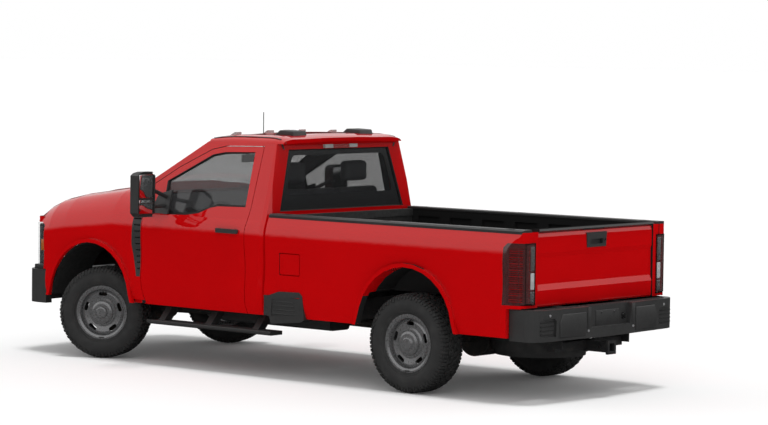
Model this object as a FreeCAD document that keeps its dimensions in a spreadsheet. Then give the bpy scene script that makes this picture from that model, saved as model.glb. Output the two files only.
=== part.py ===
import FreeCAD, Part
import math
import os

import Sketcher

# A regular-cab pickup truck with a long bed, four-wheel drive and its front wheels steered left.
# Lengths are in millimetres and angles in degrees.
# The frame is +Z up, the front of the truck faces -Y and the driver's side is +X.
# The origin lies on the ground under the middle of the truck.

Vector = FreeCAD.Vector
UP = Vector(0, 0, 1)

# Driving sizes, kept in the document's sheet.
SIZES = {
    # Stance
    "wheelbase": 3597,
    "front_overhang": 970,
    "rear_overhang": 1321,
    "front_track": 1735,
    "rear_track": 1707,
    "kingpin_inset": 140,
    "steer_rest_angle": 24,
    # Tyres and wheels
    "tyre_radius": 401,
    "tyre_width": 265,
    "tread_width": 214,
    "rim_flange_radius": 236,
    "bead_radius": 218,
    "rim_width": 208,
    "rim_wall": 9,
    "flange_thickness": 9,
    "disc_radius": 188,
    "disc_depth": 58,
    "disc_wall": 12,
    "slot_circle_radius": 160,
    "slot_half_length": 24,
    "slot_radius": 16,
    "slot_count": 5,
    "cap_radius": 100,
    "cap_height": 40,
    "hub_bore_radius": 42,
    # Axles
    "axle_tube_radius": 42,
    "front_diff_radius": 145,
    "front_diff_width": 190,
    "front_diff_offset": 215,
    "rear_diff_radius": 165,
    "rear_diff_width": 230,
    "yoke_height": 170,
    "yoke_width": 60,
    "yoke_depth": 50,
    "knuckle_radius": 62,
    "knuckle_height": 150,
    "brake_disc_radius": 172,
    "brake_disc_width": 38,
    "steer_arm_length": 205,
    "steer_arm_width": 44,
    "steer_arm_height": 26,
    "steer_arm_drop": 62,
    "tie_rod_radius": 15,
    "tie_end_radius": 24,
    "tie_end_height": 40,
    "running_gap": 0.3,
    # Frame
    "frame_half_width": 440,
    "rail_width": 76,
    "rail_height": 170,
    "rail_wall_share": 0.12,
    "rail_low_z": 460,
    "rail_kick": 110,
    "crossmember_length": 110,
    "crossmember_height": 60,
    "body_mount_radius": 34,
    # Springs and dampers
    "coil_radius": 62,
    "coil_wire_radius": 9,
    "damper_radius": 28,
    "radius_arm_width": 46,
    "radius_arm_height": 70,
    "radius_arm_length": 900,
    "leaf_width": 76,
    "leaf_pack_height": 52,
    "leaf_half_length": 720,
    "leaf_camber": 80,
    "leaf_inset": 500,
    # Drive train and tanks
    "engine_length": 720,
    "engine_width": 560,
    "engine_height": 620,
    "engine_low_z": 640,
    "engine_front_gap": 330,
    "gearbox_length": 760,
    "gearbox_radius": 165,
    "gearbox_z": 705,
    "transfer_length": 260,
    "transfer_width": 420,
    "transfer_height": 240,
    "transfer_low_z": 382,
    "shaft_radius": 38,
    "front_shaft_radius": 32,
    "exhaust_radius": 31,
    "muffler_radius": 85,
    "muffler_length": 560,
    "exhaust_outer_x": 630,
    "tank_length": 1250,
    "tank_width": 250,
    "tank_height": 212,
    "tank_low_z": 400,
    "radiator_width": 900,
    "radiator_depth": 80,
    # Body side
    "body_half_width": 1003,
    "flare_reach": 13,
    "body_bottom_z": 519,
    "belt_z": 1300,
    "belt_inset": 41,
    "roof_edge_z": 1937,
    "roof_inset": 214,
    "roof_top_z": 2012,
    "panel_gap": 6,
    "panel_skin": 4,
    "door_thickness": 120,
    "window_frame_thickness": 45,
    "glass_thickness": 6,
    # Cab
    "door_front_y": -1350,
    "door_length": 1246,
    "door_jamb_gap": 34,
    "door_axis_inset": 60,
    "door_axis_setback": 100,
    "door_open_radius": 14,
    "door_handle_front_y": -478,
    "door_handle_length": 267,
    "door_handle_low_z": 1182,
    "door_handle_height": 36,
    "door_handle_reach": 30,
    "door_handle_grip": 15,
    "hinge_height": 70,
    "firewall_y": -1470,
    "firewall_thickness": 40,
    "cab_rear_y": 84,
    "cab_wall": 55,
    "cab_rear_lean": 52,
    "cab_rear_corner": 60,
    "rear_glass_low_z": 1374,
    "rear_glass_top_z": 1888,
    "rear_glass_low_inset": 203,
    "rear_glass_top_inset": 358,
    "cab_floor_z": 690,
    "cab_floor_thickness": 36,
    "sill_low_z": 500,
    "sill_width": 120,
    "windshield_low_y": -1550,
    "windshield_low_z": 1450,
    "windshield_rake_share": 0.606,
    "windshield_bow": 75,
    "pillar_width": 62,
    "roof_thickness": 34,
    "roof_front_drop": 34,
    "roof_rear_drop": 30,
    # Cab inside
    "seat_inset": 263,
    "seat_depth": 520,
    "seat_height": 190,
    "seat_z": 830,
    "seat_back_thickness": 150,
    "seat_back_height": 740,
    "headrest_x": 400,
    "headrest_width": 310,
    "headrest_height": 190,
    "headrest_depth": 110,
    "headrest_post": 14,
    "seat_back_y": -160,
    "dash_depth": 330,
    "dash_height": 330,
    "dash_top_z": 1330,
    "dash_inset": 223,
    "steering_wheel_radius": 195,
    "steering_grip_radius": 15,
    "steering_column_radius": 28,
    "steering_column_tilt": 28,
    "steering_centre_x": 400,
    "steering_centre_y": -900,
    "steering_centre_z": 1235,
    # Front end
    "arch_radius": 490,
    "arch_centre_z": 525,
    "arch_foot_half": 528,
    "liner_thickness": 6,
    "liner_inner_x": 560,
    "hood_inset": 251,
    "hood_rear_y": -1722,
    "hood_front_y": -2800,
    "hood_rear_z": 1482,
    "hood_front_z": 1235,
    "hood_thickness": 26,
    "hood_dome": 46,
    "hood_gap": 6,
    "hood_axis_setback": 24,
    "hood_barrel_radius": 10,
    "hood_tab_length": 64,
    "nose_low_z": 745,
    "nose_setback": 46,
    "grille_inset": 383,
    "grille_top_z": 1150,
    "grille_depth": 70,
    "grille_bar": 34,
    "grille_bar_count": 3,
    "grille_fin_count": 16,
    "headlamp_top_z": 1150,
    "headlamp_low_z": 770,
    "headlamp_side_y": -2585,
    "headlamp_slant": 60,
    "front_bumper_top_z": 735,
    "front_bumper_low_z": 440,
    "bumper_skin": 70,
    "bumper_inset": 31,
    "bumper_wrap_y": -2560,
    "bumper_corner": 330,
    "bumper_bow": 48,
    "vent_length": 110,
    "vent_low_z": 752,
    # Bed
    "bed_front_y": 98,
    "bed_wall_thickness": 60,
    "bed_rear_y": 2780,
    "bed_wall_inset": 153,
    "bed_floor_z": 815,
    "bed_floor_thickness": 30,
    "bed_floor_end_y": 2650,
    "bed_rib_height": 16,
    "bed_rib_count": 9,
    "bed_rail_z": 1345,
    "bed_rail_inset": 57,
    "rail_cap_thickness": 20,
    "wheelhouse_inset": 361,
    "wheelhouse_thickness": 14,
    "bed_post_inset": 231,
    "bed_corner_radius": 70,
    "bed_taper": 40,
    "bed_front_rib_count": 6,
    "bed_pocket_count": 7,
    "bed_pocket_depth": 24,
    "bed_pocket_low_z": 1065,
    "tail_lamp_depth": 75,
    "tailgate_inset": 238,
    "tailgate_low_z": 757,
    "tailgate_inner_y": 2695,
    "tailgate_outer_y": 2765,
    "tailgate_axis_y": 2712,
    "tailgate_axis_z": 812,
    "tailgate_crease": 12,
    "tailgate_pin_radius": 12,
    "handle_plate_half": 135,
    "handle_plate_height": 118,
    "tail_lamp_low_z": 778,
    "tail_lamp_top_z": 1262,
    "tail_lamp_inset": 191,
    "tail_lamp_front_y": 2597,
    "fuel_door_front_y": 262,
    "fuel_door_length": 215,
    "fuel_door_low_z": 872,
    "fuel_door_height": 172,
    "fuel_door_thickness": 6,
    # Rear bumper and hitch
    "rear_bumper_low_z": 498,
    "rear_bumper_top_z": 745,
    "rear_bumper_front_y": 2640,
    "rear_bumper_inner_y": 2800,
    "bumper_notch_half": 285,
    "bumper_notch_depth": 58,
    "bumper_notch_drop": 165,
    "bumper_pocket_inner": 690,
    "bumper_pocket_outer": 885,
    "bumper_pocket_rise": 36,
    "bumper_pocket_height": 140,
    "receiver_outer": 83,
    "receiver_inner": 64,
    "receiver_length": 300,
    "receiver_low_z": 363,
    "receiver_pin_radius": 8,
    "receiver_collar": 14,
    "hitch_tube_half": 36,
    # Steps, mirrors, lamps
    "running_board_reach": 2,
    "running_board_width": 150,
    "running_board_z": 355,
    "running_board_height": 34,
    "running_board_front_y": -1266,
    "running_board_rear_y": 176,
    "side_step_front_y": 88,
    "side_step_rear_y": 554,
    "side_step_low_z": 457,
    "side_step_top_z": 735,
    "side_step_depth": 90,
    "mirror_reach": 342,
    "mirror_width": 205,
    "mirror_height": 385,
    "mirror_depth": 95,
    "mirror_low_z": 1290,
    "mirror_y": -1040,
    "mirror_arm_radius": 17,
    "sail_thickness": 16,
    "roof_lamp_length": 70,
    "roof_lamp_width": 46,
    "roof_lamp_height": 22,
    "antenna_top_z": 2140,
    "antenna_radius": 4,
    "antenna_y": -1640,
    "antenna_inset": 143,
    "stop_lamp_half": 210,
    "stop_lamp_height": 30,
    "stop_lamp_depth": 24,
    "spare_drop": 5,
    "spare_y": 2222,
    "cut_overrun": 60,
}

# Widths that follow the body's, as rules between the sizes above.
WIDTH_RULES = {
    "flare_half_width": "body_half_width + flare_reach",
    "belt_half_width": "body_half_width - belt_inset",
    "roof_half_width": "body_half_width - roof_inset",
    "rear_glass_low_half": "body_half_width - rear_glass_low_inset",
    "rear_glass_top_half": "body_half_width - rear_glass_top_inset",
    "seat_width": "2 * (body_half_width - seat_inset)",
    "dash_width": "2 * (body_half_width - dash_inset)",
    "hood_half_width": "body_half_width - hood_inset",
    "grille_half_width": "body_half_width - grille_inset",
    "bumper_half_width": "body_half_width - bumper_inset",
    "bed_inner_half": "body_half_width - bed_wall_inset",
    "bed_rail_half": "body_half_width - bed_rail_inset",
    "wheelhouse_half": "body_half_width - wheelhouse_inset",
    "bed_post_inner": "body_half_width - bed_post_inset",
    "tailgate_half_width": "body_half_width - tailgate_inset",
    "tail_lamp_inner": "body_half_width - tail_lamp_inset",
    "running_board_half": "body_half_width + running_board_reach",
    "mirror_outer_x": "body_half_width + mirror_reach",
    "antenna_x": "antenna_inset - body_half_width",
}

doc = FreeCAD.newDocument("pickup_truck")
sheet = doc.addObject("Spreadsheet::Sheet", "Sizes")
rules = {alias: f"={rule}" for alias, rule in WIDTH_RULES.items()}
for row, (alias, value) in enumerate((SIZES | rules).items(), start=1):
    sheet.set(f"A{row}", alias)
    sheet.set(f"B{row}", str(value))
    sheet.setAlias(f"B{row}", alias)
doc.recompute()


class Sheet:
    """Read access to the document's sheet, one attribute a size."""

    def __getattr__(self, alias):
        return float(sheet.get(alias))


S = Sheet()
overall_length = S.front_overhang + S.wheelbase + S.rear_overhang
nose_y = -overall_length / 2
tail_y = overall_length / 2
front_axle_y = nose_y + S.front_overhang
rear_axle_y = front_axle_y + S.wheelbase
kingpin_x = S.front_track / 2 - S.kingpin_inset
door_rear_y = S.door_front_y + S.door_length

# The same places as expressions, for the objects that are bound to the sheet.
FRONT_AXLE_Y = "(Sizes.front_overhang - Sizes.wheelbase - Sizes.rear_overhang) / 2"
REAR_AXLE_Y = "(Sizes.front_overhang + Sizes.wheelbase - Sizes.rear_overhang) / 2"
KINGPIN_X = "(Sizes.front_track / 2 - Sizes.kingpin_inset)"

parts = []


# Shared ways of making things

def keep(piece, label):
    """Name a finished sub-part and list it for writing."""
    piece.Label = label
    parts.append(piece)
    return piece


def feature(label, shape, placement=None):
    """A sub-part whose shape is worked out from the sheet."""
    piece = doc.addObject("Part::Feature", label)
    piece.Shape = shape
    if placement is not None:
        piece.Placement = placement
    return keep(piece, label)


def new_body(label):
    """An empty body for sketches and features."""
    return doc.addObject("PartDesign::Body", label)


def plane_of(body, role):
    """One of a body's own origin planes or axes, found by its role."""
    return next(item for item in body.Origin.OriginFeatures if item.Role == role)


def new_sketch(body, role, name, lift=None):
    """A sketch on one of the body's origin planes, lifted by an expression."""
    sketch = body.newObject("Sketcher::SketchObject", name)
    sketch.AttachmentSupport = (plane_of(body, role), [""])
    sketch.MapMode = "FlatFace"
    if lift is not None:
        sketch.setExpression("AttachmentOffset.Base.z", lift)
    return sketch


def add_outline(sketch, corners):
    """A closed run of straight lines whose corners are pairs of expressions."""
    first = sketch.GeometryCount
    count = len(corners)
    places = [tuple(float(sketch.evalExpression(text)) for text in corner) for corner in corners]
    for index in range(count):
        start = Vector(*places[index], 0)
        end = Vector(*places[(index + 1) % count], 0)
        sketch.addGeometry(Part.LineSegment(start, end))
    for index in range(count):
        following = first + (index + 1) % count
        sketch.addConstraint(Sketcher.Constraint("Coincident", first + index, 2, following, 1))
    for index in range(count):
        for axis, kind in enumerate(("DistanceX", "DistanceY")):
            rule = Sketcher.Constraint(kind, -1, 1, first + index, 1, places[index][axis])
            number = sketch.addConstraint(rule)
            sketch.setExpression(f"Constraints[{number}]", corners[index][axis])
    return sketch


def add_stadium(sketch, along, half_length, radius):
    """A long round-ended slot across the vertical axis of the sketch."""
    middle = float(sketch.evalExpression(along))
    half = float(sketch.evalExpression(half_length))
    round_radius = float(sketch.evalExpression(radius))
    first = sketch.GeometryCount
    for side in (-1, 1):
        circle = Part.Circle(Vector(side * half, middle, 0), UP, round_radius)
        turn = math.pi / 2 if side < 0 else -math.pi / 2
        sketch.addGeometry(Part.ArcOfCircle(circle, turn, turn + math.pi))
    low, high = middle - round_radius, middle + round_radius
    sketch.addGeometry(Part.LineSegment(Vector(-half, low, 0), Vector(half, low, 0)))
    sketch.addGeometry(Part.LineSegment(Vector(half, high, 0), Vector(-half, high, 0)))
    meetings = ((0, 2, 2, 1), (2, 2, 1, 1), (1, 2, 3, 1), (3, 2, 0, 1))
    for one, end, other, start in meetings:
        sketch.addConstraint(Sketcher.Constraint("Tangent", first + one, end, first + other, start))
    sketch.addConstraint(Sketcher.Constraint("Equal", first, first + 1))
    rule = sketch.addConstraint(Sketcher.Constraint("Radius", first, round_radius))
    sketch.setExpression(f"Constraints[{rule}]", radius)
    for number, side in ((first, -1), (first + 1, 1)):
        rule = sketch.addConstraint(Sketcher.Constraint("DistanceX", -1, 1, number, 3, side * half))
        sketch.setExpression(f"Constraints[{rule}]", f"{side} * ({half_length})")
    rule = sketch.addConstraint(Sketcher.Constraint("DistanceY", -1, 1, first, 3, middle))
    sketch.setExpression(f"Constraints[{rule}]", along)
    return sketch


def add_pad(body, sketch, length, name, midplane=False, backwards=False):
    """A pad of a sketch whose length is an expression."""
    pad = body.newObject("PartDesign::Pad", name)
    pad.Profile = sketch
    pad.setExpression("Length", length)
    pad.Midplane = midplane
    pad.Reversed = backwards
    return pad


def add_turn(body, sketch, name, axis="H_Axis"):
    """A full revolution of a sketch about one of its own axes."""
    turn = body.newObject("PartDesign::Revolution", name)
    turn.Profile = sketch
    turn.ReferenceAxis = (sketch, [axis])
    turn.Angle = 360
    return turn


def mirrored(shape):
    """The same shape on the passenger's side."""
    return shape.mirror(Vector(0, 0, 0), Vector(1, 0, 0))


def both_sides(shape):
    """A shape and its mirror image."""
    return [shape, mirrored(shape)]


def fused(shapes, merge_faces=True):
    """One shape made of all the given ones, with coplanar faces merged where that is wanted."""
    if len(shapes) == 1:
        return shapes[0]
    whole = shapes[0].multiFuse(shapes[1:])
    return whole.removeSplitter() if merge_faces else whole


def block(low_x, high_x, low_y, high_y, low_z, high_z):
    """A box between two corners."""
    return Part.makeBox(high_x - low_x, high_y - low_y, high_z - low_z, Vector(low_x, low_y, low_z))


def side_prism(outline, low_x, high_x):
    """An outline of (y, z) points carried across the truck."""
    corners = [Vector(low_x, y, z) for y, z in outline]
    face = Part.Face(Part.makePolygon(corners + corners[:1]))
    return face.extrude(Vector(high_x - low_x, 0, 0))


def plan_prism(outline, low_z, high_z):
    """An outline of (x, y) points carried upwards."""
    corners = [Vector(x, y, low_z) for x, y in outline]
    face = Part.Face(Part.makePolygon(corners + corners[:1]))
    return face.extrude(Vector(0, 0, high_z - low_z))


def front_prism(outline, low_y, high_y):
    """An outline of (x, z) points carried along the truck."""
    corners = [Vector(x, low_y, z) for x, z in outline]
    face = Part.Face(Part.makePolygon(corners + corners[:1]))
    return face.extrude(Vector(0, high_y - low_y, 0))


def rod(start, end, radius):
    """A round bar between two points."""
    return Part.makeCylinder(radius, (end - start).Length, start, end - start)


# The body's section across the truck

# Half-width as a share of the body's, against height as a share of bottom to belt.
SIDE_SHARES = (
    (0.972, 0.0), (0.991, 0.08), (1.0, 0.235), (0.989, 0.40), (0.987, 0.62), (0.989, 0.86), (0.983, 0.905),
)


def side_points(inset=0.0):
    """The outer skin's points from the body's bottom to its belt, moved inwards."""
    rise = S.belt_z - S.body_bottom_z
    points = [(S.body_half_width * wide - inset, S.body_bottom_z + rise * high) for wide, high in SIDE_SHARES]
    return points + [(S.belt_half_width - inset, S.belt_z)]


def curve_through(points, y):
    """A smooth edge through (x, z) points at one station along the truck."""
    curve = Part.BSplineCurve()
    curve.interpolate([Vector(x, y, z) for x, z in points])
    return curve.toShape()


def lines_through(points, y):
    """Straight edges through (x, z) points at one station along the truck."""
    corners = [Vector(x, y, z) for x, z in points]
    return [Part.makeLine(one, other) for one, other in zip(corners, corners[1:])]


def carried(edges, length):
    """A closed run of edges carried along the truck."""
    return Part.Face(Part.Wire(edges)).extrude(Vector(0, length, 0))


def wall_slab(low_y, high_y):
    """The cab's side wall, as thick as a door, from the body's bottom to the roof's edge."""
    skin = side_points()
    inner_x = S.body_half_width - S.door_thickness
    frame_z = S.belt_z + S.window_frame_thickness
    frame_share = S.window_frame_thickness / (S.roof_edge_z - S.belt_z)
    frame_x = S.belt_half_width + (S.roof_half_width - S.belt_half_width) * frame_share
    rest = [
        skin[-1], (S.roof_half_width, S.roof_edge_z),
        (S.roof_half_width - S.window_frame_thickness, S.roof_edge_z),
        (frame_x - S.window_frame_thickness, frame_z), (inner_x, S.belt_z),
        (inner_x, S.body_bottom_z), skin[0],
    ]
    edges = [curve_through(skin, low_y)] + lines_through(rest, low_y)
    return carried(edges, high_y - low_y)


def windshield_z(y):
    """The height of the pillars' raked front plane at a place along the truck."""
    return S.windshield_low_z + (y - S.windshield_low_y) * S.windshield_rake_share


def windshield_y(z):
    """The place along the truck where the raked front plane has a given height."""
    return S.windshield_low_y + (z - S.windshield_low_z) / S.windshield_rake_share


# Wheels

# How far out of the dish the hub's face stands, as a share of the dish's depth.
HUB_FACE_SHARE = 0.62


def wheel_places():
    """Label ending, place and turn of each wheel, as expressions."""
    reach = "Sizes.kingpin_inset"
    angle = "Sizes.steer_rest_angle"
    rear = "Sizes.rear_track / 2"
    return (
        ("front_left", f"{KINGPIN_X} + {reach} * cos({angle})",
         f"{FRONT_AXLE_Y} + {reach} * sin({angle})", angle),
        ("front_right", f"-{KINGPIN_X} - {reach} * cos({angle})",
         f"{FRONT_AXLE_Y} - {reach} * sin({angle})", f"180 + {angle}"),
        ("rear_left", rear, REAR_AXLE_Y, "0"),
        ("rear_right", f"-{rear}", REAR_AXLE_Y, "180"),
    )


def set_wheel(body, across, along, turn):
    """Put a wheel's body, built about its own axle, where it stands."""
    body.setExpression("Placement.Base.x", across)
    body.setExpression("Placement.Base.y", along)
    body.setExpression("Placement.Base.z", "Sizes.tyre_radius")
    body.setExpression("Placement.Rotation.Angle", turn)


def make_rim(label, across, along, turn):
    """A pressed-steel rim with a dished disc, five slots and a hub cap, turned about its axle."""
    body = new_body(label)
    half = "Sizes.rim_width / 2"
    wall = "Sizes.rim_wall"
    lip = "Sizes.flange_thickness"
    face = f"({half} - Sizes.disc_depth)"
    seat = "Sizes.bead_radius"
    profile = (
        (f"-{half}", "Sizes.rim_flange_radius"),
        (f"-{half} + {lip}", "Sizes.rim_flange_radius"),
        (f"-{half} + {lip}", seat),
        (f"{half} - {lip}", seat),
        (f"{half} - {lip}", "Sizes.rim_flange_radius"),
        (half, "Sizes.rim_flange_radius"),
        (half, f"{seat} + {wall} / 2"),
        (f"{half} - {lip}", f"{seat} - {wall} * 1.6"),
        (f"{face} + Sizes.disc_wall", "Sizes.disc_radius + Sizes.disc_wall"),
        (f"{face} + Sizes.disc_depth * 0.55", "Sizes.disc_radius - Sizes.disc_wall * 1.5"),
        (f"{face} + Sizes.disc_depth * 0.42", "Sizes.slot_circle_radius - Sizes.slot_radius * 2.2"),
        (f"{face} + Sizes.disc_depth * {HUB_FACE_SHARE}", "Sizes.cap_radius + Sizes.disc_wall"),
        (f"{face} + Sizes.disc_depth * {HUB_FACE_SHARE}", "Sizes.hub_bore_radius"),
        (f"{face} + Sizes.disc_depth * {HUB_FACE_SHARE} - Sizes.disc_wall", "Sizes.hub_bore_radius"),
        (f"{face} + Sizes.disc_depth * {HUB_FACE_SHARE} - Sizes.disc_wall", "Sizes.cap_radius"),
        (f"{face} + Sizes.disc_depth * 0.42 - Sizes.disc_wall", "Sizes.slot_circle_radius - Sizes.slot_radius * 2.4"),
        (f"{face} + Sizes.disc_depth * 0.55 - Sizes.disc_wall", "Sizes.disc_radius - Sizes.disc_wall"),
        (f"{face} - Sizes.disc_wall", f"{seat} - {wall} * 2"),
        (f"-{half} + {lip} * 3", f"{seat} - {wall} * 2"),
        (f"-{half} + {lip}", f"{seat} - {wall}"),
        (f"-{half}", f"{seat} + {wall} / 2"),
    )
    sketch = add_outline(new_sketch(body, "XY_Plane", label + "_section"), profile)
    doc.recompute()
    add_turn(body, sketch, label + "_turn")
    doc.recompute()
    slot = new_sketch(body, "YZ_Plane", label + "_slot")
    add_stadium(slot, "Sizes.slot_circle_radius", "Sizes.slot_half_length", "Sizes.slot_radius")
    doc.recompute()
    pocket = body.newObject("PartDesign::Pocket", label + "_slot_cut")
    pocket.Profile = slot
    pocket.setExpression("Length", "Sizes.rim_width")
    pocket.Reversed = True
    doc.recompute()
    ring = body.newObject("PartDesign::PolarPattern", label + "_slots")
    ring.Originals = [pocket]
    ring.Axis = (slot, ["N_Axis"])
    ring.Angle = 360
    ring.setExpression("Occurrences", "Sizes.slot_count")
    body.Tip = ring
    doc.recompute()
    cap = new_sketch(body, "XY_Plane", label + "_cap_section")
    back = f"{face} + Sizes.disc_depth * {HUB_FACE_SHARE}"
    add_outline(cap, (
        (back, "0"),
        (back, "Sizes.cap_radius"),
        (f"{back} + Sizes.cap_height * 0.40", "Sizes.cap_radius - Sizes.disc_wall / 3"),
        (f"{back} + Sizes.cap_height * 0.60", "Sizes.cap_radius * 0.78"),
        (f"{back} + Sizes.cap_height * 0.62", "Sizes.cap_radius * 0.56"),
        (f"{back} + Sizes.cap_height * 0.93", "Sizes.cap_radius * 0.48"),
        (f"{back} + Sizes.cap_height", "Sizes.cap_radius * 0.40"),
        (f"{back} + Sizes.cap_height", "0"),
    ))
    doc.recompute()
    add_turn(body, cap, label + "_cap")
    set_wheel(body, across, along, turn)
    return keep(body, label)


def make_tyre(label, across, along, turn):
    """A radial tyre with bulged sidewalls and stepped shoulders, turned about its axle."""
    body = new_body(label)
    half = "Sizes.tyre_width / 2"
    tread = "Sizes.tread_width / 2"
    bead = "(Sizes.rim_width / 2 - Sizes.flange_thickness)"
    flank = "(Sizes.tyre_radius - Sizes.rim_flange_radius)"
    side = (
        (bead, "Sizes.bead_radius"),
        (bead, f"Sizes.rim_flange_radius + {flank} * 0.02"),
        (f"{bead} + ({half} - {bead}) * 0.55", f"Sizes.rim_flange_radius + {flank} * 0.12"),
        (half, f"Sizes.rim_flange_radius + {flank} * 0.42"),
        (f"{half} - ({half} - {tread}) * 0.22", f"Sizes.rim_flange_radius + {flank} * 0.68"),
        (f"{tread} + ({half} - {tread}) * 0.35", f"Sizes.rim_flange_radius + {flank} * 0.88"),
        (f"{tread} - {flank} * 0.06", "Sizes.tyre_radius - Sizes.rim_wall / 3"),
        (f"{tread} / 2", "Sizes.tyre_radius"),
    )
    other = tuple((f"-({wide})", high) for wide, high in reversed(side))
    sketch = add_outline(new_sketch(body, "XY_Plane", label + "_section"), side + other)
    doc.recompute()
    add_turn(body, sketch, label + "_turn")
    set_wheel(body, across, along, turn)
    return keep(body, label)


for ending, across, along, turn in wheel_places():
    make_rim(f"rim_{ending}", across, along, turn)
    make_tyre(f"tyre_{ending}", across, along, turn)


# Steering: a knuckle with its brake disc and arm at each end of the front axle, and the tie rod

def hub_reach():
    """How far a hub reaches through its rim's disc, from the wheel's middle plane."""
    return S.rim_width / 2 - S.disc_depth * (1 - HUB_FACE_SHARE) - S.running_gap


def knuckle_shape(side):
    """A knuckle built about its kingpin, for wheels pointing straight ahead."""
    hub_end = side * (S.kingpin_inset + hub_reach())
    low = S.tyre_radius - S.knuckle_height / 2
    post = Part.makeCylinder(S.knuckle_radius, S.knuckle_height, Vector(0, 0, low))
    hub = rod(Vector(0, 0, S.tyre_radius), Vector(hub_end, 0, S.tyre_radius), S.hub_bore_radius - S.running_gap)
    disc_x = side * (S.kingpin_inset - S.rim_width / 4)
    disc_end = disc_x + side * S.brake_disc_width
    disc = rod(Vector(disc_x, 0, S.tyre_radius), Vector(disc_end, 0, S.tyre_radius), S.brake_disc_radius)
    arm_z = S.tyre_radius - S.steer_arm_drop
    half = S.steer_arm_width / 2
    inboard = -side * S.steer_arm_width / 3
    arm = block(inboard - half, inboard + half, -S.steer_arm_length, 0, arm_z, arm_z + S.steer_arm_height)
    eye = Part.makeCylinder(
        S.tie_end_radius, S.steer_arm_height, Vector(inboard, -S.steer_arm_length, arm_z))
    return fused([post, hub, disc, arm, eye])


for side, ending in ((1, "left"), (-1, "right")):
    shape = knuckle_shape(side)
    place = FreeCAD.Placement(
        Vector(side * kingpin_x, front_axle_y, 0), FreeCAD.Rotation(UP, S.steer_rest_angle))
    feature(f"knuckle_{ending}", shape, place)


def arm_eye(side):
    """The middle of a steering arm's eye with the wheels as they stand."""
    turn = FreeCAD.Rotation(UP, S.steer_rest_angle)
    local = Vector(-side * S.steer_arm_width / 3, -S.steer_arm_length, 0)
    return Vector(side * kingpin_x, front_axle_y, 0) + turn.multVec(local)


def tie_rod_shape():
    """The tie rod with an end housing under each steering arm's eye."""
    top = S.tyre_radius - S.steer_arm_drop - S.running_gap
    ends = [arm_eye(side) for side in (1, -1)]
    pieces = [
        Part.makeCylinder(S.tie_end_radius, S.tie_end_height, Vector(end.x, end.y, top - S.tie_end_height))
        for end in ends
    ]
    middle = Vector(0, 0, top - S.tie_end_height / 2)
    return fused(pieces + [rod(ends[0] + middle, ends[1] + middle, S.tie_rod_radius)])


feature("tie_rod", tie_rod_shape())


# Axles

def yoke_shape(side):
    """The forked end of the front axle, above and below its knuckle."""
    low = S.tyre_radius - S.yoke_height / 2 - S.steer_arm_height
    high = S.tyre_radius + S.yoke_height / 2 + S.steer_arm_height
    inner = side * (kingpin_x - S.knuckle_radius - S.yoke_width)
    outer = side * (kingpin_x + S.yoke_width / 2)
    left, right = min(inner, outer), max(inner, outer)
    whole = block(left, right, front_axle_y - S.yoke_depth / 2, front_axle_y + S.yoke_depth / 2, low, high)
    room = Part.makeCylinder(
        S.knuckle_radius + S.panel_gap, S.knuckle_height + 2 * S.running_gap,
        Vector(side * kingpin_x, front_axle_y, S.tyre_radius - S.knuckle_height / 2 - S.running_gap))
    swing_low = S.tyre_radius - S.knuckle_height / 2 - S.running_gap
    swing = block(
        min(side * kingpin_x, side * (kingpin_x + S.yoke_width)), max(side * kingpin_x, side * (kingpin_x + S.yoke_width)),
        front_axle_y - S.yoke_depth, front_axle_y + S.yoke_depth,
        swing_low, swing_low + S.knuckle_height + 2 * S.running_gap)
    return whole.cut(room).cut(swing)


def front_axle_shape():
    """The solid front axle with its differential on the driver's side."""
    reach = kingpin_x - S.knuckle_radius - S.yoke_width / 2
    left = Vector(reach, front_axle_y, S.tyre_radius)
    right = Vector(-reach, front_axle_y, S.tyre_radius)
    tube = rod(right, left, S.axle_tube_radius)
    middle = Vector(S.front_diff_offset, front_axle_y, S.tyre_radius)
    half = Vector(S.front_diff_width / 2, 0, 0)
    housing = rod(middle - half, middle + half, S.front_diff_radius)
    nose = rod(middle, middle + Vector(0, S.front_diff_radius * 1.7, 0), S.front_diff_radius * 0.5)
    return fused([tube, housing, nose, yoke_shape(1), yoke_shape(-1)])


feature("front_axle", front_axle_shape())


def rear_axle_shape():
    """The rear axle with its differential in the middle and a brake disc at each end."""
    reach = S.rear_track / 2 + hub_reach()
    middle = Vector(0, rear_axle_y, S.tyre_radius)
    end = Vector(S.rear_track / 2 - S.rim_width / 4, 0, 0)
    tube = rod(middle - end, middle + end, S.axle_tube_radius)
    hub = rod(middle - Vector(reach, 0, 0), middle + Vector(reach, 0, 0), S.hub_bore_radius - S.running_gap)
    disc = Vector(S.brake_disc_width, 0, 0)
    discs = [
        rod(middle + end - disc, middle + end, S.brake_disc_radius),
        rod(middle - end, middle - end + disc, S.brake_disc_radius),
    ]
    half = Vector(S.rear_diff_width / 2, 0, 0)
    housing = rod(middle - half, middle + half, S.rear_diff_radius)
    nose = rod(middle, middle - Vector(0, S.rear_diff_radius * 1.8, 0), S.rear_diff_radius * 0.5)
    return fused([tube, hub, housing, nose] + discs)


feature("rear_axle", rear_axle_shape())


# Frame

# Frame rail's height above its low run, as a share of its kick, against its length as a share.
RAIL_SHARES = ((0.0, 0.75), (0.10, 0.75), (0.16, 0.55), (0.26, 0.0), (0.60, 0.0), (0.68, 0.75), (0.72, 1.0), (1.0, 1.0))


def rail_points():
    """The frame rail's underside along the truck."""
    front = nose_y + S.bumper_skin + S.bumper_bow + S.panel_gap
    length = S.rear_bumper_inner_y - S.panel_gap - front
    return [(front + share * length, S.rail_low_z + lift * S.rail_kick) for share, lift in RAIL_SHARES]


def rail_low(y):
    """The height of the frame rail's underside at a place along the truck."""
    points = rail_points()
    for (start, low), (end, high) in zip(points, points[1:]):
        if start <= y <= end:
            return low + (high - low) * (y - start) / (end - start)
    return points[-1][1]


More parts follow.
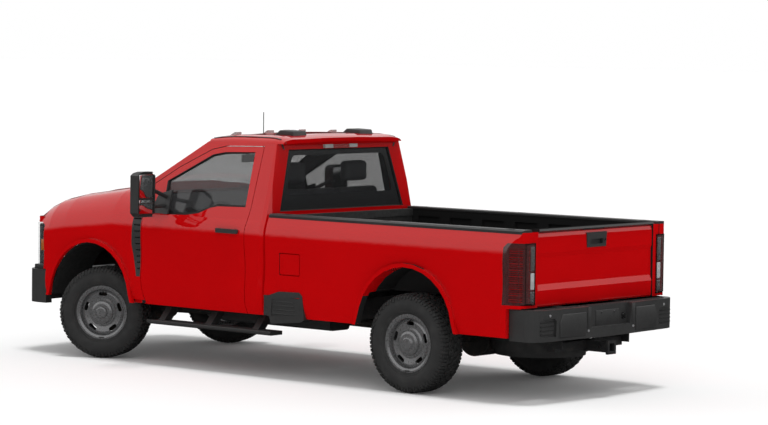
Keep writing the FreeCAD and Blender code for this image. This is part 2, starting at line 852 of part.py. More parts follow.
# Places of the crossmembers, as shares of the frame's length.
CROSSMEMBER_SHARES = (0.045, 0.322, 0.47, 0.60, 0.735, 0.985)


def frame_shape():
    """Two channel rails joined by crossmembers."""
    low = rail_points()
    outline = low + [(y, z + S.rail_height) for y, z in reversed(low)]
    inner = S.frame_half_width - S.rail_width
    rail = side_prism(outline, inner, S.frame_half_width)
    wall = S.rail_height * S.rail_wall_share / 2
    hollow = [(y, z + wall) for y, z in low] + [(y, z + S.rail_height - wall) for y, z in reversed(low)]
    channel = rail.cut(side_prism(hollow, inner - wall, S.frame_half_width - wall))
    front, rear = low[0][0], low[-1][0]
    pieces = both_sides(channel)
    half = S.crossmember_length / 2
    for y in crossmember_places():
        low_z = rail_low(y) + wall
        reach = S.frame_half_width - wall
        pieces.append(block(
            -reach, reach, max(y - half, front), min(y + half, rear), low_z, low_z + S.crossmember_height))
    mount_x = S.frame_half_width - S.rail_width / 2
    for share in BODY_MOUNT_SHARES:
        y = S.firewall_y + share * (S.cab_rear_y - S.firewall_y)
        top = S.cab_floor_z - S.cab_floor_thickness - S.running_gap
        low_z = rail_low(y) + S.rail_height - wall
        pieces += both_sides(Part.makeCylinder(S.body_mount_radius, top - low_z, Vector(mount_x, y, low_z)))
    return fused(pieces)


def crossmember_places():
    """The crossmembers' places along the truck, the last of them over the spare wheel."""
    front, rear = rail_points()[0][0], rail_points()[-1][0]
    return [front + share * (rear - front) for share in CROSSMEMBER_SHARES] + [S.spare_y]


# Places of the cab's mounts on the frame, as shares from the firewall to the cab's rear.
BODY_MOUNT_SHARES = (0.25, 0.60, 0.93)


feature("frame_rails", frame_shape())
rail_front_y = rail_points()[0][0]
rail_rear_y = rail_points()[-1][0]


# Springs, dampers and arms

def front_suspension_shapes():
    """Coil springs, dampers and radius arms of the front axle, left and right."""
    spring_x = S.frame_half_width + S.coil_radius + S.coil_wire_radius + S.running_gap
    axle_top = S.tyre_radius + S.axle_tube_radius
    tower_z = rail_low(front_axle_y) + S.rail_height + S.rail_width
    seat = block(
        spring_x - S.coil_radius - S.coil_wire_radius, spring_x + S.coil_radius + S.coil_wire_radius,
        front_axle_y - S.coil_radius, front_axle_y + S.coil_radius, axle_top, axle_top + S.coil_wire_radius)
    tower = block(
        S.frame_half_width, spring_x + S.coil_radius + S.coil_wire_radius,
        front_axle_y - S.coil_radius, front_axle_y + S.coil_radius, tower_z, tower_z + S.coil_wire_radius)
    coil = Part.makeCylinder(
        S.coil_radius, tower_z - axle_top - S.coil_wire_radius,
        Vector(spring_x, front_axle_y, axle_top + S.coil_wire_radius))
    half = S.radius_arm_width / 2
    arm_x = S.frame_half_width + S.radius_arm_width
    front, rear = front_axle_y + S.axle_tube_radius, front_axle_y + S.radius_arm_length
    axle_z = S.tyre_radius
    frame_z = rail_low(rear) + S.rail_height / 3
    arm = side_prism(
        [(front, axle_z - half), (rear, frame_z - half), (rear, frame_z + half), (front, axle_z + half)],
        arm_x - half, arm_x + half)
    mount = block(S.frame_half_width, arm_x + half, rear - S.radius_arm_height, rear, frame_z - half, frame_z + half)
    return fused([seat, coil, tower]), fused([arm, mount])


front_pieces = front_suspension_shapes()
feature("front_suspension", Part.makeCompound([
    shape for piece in front_pieces for shape in both_sides(piece)]))


def leaf_pack_shape():
    """A cambered leaf pack under one rail, with its eyes and its clip over the axle."""
    low = S.leaf_inset - S.leaf_width / 2
    high = S.leaf_inset + S.leaf_width / 2
    seat_z = S.tyre_radius + S.axle_tube_radius
    ends_z = seat_z + S.leaf_camber
    front, rear = rear_axle_y - S.leaf_half_length, rear_axle_y + S.leaf_half_length
    upper = Part.Arc(
        Vector(low, front, ends_z + S.leaf_pack_height / 3),
        Vector(low, rear_axle_y, seat_z + S.leaf_pack_height),
        Vector(low, rear, ends_z + S.leaf_pack_height / 3)).toShape()
    lower = Part.Arc(
        Vector(low, rear, ends_z), Vector(low, rear_axle_y, seat_z), Vector(low, front, ends_z)).toShape()
    ends = [
        Part.makeLine(Vector(low, rear, ends_z + S.leaf_pack_height / 3), Vector(low, rear, ends_z)),
        Part.makeLine(Vector(low, front, ends_z), Vector(low, front, ends_z + S.leaf_pack_height / 3)),
    ]
    wire = Part.Wire(Part.sortEdges([upper, lower] + ends)[0])
    pack = Part.Face(wire).extrude(Vector(high - low, 0, 0))
    hangers = []
    for y in (front, rear):
        hangers.append(block(
            S.frame_half_width + S.running_gap, high, y - S.leaf_pack_height / 2, y + S.leaf_pack_height / 2,
            ends_z, max(rail_low(y), ends_z) + S.leaf_pack_height))
    return fused([pack] + hangers)


def rear_damper_shape():
    """A slanted damper from the rear axle up to the frame."""
    foot = Vector(S.frame_half_width - S.rail_width * 1.6, rear_axle_y - S.axle_tube_radius, S.tyre_radius)
    head = Vector(
        S.frame_half_width - S.rail_width * 1.6, rear_axle_y - S.rail_height, rail_low(rear_axle_y) + S.rail_height / 2)
    web = S.frame_half_width - S.rail_height * S.rail_wall_share / 2 - S.running_gap
    stay = block(
        head.x - S.damper_radius, web, head.y - S.damper_radius,
        head.y + S.damper_radius, head.z, head.z + S.damper_radius)
    tube = rod(
        Vector(0, rear_axle_y, S.tyre_radius), Vector(S.frame_half_width, rear_axle_y, S.tyre_radius),
        S.axle_tube_radius + S.running_gap)
    return fused([rod(foot, head, S.damper_radius), stay]).cut(tube)


feature("rear_suspension", Part.makeCompound(
    both_sides(leaf_pack_shape()) + both_sides(rear_damper_shape())))


# Drive train, exhaust and tanks

def make_box(label, place, size):
    """A plain block bound to the sheet."""
    box = doc.addObject("Part::Box", label)
    for name, text in zip(("Length", "Width", "Height"), size):
        box.setExpression(name, text)
    for axis, text in zip("xyz", place):
        box.setExpression(f"Placement.Base.{axis}", text)
    return keep(box, label)


FRAME_FRONT = "(-(Sizes.front_overhang + Sizes.wheelbase + Sizes.rear_overhang) / 2)"
make_box(
    "engine_block",
    ("-Sizes.engine_width / 2", f"{FRAME_FRONT} + Sizes.engine_front_gap + Sizes.crossmember_length * 2", "Sizes.engine_low_z"),
    ("Sizes.engine_width", "Sizes.engine_length", "Sizes.engine_height"))
engine_rear_y = nose_y + S.engine_front_gap + S.crossmember_length * 2 + S.engine_length
gearbox_rear_y = engine_rear_y + S.gearbox_length
transfer_rear_y = gearbox_rear_y + S.transfer_length


def gearbox_shape():
    """The gearbox as a tapered case, with the transfer case that hangs at its rear."""
    start = Vector(0, engine_rear_y, S.gearbox_z)
    case = Part.makeCone(S.gearbox_radius * 1.25, S.gearbox_radius, S.gearbox_length, start, Vector(0, 1, 0))
    half = S.transfer_width / 2
    low = S.transfer_low_z
    transfer = block(-half * 0.7, half * 1.3, gearbox_rear_y, transfer_rear_y, low, low + S.transfer_height)
    mount_y = crossmember_places()[1]
    mount_z = rail_low(mount_y) + S.rail_height * S.rail_wall_share / 2 + S.crossmember_height + S.running_gap
    mount = block(
        -S.shaft_radius, S.shaft_radius, mount_y - S.shaft_radius, mount_y + S.shaft_radius, mount_z,
        S.gearbox_z - S.gearbox_radius * 0.9)
    return fused([case, transfer, mount])


def driveshaft_shapes():
    """The rear shaft from the transfer case to the rear axle, and the front shaft beside the gearbox."""
    low = S.transfer_low_z + S.shaft_radius + S.running_gap
    rear_start = Vector(0, transfer_rear_y, low)
    rear_end = Vector(0, rear_axle_y - S.rear_diff_radius * 1.8 - S.panel_gap, S.tyre_radius)
    front_start = Vector(S.front_diff_offset, gearbox_rear_y, low)
    front_end = Vector(
        S.front_diff_offset, front_axle_y + S.front_diff_radius * 1.7 + S.panel_gap, S.tyre_radius)
    return [rod(rear_start, rear_end, S.shaft_radius), rod(front_start, front_end, S.front_shaft_radius)]


feature("gearbox_and_shafts", fused([gearbox_shape()] + driveshaft_shapes()))


def exhaust_shape():
    """The exhaust pipe down the passenger's side, its muffler, and its tail pipe beside the spring."""
    x = -(S.frame_half_width - S.rail_width * 2.6)
    z = S.rail_low_z - S.exhaust_radius
    front_y = engine_rear_y - S.engine_length / 4
    muffler_y = crossmember_places()[2] + S.crossmember_length
    over_z = S.rail_low_z + S.rail_kick - S.exhaust_radius - S.panel_gap
    wheel_end_y = rear_axle_y + S.tyre_radius
    low_z = z + S.exhaust_radius
    tip = Vector(-(S.bed_inner_half + S.exhaust_radius), wheel_end_y + S.muffler_length * 0.77, low_z)
    points = [
        Vector(x, front_y, S.engine_low_z - S.exhaust_radius - S.running_gap),
        Vector(x, front_y + S.rail_height, z), Vector(x, muffler_y, z),
        Vector(x, muffler_y + S.muffler_length, z),
        Vector(x, muffler_y + S.muffler_length + S.crossmember_length * 1.5, z),
        Vector(x, rear_axle_y - S.rail_height * 2, over_z), Vector(x, rear_axle_y + S.axle_tube_radius, over_z),
        Vector(-S.exhaust_outer_x, rear_axle_y + S.rail_height * 1.6, over_z),
        Vector(-S.exhaust_outer_x, wheel_end_y + S.muffler_length / 2, low_z), tip,
    ]
    pieces = [rod(start, end, S.exhaust_radius) for start, end in zip(points, points[1:])]
    pieces += [Part.makeSphere(S.exhaust_radius, point) for point in points[1:-1]]
    pieces.append(rod(points[2], points[3], S.muffler_radius))
    hanger_y = crossmember_places()[2]
    hanger_z = rail_low(hanger_y) + S.rail_height * S.rail_wall_share / 2 - S.running_gap
    half = S.exhaust_radius / 2
    pieces.append(block(x - half, x + half, hanger_y - half, hanger_y + half, z, hanger_z))
    return fused(pieces)


feature("exhaust", exhaust_shape())


def make_tank():
    """The fuel tank beside the driver's side rail, a pad with rounded long edges."""
    body = new_body("fuel_tank")
    sketch = new_sketch(body, "XY_Plane", "fuel_tank_plan", "Sizes.tank_low_z")
    front = "(Sizes.cab_rear_y - Sizes.tank_length * 0.62)"
    inner = "(Sizes.frame_half_width + Sizes.running_gap)"
    add_outline(sketch, (
        (inner, front), (f"{inner} + Sizes.tank_width", front),
        (f"{inner} + Sizes.tank_width", f"{front} + Sizes.tank_length"), (inner, f"{front} + Sizes.tank_length")))
    doc.recompute()
    pad = add_pad(body, sketch, "Sizes.tank_height", "fuel_tank_block")
    doc.recompute()
    rounds = body.newObject("PartDesign::Fillet", "fuel_tank_rounds")
    long_edges = [
        f"Edge{number}" for number, edge in enumerate(pad.Shape.Edges, start=1)
        if abs(edge.tangentAt(edge.FirstParameter).y) > 0.9]
    rounds.Base = (pad, long_edges)
    rounds.setExpression("Radius", "Sizes.tank_height / 6")
    doc.recompute()
    return keep(body, "fuel_tank")


make_tank()
make_box(
    "radiator",
    ("-Sizes.radiator_width / 2",
     f"{FRAME_FRONT} + Sizes.engine_front_gap - Sizes.radiator_depth", "Sizes.nose_low_z"),
    ("Sizes.radiator_width", "Sizes.radiator_depth",
     "Sizes.grille_top_z + Sizes.panel_gap / 2 - Sizes.nose_low_z - Sizes.running_gap"))


# Cab

# The door's outline, as shares of its length and of the height from body bottom to roof edge.
DOOR_SHARES = (
    (0.042, 0.010), (0.016, 0.094), (0.002, 0.16), (0.0, 0.40), (0.0, 0.70), (0.024, 0.715),
    (0.262, 0.838), (0.53, 0.950), (0.655, 0.973), (1.0, 0.980),
    (0.985, 0.62), (0.965, 0.50), (0.968, 0.42), (0.98, 0.22), (0.985, 0.052), (0.995, 0.0), (0.05, 0.0),
)
# The window's outline in the same shares.
WINDOW_SHARES = (
    (0.178, 0.552), (0.40, 0.556), (0.515, 0.572), (0.612, 0.607), (0.68, 0.619), (0.935, 0.624),
    (0.93, 0.947), (0.66, 0.940), (0.545, 0.922), (0.285, 0.805), (0.166, 0.752),
)


# How far the fender's lower rear corner runs on under the door's slanted edge, as a share of the door's length.
FENDER_HEEL_SHARE = 0.055


def door_point(share):
    """A point of the door's outline from its pair of shares."""
    along, high = share
    return (
        S.door_front_y + along * S.door_length,
        S.body_bottom_z + high * (S.roof_edge_z - S.body_bottom_z))


def widened(outline, amount):
    """An outline moved outwards by an amount, by offsetting its face."""
    corners = [Vector(0, y, z) for y, z in outline]
    face = Part.Face(Part.makePolygon(corners + corners[:1]))
    moved = face.makeOffset2D(amount, 2) if amount else face
    return [(point.y, point.z) for point in [vertex.Point for vertex in moved.OuterWire.OrderedVertexes]]


door_outline = [door_point(share) for share in DOOR_SHARES]
window_outline = [door_point(share) for share in WINDOW_SHARES]
door_opening = widened(door_outline, S.panel_gap)
far_x = S.flare_half_width + S.cut_overrun


def hull_shape():
    """The cab's outer form as one solid, with rounded rear corners, used to trim what spans it."""
    skin = side_points()
    stations = (
        (S.firewall_y, 0.0), (S.cab_rear_y - S.cab_rear_corner, 0.0),
        (S.cab_rear_y - S.cab_rear_corner / 3, S.cab_rear_corner / 6),
        (S.cab_rear_y + S.running_gap, S.cab_rear_corner * 0.8))
    wires = []
    for y, inset in stations:
        left = [(x - inset, z) for x, z in skin]
        top = (S.roof_half_width - inset, S.roof_edge_z)
        right = [(-x, z) for x, z in reversed(left)]
        edges = [curve_through(left, y)] + lines_through([left[-1], top, (-top[0], top[1]), right[0]], y)
        edges += [curve_through(right, y)] + lines_through([right[-1], left[0]], y)
        wires.append(Part.Wire(edges))
    return Part.makeLoft(wires, True, True)


cab_hull = hull_shape()


def rear_wall_shape():
    """The cab's rear wall, upright below its window and leaning forward above, with the window cut."""
    lean_z = S.rear_glass_low_z
    top_y = S.cab_rear_y - S.cab_rear_lean
    foot_z = S.cab_floor_z - S.cab_floor_thickness
    outline = [
        (S.cab_rear_y, foot_z), (S.cab_rear_y, lean_z), (top_y, S.roof_edge_z),
        (top_y - S.cab_wall, S.roof_edge_z), (S.cab_rear_y - S.cab_wall, lean_z),
        (S.cab_rear_y - S.cab_wall, foot_z),
    ]
    wall = side_prism(outline, -far_x, far_x).common(cab_hull)
    window = front_prism([
        (-S.rear_glass_low_half, S.rear_glass_low_z), (S.rear_glass_low_half, S.rear_glass_low_z),
        (S.rear_glass_top_half, S.rear_glass_top_z), (-S.rear_glass_top_half, S.rear_glass_top_z),
    ], top_y - S.cab_wall - S.cut_overrun, S.cab_rear_y + S.cut_overrun)
    return wall.cut(window)


def cab_shape():
    """The cab's shell: floor, sills, firewall, jambs, pillars and rear wall, open at its doors and windows."""
    side = wall_slab(S.firewall_y, S.cab_rear_y).common(cab_hull)
    behind = side_prism([
        (S.cab_rear_y, S.body_bottom_z - S.cut_overrun), (S.cab_rear_y, S.rear_glass_low_z),
        (S.cab_rear_y - S.cab_rear_lean, S.roof_edge_z), (S.cab_rear_y - S.cab_rear_lean, S.roof_top_z),
        (S.cab_rear_y + far_x, S.roof_top_z), (S.cab_rear_y + far_x, S.body_bottom_z - S.cut_overrun),
    ], 0, far_x)
    side = side.cut(behind)
    side = side.cut(side_prism(door_opening, 0, far_x))
    ahead = S.firewall_y - S.cut_overrun
    above = side_prism([
        (ahead, windshield_z(ahead)), (windshield_y(S.roof_top_z), S.roof_top_z), (ahead, S.roof_top_z)], 0, far_x)
    side = side.cut(above)
    jamb_x = S.body_half_width - S.door_thickness - S.panel_gap
    side = side.cut(block(
        jamb_x, far_x, S.door_front_y - S.door_jamb_gap, S.door_front_y + S.door_length * FENDER_HEEL_SHARE,
        S.body_bottom_z - S.cut_overrun, S.belt_z))
    shoulder_z = S.hood_rear_z + S.cut_overrun / 2
    side = side.cut(block(
        S.body_half_width - S.door_axis_inset, far_x, ahead, S.door_front_y, S.body_bottom_z - S.cut_overrun, shoulder_z))
    side = side.cut(block(
        jamb_x, far_x, S.door_front_y - S.door_jamb_gap, S.door_front_y,
        S.body_bottom_z - S.cut_overrun, shoulder_z - S.cut_overrun / 2))
    floor_top = S.cab_floor_z
    inner_x = S.body_half_width - S.door_thickness - S.sill_width / 2
    floor_low = floor_top - S.cab_floor_thickness
    floor = block(-inner_x, inner_x, S.firewall_y, S.cab_rear_y - S.cab_wall, floor_low, floor_top)
    tunnel_half = S.gearbox_radius * 1.35
    tunnel_top = S.gearbox_z + S.gearbox_radius * 1.4
    tunnel = block(
        -tunnel_half, tunnel_half, S.firewall_y, S.door_front_y + S.door_length / 2, floor_low, tunnel_top)
    room = block(
        -tunnel_half + S.firewall_thickness / 2, tunnel_half - S.firewall_thickness / 2, S.firewall_y - S.cut_overrun,
        S.door_front_y + S.door_length / 2 - S.firewall_thickness / 2, floor_low - S.cut_overrun,
        tunnel_top - S.firewall_thickness / 2)
    firewall = block(
        -jamb_x, jamb_x, S.firewall_y, S.firewall_y + S.firewall_thickness, floor_low,
        windshield_z(S.firewall_y) - S.cab_floor_thickness)
    sill = block(
        inner_x - S.sill_width, inner_x, S.firewall_y, S.cab_rear_y - S.cab_wall, S.sill_low_z, floor_low)
    foot = block(
        inner_x - S.sill_width, jamb_x + S.panel_gap, S.firewall_y, S.door_front_y - S.door_jamb_gap,
        S.body_bottom_z, floor_top)
    post_foot = block(
        inner_x - S.sill_width, jamb_x + S.panel_gap, door_rear_y + S.panel_gap, S.cab_rear_y - S.cab_wall / 2,
        S.body_bottom_z, floor_top)
    pieces = both_sides(side) + both_sides(sill) + both_sides(foot) + both_sides(post_foot)
    pieces += [floor, tunnel, firewall, rear_wall_shape()]
    return fused(pieces, merge_faces=False).cut(room)


cab_body = cab_shape()


def door_axis(side):
    """Where the door's hinge axis stands."""
    return (side * (S.body_half_width - S.door_axis_inset), S.door_front_y + S.door_axis_setback)


# Heights of the door's two hinges, as shares of the height from body bottom to belt.
HINGE_SHARES = (0.16, 0.72)


def hinge_heights():
    """The low end of each hinge."""
    return [S.body_bottom_z + share * (S.belt_z - S.body_bottom_z) for share in HINGE_SHARES]


def hinge_pin_shape(side):
    """The fixed half of the door's hinges: a pin on a bracket from the jamb."""
    x, y = door_axis(side)
    pieces = []
    jamb_y = S.door_front_y - S.door_jamb_gap
    half = S.door_open_radius / 2
    root = side * (S.body_half_width - S.door_thickness - S.panel_gap)
    for low in hinge_heights():
        high = low + S.hinge_height / 4
        pieces.append(Part.makeCylinder(half, S.hinge_height, Vector(x, y, low)))
        inner, outer = root - side * S.door_open_radius * 3, root - side * S.door_open_radius * 1.5
        for start, end, front, rear in (
                (inner, x + side * half, y - half, y + half),
                (inner, outer, jamb_y - S.door_open_radius, y + half),
                (inner, root + side * S.door_open_radius, jamb_y - S.door_open_radius, jamb_y)):
            near, far = sorted((start, end))
            pieces.append(block(near, far, front, rear, low, high))
    return pieces


def door_shape():
    """The driver's door: a full-thickness panel with its window cut and room for its hinges."""
    slab = wall_slab(S.door_front_y - S.cut_overrun, door_rear_y + S.cut_overrun)
    door = slab.common(side_prism(door_outline, 0, far_x))
    door = door.cut(side_prism(window_outline, 0, far_x))
    x, y = door_axis(1)
    for low in hinge_heights():
        gap = S.running_gap
        reach = S.door_axis_inset / 2
        pocket = block(
            S.body_half_width - S.door_thickness - S.cut_overrun, x + reach, S.door_front_y - S.cut_overrun, y + reach,
            low - S.panel_gap, low + S.hinge_height + S.panel_gap)
        barrel = Part.makeCylinder(S.door_open_radius, S.hinge_height * 0.6, Vector(x, y, low + S.hinge_height * 0.3))
        strap = block(
            x - S.door_open_radius, x + S.door_open_radius, y, y + reach + S.panel_gap,
            low + S.hinge_height * 0.3, low + S.hinge_height * 0.9)
        bore = Part.makeCylinder(
            S.door_open_radius / 2 + gap, S.hinge_height + S.panel_gap * 2, Vector(x, y, low - S.panel_gap))
        door = door.cut(pocket).fuse(fused([barrel, strap]).cut(bore))
    return door.removeSplitter()


door_left = door_shape()
feature("door_left", door_left)
feature("door_right", mirrored(door_left))


def door_handle_shape():
    """The driver's door handle: a bar that bridges a finger gap, its ends seated on the door's skin."""
    front = S.door_handle_front_y
    rear = front + S.door_handle_length
    low, high = S.door_handle_low_z, S.door_handle_low_z + S.door_handle_height
    face = S.body_half_width * SKIN_FACE_SHARE
    outer = face + S.door_handle_reach
    corner = S.door_handle_height / 3
    bar = plan_prism([
        (face - corner, front), (face, front), (outer - corner / 2, front + corner * 2), (outer, front + corner * 4),
        (outer, rear - corner * 3), (outer - corner, rear), (face - corner, rear)], low, high)
    bar = bar.common(side_prism([
        (front, low + corner), (front + corner, low), (rear - corner, low), (rear, low + corner),
        (rear, high - corner), (rear - corner, high), (front + corner, high), (front, high - corner)], 0, far_x))
    grip = block(
        0, face + S.door_handle_grip, front + S.door_handle_height * 2, rear - S.door_handle_height, low - corner, high + corner)
    return bar.cut(grip).cut(door_left)


# The skin's half-width at the door handle and the fuel door, as a share of the body's.
SKIN_FACE_SHARE = 0.987

door_handle = door_handle_shape()
feature("door_handle_left", door_handle)
feature("door_handle_right", mirrored(door_handle))


def door_glass_shape():
    """The door's window glass, standing in the middle of its frame."""
    depth = S.window_frame_thickness / 2
    low, high = S.belt_z, S.roof_edge_z
    face_x = S.belt_half_width - depth
    top_x = S.roof_half_width - depth
    sheet_shape = front_prism([
        (face_x, low), (top_x, high), (top_x - S.glass_thickness, high), (face_x - S.glass_thickness, low),
    ], S.door_front_y, door_rear_y)
    return sheet_shape.common(side_prism(window_outline, 0, far_x))


door_glass = door_glass_shape()
feature("door_glass_left", door_glass)
feature("door_glass_right", mirrored(door_glass))


def rear_glass_shape():
    """The rear window glass in the middle of the leaning rear wall."""
    lean_share = S.cab_rear_lean / (S.roof_edge_z - S.rear_glass_low_z)
    middle = S.cab_rear_y - S.cab_wall / 3
    low, high = S.rear_glass_low_z, S.rear_glass_top_z
    top = middle - lean_share * (high - low)
    outline = [
        (middle, low), (top, high), (top - S.glass_thickness, high), (middle - S.glass_thickness, low)]
    glass = side_prism(outline, -far_x, far_x)
    return glass.common(front_prism([
        (-S.rear_glass_low_half, low), (S.rear_glass_low_half, low),
        (S.rear_glass_top_half, high), (-S.rear_glass_top_half, high),
    ], top - S.cab_wall, S.cab_rear_y))


def windshield_shape():
    """The raked windshield, bowed forward in the middle between its pillars."""
    low_z = S.windshield_low_z
    high_z = S.roof_edge_z - S.pillar_width / 3
    wires = []
    for z, half, bow in ((low_z, pillar_inner_x(low_z), S.windshield_bow), (high_z, pillar_inner_x(high_z), S.windshield_bow / 2)):
        y = windshield_y(z)
        outer = Part.Arc(Vector(-half, y, z), Vector(0, y - bow, z), Vector(half, y, z)).toShape()
        back = y + S.glass_thickness * 2
        inner = Part.Arc(Vector(half, back, z), Vector(0, back - bow, z), Vector(-half, back, z)).toShape()
        sides = [
            Part.makeLine(Vector(half, y, z), Vector(half, back, z)),
            Part.makeLine(Vector(-half, back, z), Vector(-half, y, z))]
        wires.append(Part.Wire([outer, sides[0], inner, sides[1]]))
    return Part.makeLoft(wires, True, True)


def pillar_inner_x(z):
    """The inner face of the pillars at a height above the belt."""
    share = (z - S.belt_z) / (S.roof_edge_z - S.belt_z)
    outer = S.belt_half_width + (S.roof_half_width - S.belt_half_width) * share
    return outer - S.window_frame_thickness


# Roof

# Stations along the roof, as shares of its length from front to rear.
ROOF_STATION_SHARES = (0.0, 0.05, 0.12, 0.20, 0.30, 0.45, 0.80, 0.88, 0.95, 1.0)
ROOF_FLAT_SHARES = (0.45, 0.80)
ROOF_TAPER_SHARE = 0.03


def roof_fall_share(along):
    """How much of its drop the roof's crown has at a station: all at its ends, none in its flat middle."""
    start, end = ROOF_FLAT_SHARES
    if along < start:
        return (1 - along / start) ** 2
    return ((along - end) / (1 - end)) ** 2 if along > end else 0.0


def roof_wire(along):
    """One closed section of the roof, an upper and a lower crowned line."""
    drop = roof_fall_share(along)
    wide = 1 - ROOF_TAPER_SHARE * drop
    front = windshield_y(S.roof_edge_z) - S.windshield_bow * 0.2
    rear = S.cab_rear_y - S.running_gap
    y = front + along * (rear - front)
    fall = drop * (S.roof_front_drop if along < 0.5 else S.roof_rear_drop)
    half = S.roof_half_width * wide
    rise = S.roof_top_z - S.roof_edge_z - fall
    upper = [(half, 0.0), (half * 0.985, 0.30), (half * 0.94, 0.60), (half * 0.7, 0.86), (half * 0.35, 0.97), (0, 1.0)]
    left = [(x, S.roof_edge_z + rise * share) for x, share in upper]
    top = left + [(-x, z) for x, z in reversed(left[:-1])]
    inner_half = half - S.window_frame_thickness
    lower_top = max(S.roof_edge_z + rise - S.roof_thickness, S.roof_edge_z + S.running_gap)
    bottom = [(-inner_half, S.roof_edge_z), (0, lower_top), (inner_half, S.roof_edge_z)]
    under = Part.Arc(*[Vector(x, y, z) for x, z in bottom]).toShape()
    edges = [curve_through(top, y)] + lines_through([top[-1], bottom[0]], y) + [under]
    return Part.Wire(edges + lines_through([bottom[-1], top[0]], y))


def roof_shape():
    """The crowned roof panel over the cab, closed at its front and rear by the headers."""
    return Part.makeLoft([roof_wire(along) for along in ROOF_STATION_SHARES], True, True)


feature("cab_roof", roof_shape())


# Lamps on the roof's front edge, in shares of the roof's half-width.
ROOF_LAMP_SHARES = (-0.78, -0.26, 0.0, 0.26, 0.78)


def roof_lamp_shapes():
    """Five marker lamps along the roof's front edge, two pods behind, and the high stop lamp."""
    front = windshield_y(S.roof_edge_z) + (S.cab_rear_y - windshield_y(S.roof_edge_z)) * 0.16
    shapes = []
    for share in ROOF_LAMP_SHARES:
        x = S.roof_half_width * share
        half = S.roof_lamp_length / 2
        shapes.append(lamp_wedge(x - half, x + half, front - S.roof_lamp_width / 2, front + S.roof_lamp_width))
    return shapes


def lamp_wedge(low_x, high_x, low_y, high_y):
    """A low wedge standing on the roof's crown."""
    z = roof_height(max(abs(low_x), abs(high_x)), low_y)
    over = roof_height(min(abs(low_x), abs(high_x)), high_y) + S.roof_lamp_height
    wedge = side_prism([(low_y, z - S.roof_thickness / 3), (low_y, z + S.running_gap), (high_y - S.roof_lamp_width / 3, over),
                        (high_y, over), (high_y, z - S.roof_thickness / 3)], low_x, high_x)
    return wedge.cut(cab_roof_shape)


def roof_height(x, y):
    """The height of the roof's top at a place, found by dropping a line onto it."""
    line = Part.makeLine(Vector(x, y, S.roof_edge_z), Vector(x, y, S.roof_top_z + S.cut_overrun))
    hit = cab_roof_shape.common(line)
    return hit.BoundBox.ZMax


cab_roof_shape = parts[-1].Shape


def stop_lamp_shape():
    """The high stop lamp above the rear window, seated on the leaning rear wall."""
    lean_share = S.cab_rear_lean / (S.roof_edge_z - S.rear_glass_low_z)
    low = S.rear_glass_top_z + S.panel_gap
    high = low + S.stop_lamp_height
    start = S.cab_rear_y - lean_share * (low - S.rear_glass_low_z)
    end = S.cab_rear_y - lean_share * (high - S.rear_glass_low_z)
    return side_prism([
        (start, low), (start + S.stop_lamp_depth, low), (end + S.stop_lamp_depth, high), (end, high),
    ], -S.stop_lamp_half, S.stop_lamp_half)


feature("roof_lamps", Part.makeCompound(roof_lamp_shapes() + [stop_lamp_shape()]))


# Cab inside

def bench_shape():
    """The bench seat: a cushion, a reclined back and two headrests, as one plain soft solid."""
    half = S.seat_width / 2
    rear = S.seat_back_y
    front = rear - S.seat_depth
    low = S.seat_z
    lean = S.seat_back_thickness * 0.9
    top = low + S.seat_back_height
    outline = [
        (front, low), (front, low + S.seat_height * 0.85), (rear - lean, low + S.seat_height),
        (rear - S.seat_back_thickness * 0.2, top), (rear + S.seat_back_thickness * 0.4, top), (rear, low)]
    bench = side_prism(outline, -half, half)
    middle_y = rear + S.seat_back_thickness * 0.1
    rest_low = top + S.headrest_post
    rests = []
    for x in (S.headrest_x, -S.headrest_x):
        start, end = x - S.headrest_width / 2, x + S.headrest_width / 2
        corner = S.headrest_height / 4
        pad = front_prism([
            (start, rest_low + corner), (start + corner, rest_low), (end - corner, rest_low), (end, rest_low + corner),
            (end, rest_low + S.headrest_height - corner), (end - corner, rest_low + S.headrest_height),
            (start + corner, rest_low + S.headrest_height), (start, rest_low + S.headrest_height - corner)],
            middle_y - S.headrest_depth / 2, middle_y + S.headrest_depth / 2)
        rests.append(pad)
        for side in (-1, 1):
            post_x = x + side * S.headrest_width / 4
            rests.append(Part.makeCylinder(
                S.headrest_post / 2, S.headrest_post * 3, Vector(post_x, middle_y, top - S.headrest_post)))
    return fused([bench] + rests)


feature("bench_seat", bench_shape())


def bench_base_shape():
    """The seat's steel frame from the floor up to the cushion."""
    half = S.seat_width / 2 - S.seat_back_thickness
    rear = S.seat_back_y - S.seat_back_thickness * 0.3
    front = rear - S.seat_depth + S.seat_back_thickness
    tunnel = S.gearbox_radius * 1.35 + S.panel_gap
    top = S.seat_z - S.running_gap
    shelf = block(-half, half, front, rear, S.seat_z - S.crossmember_height, top)
    legs = both_sides(block(tunnel, half, front, rear, S.cab_floor_z, S.seat_z - S.crossmember_height))
    return fused([shelf] + legs)


def dash_shape():
    """The dashboard with its instrument hood, and the steering column's fixed shroud."""
    half = S.dash_width / 2
    front = S.firewall_y + S.firewall_thickness
    rear = front + S.dash_depth
    top = S.dash_top_z
    low = top - S.dash_height
    outline = [
        (front, low + S.dash_height / 3), (front, windshield_z(front) - S.glass_thickness * 12), (rear - S.dash_depth / 3, top),
        (rear, top - S.dash_height / 5), (rear - S.dash_depth / 6, low), (rear - S.dash_depth / 2, low)]
    body = side_prism(outline, -half, half)
    centre = Vector(S.steering_centre_x, S.steering_centre_y, S.steering_centre_z)
    inward = steering_direction() * (-1)
    start = centre + inward * (S.steering_grip_radius * 4)
    column = rod(start, start + inward * S.dash_depth * 0.9, S.steering_column_radius)
    hood = side_prism([
        (rear - S.dash_depth / 2, top - S.glass_thickness), (rear, top - S.dash_height / 5),
        (rear + S.glass_thickness, top - S.glass_thickness), (rear - S.dash_depth / 8, top + S.glass_thickness * 3)],
        S.steering_centre_x - S.steering_wheel_radius, S.steering_centre_x + S.steering_wheel_radius)
    return fused([body, column, hood])


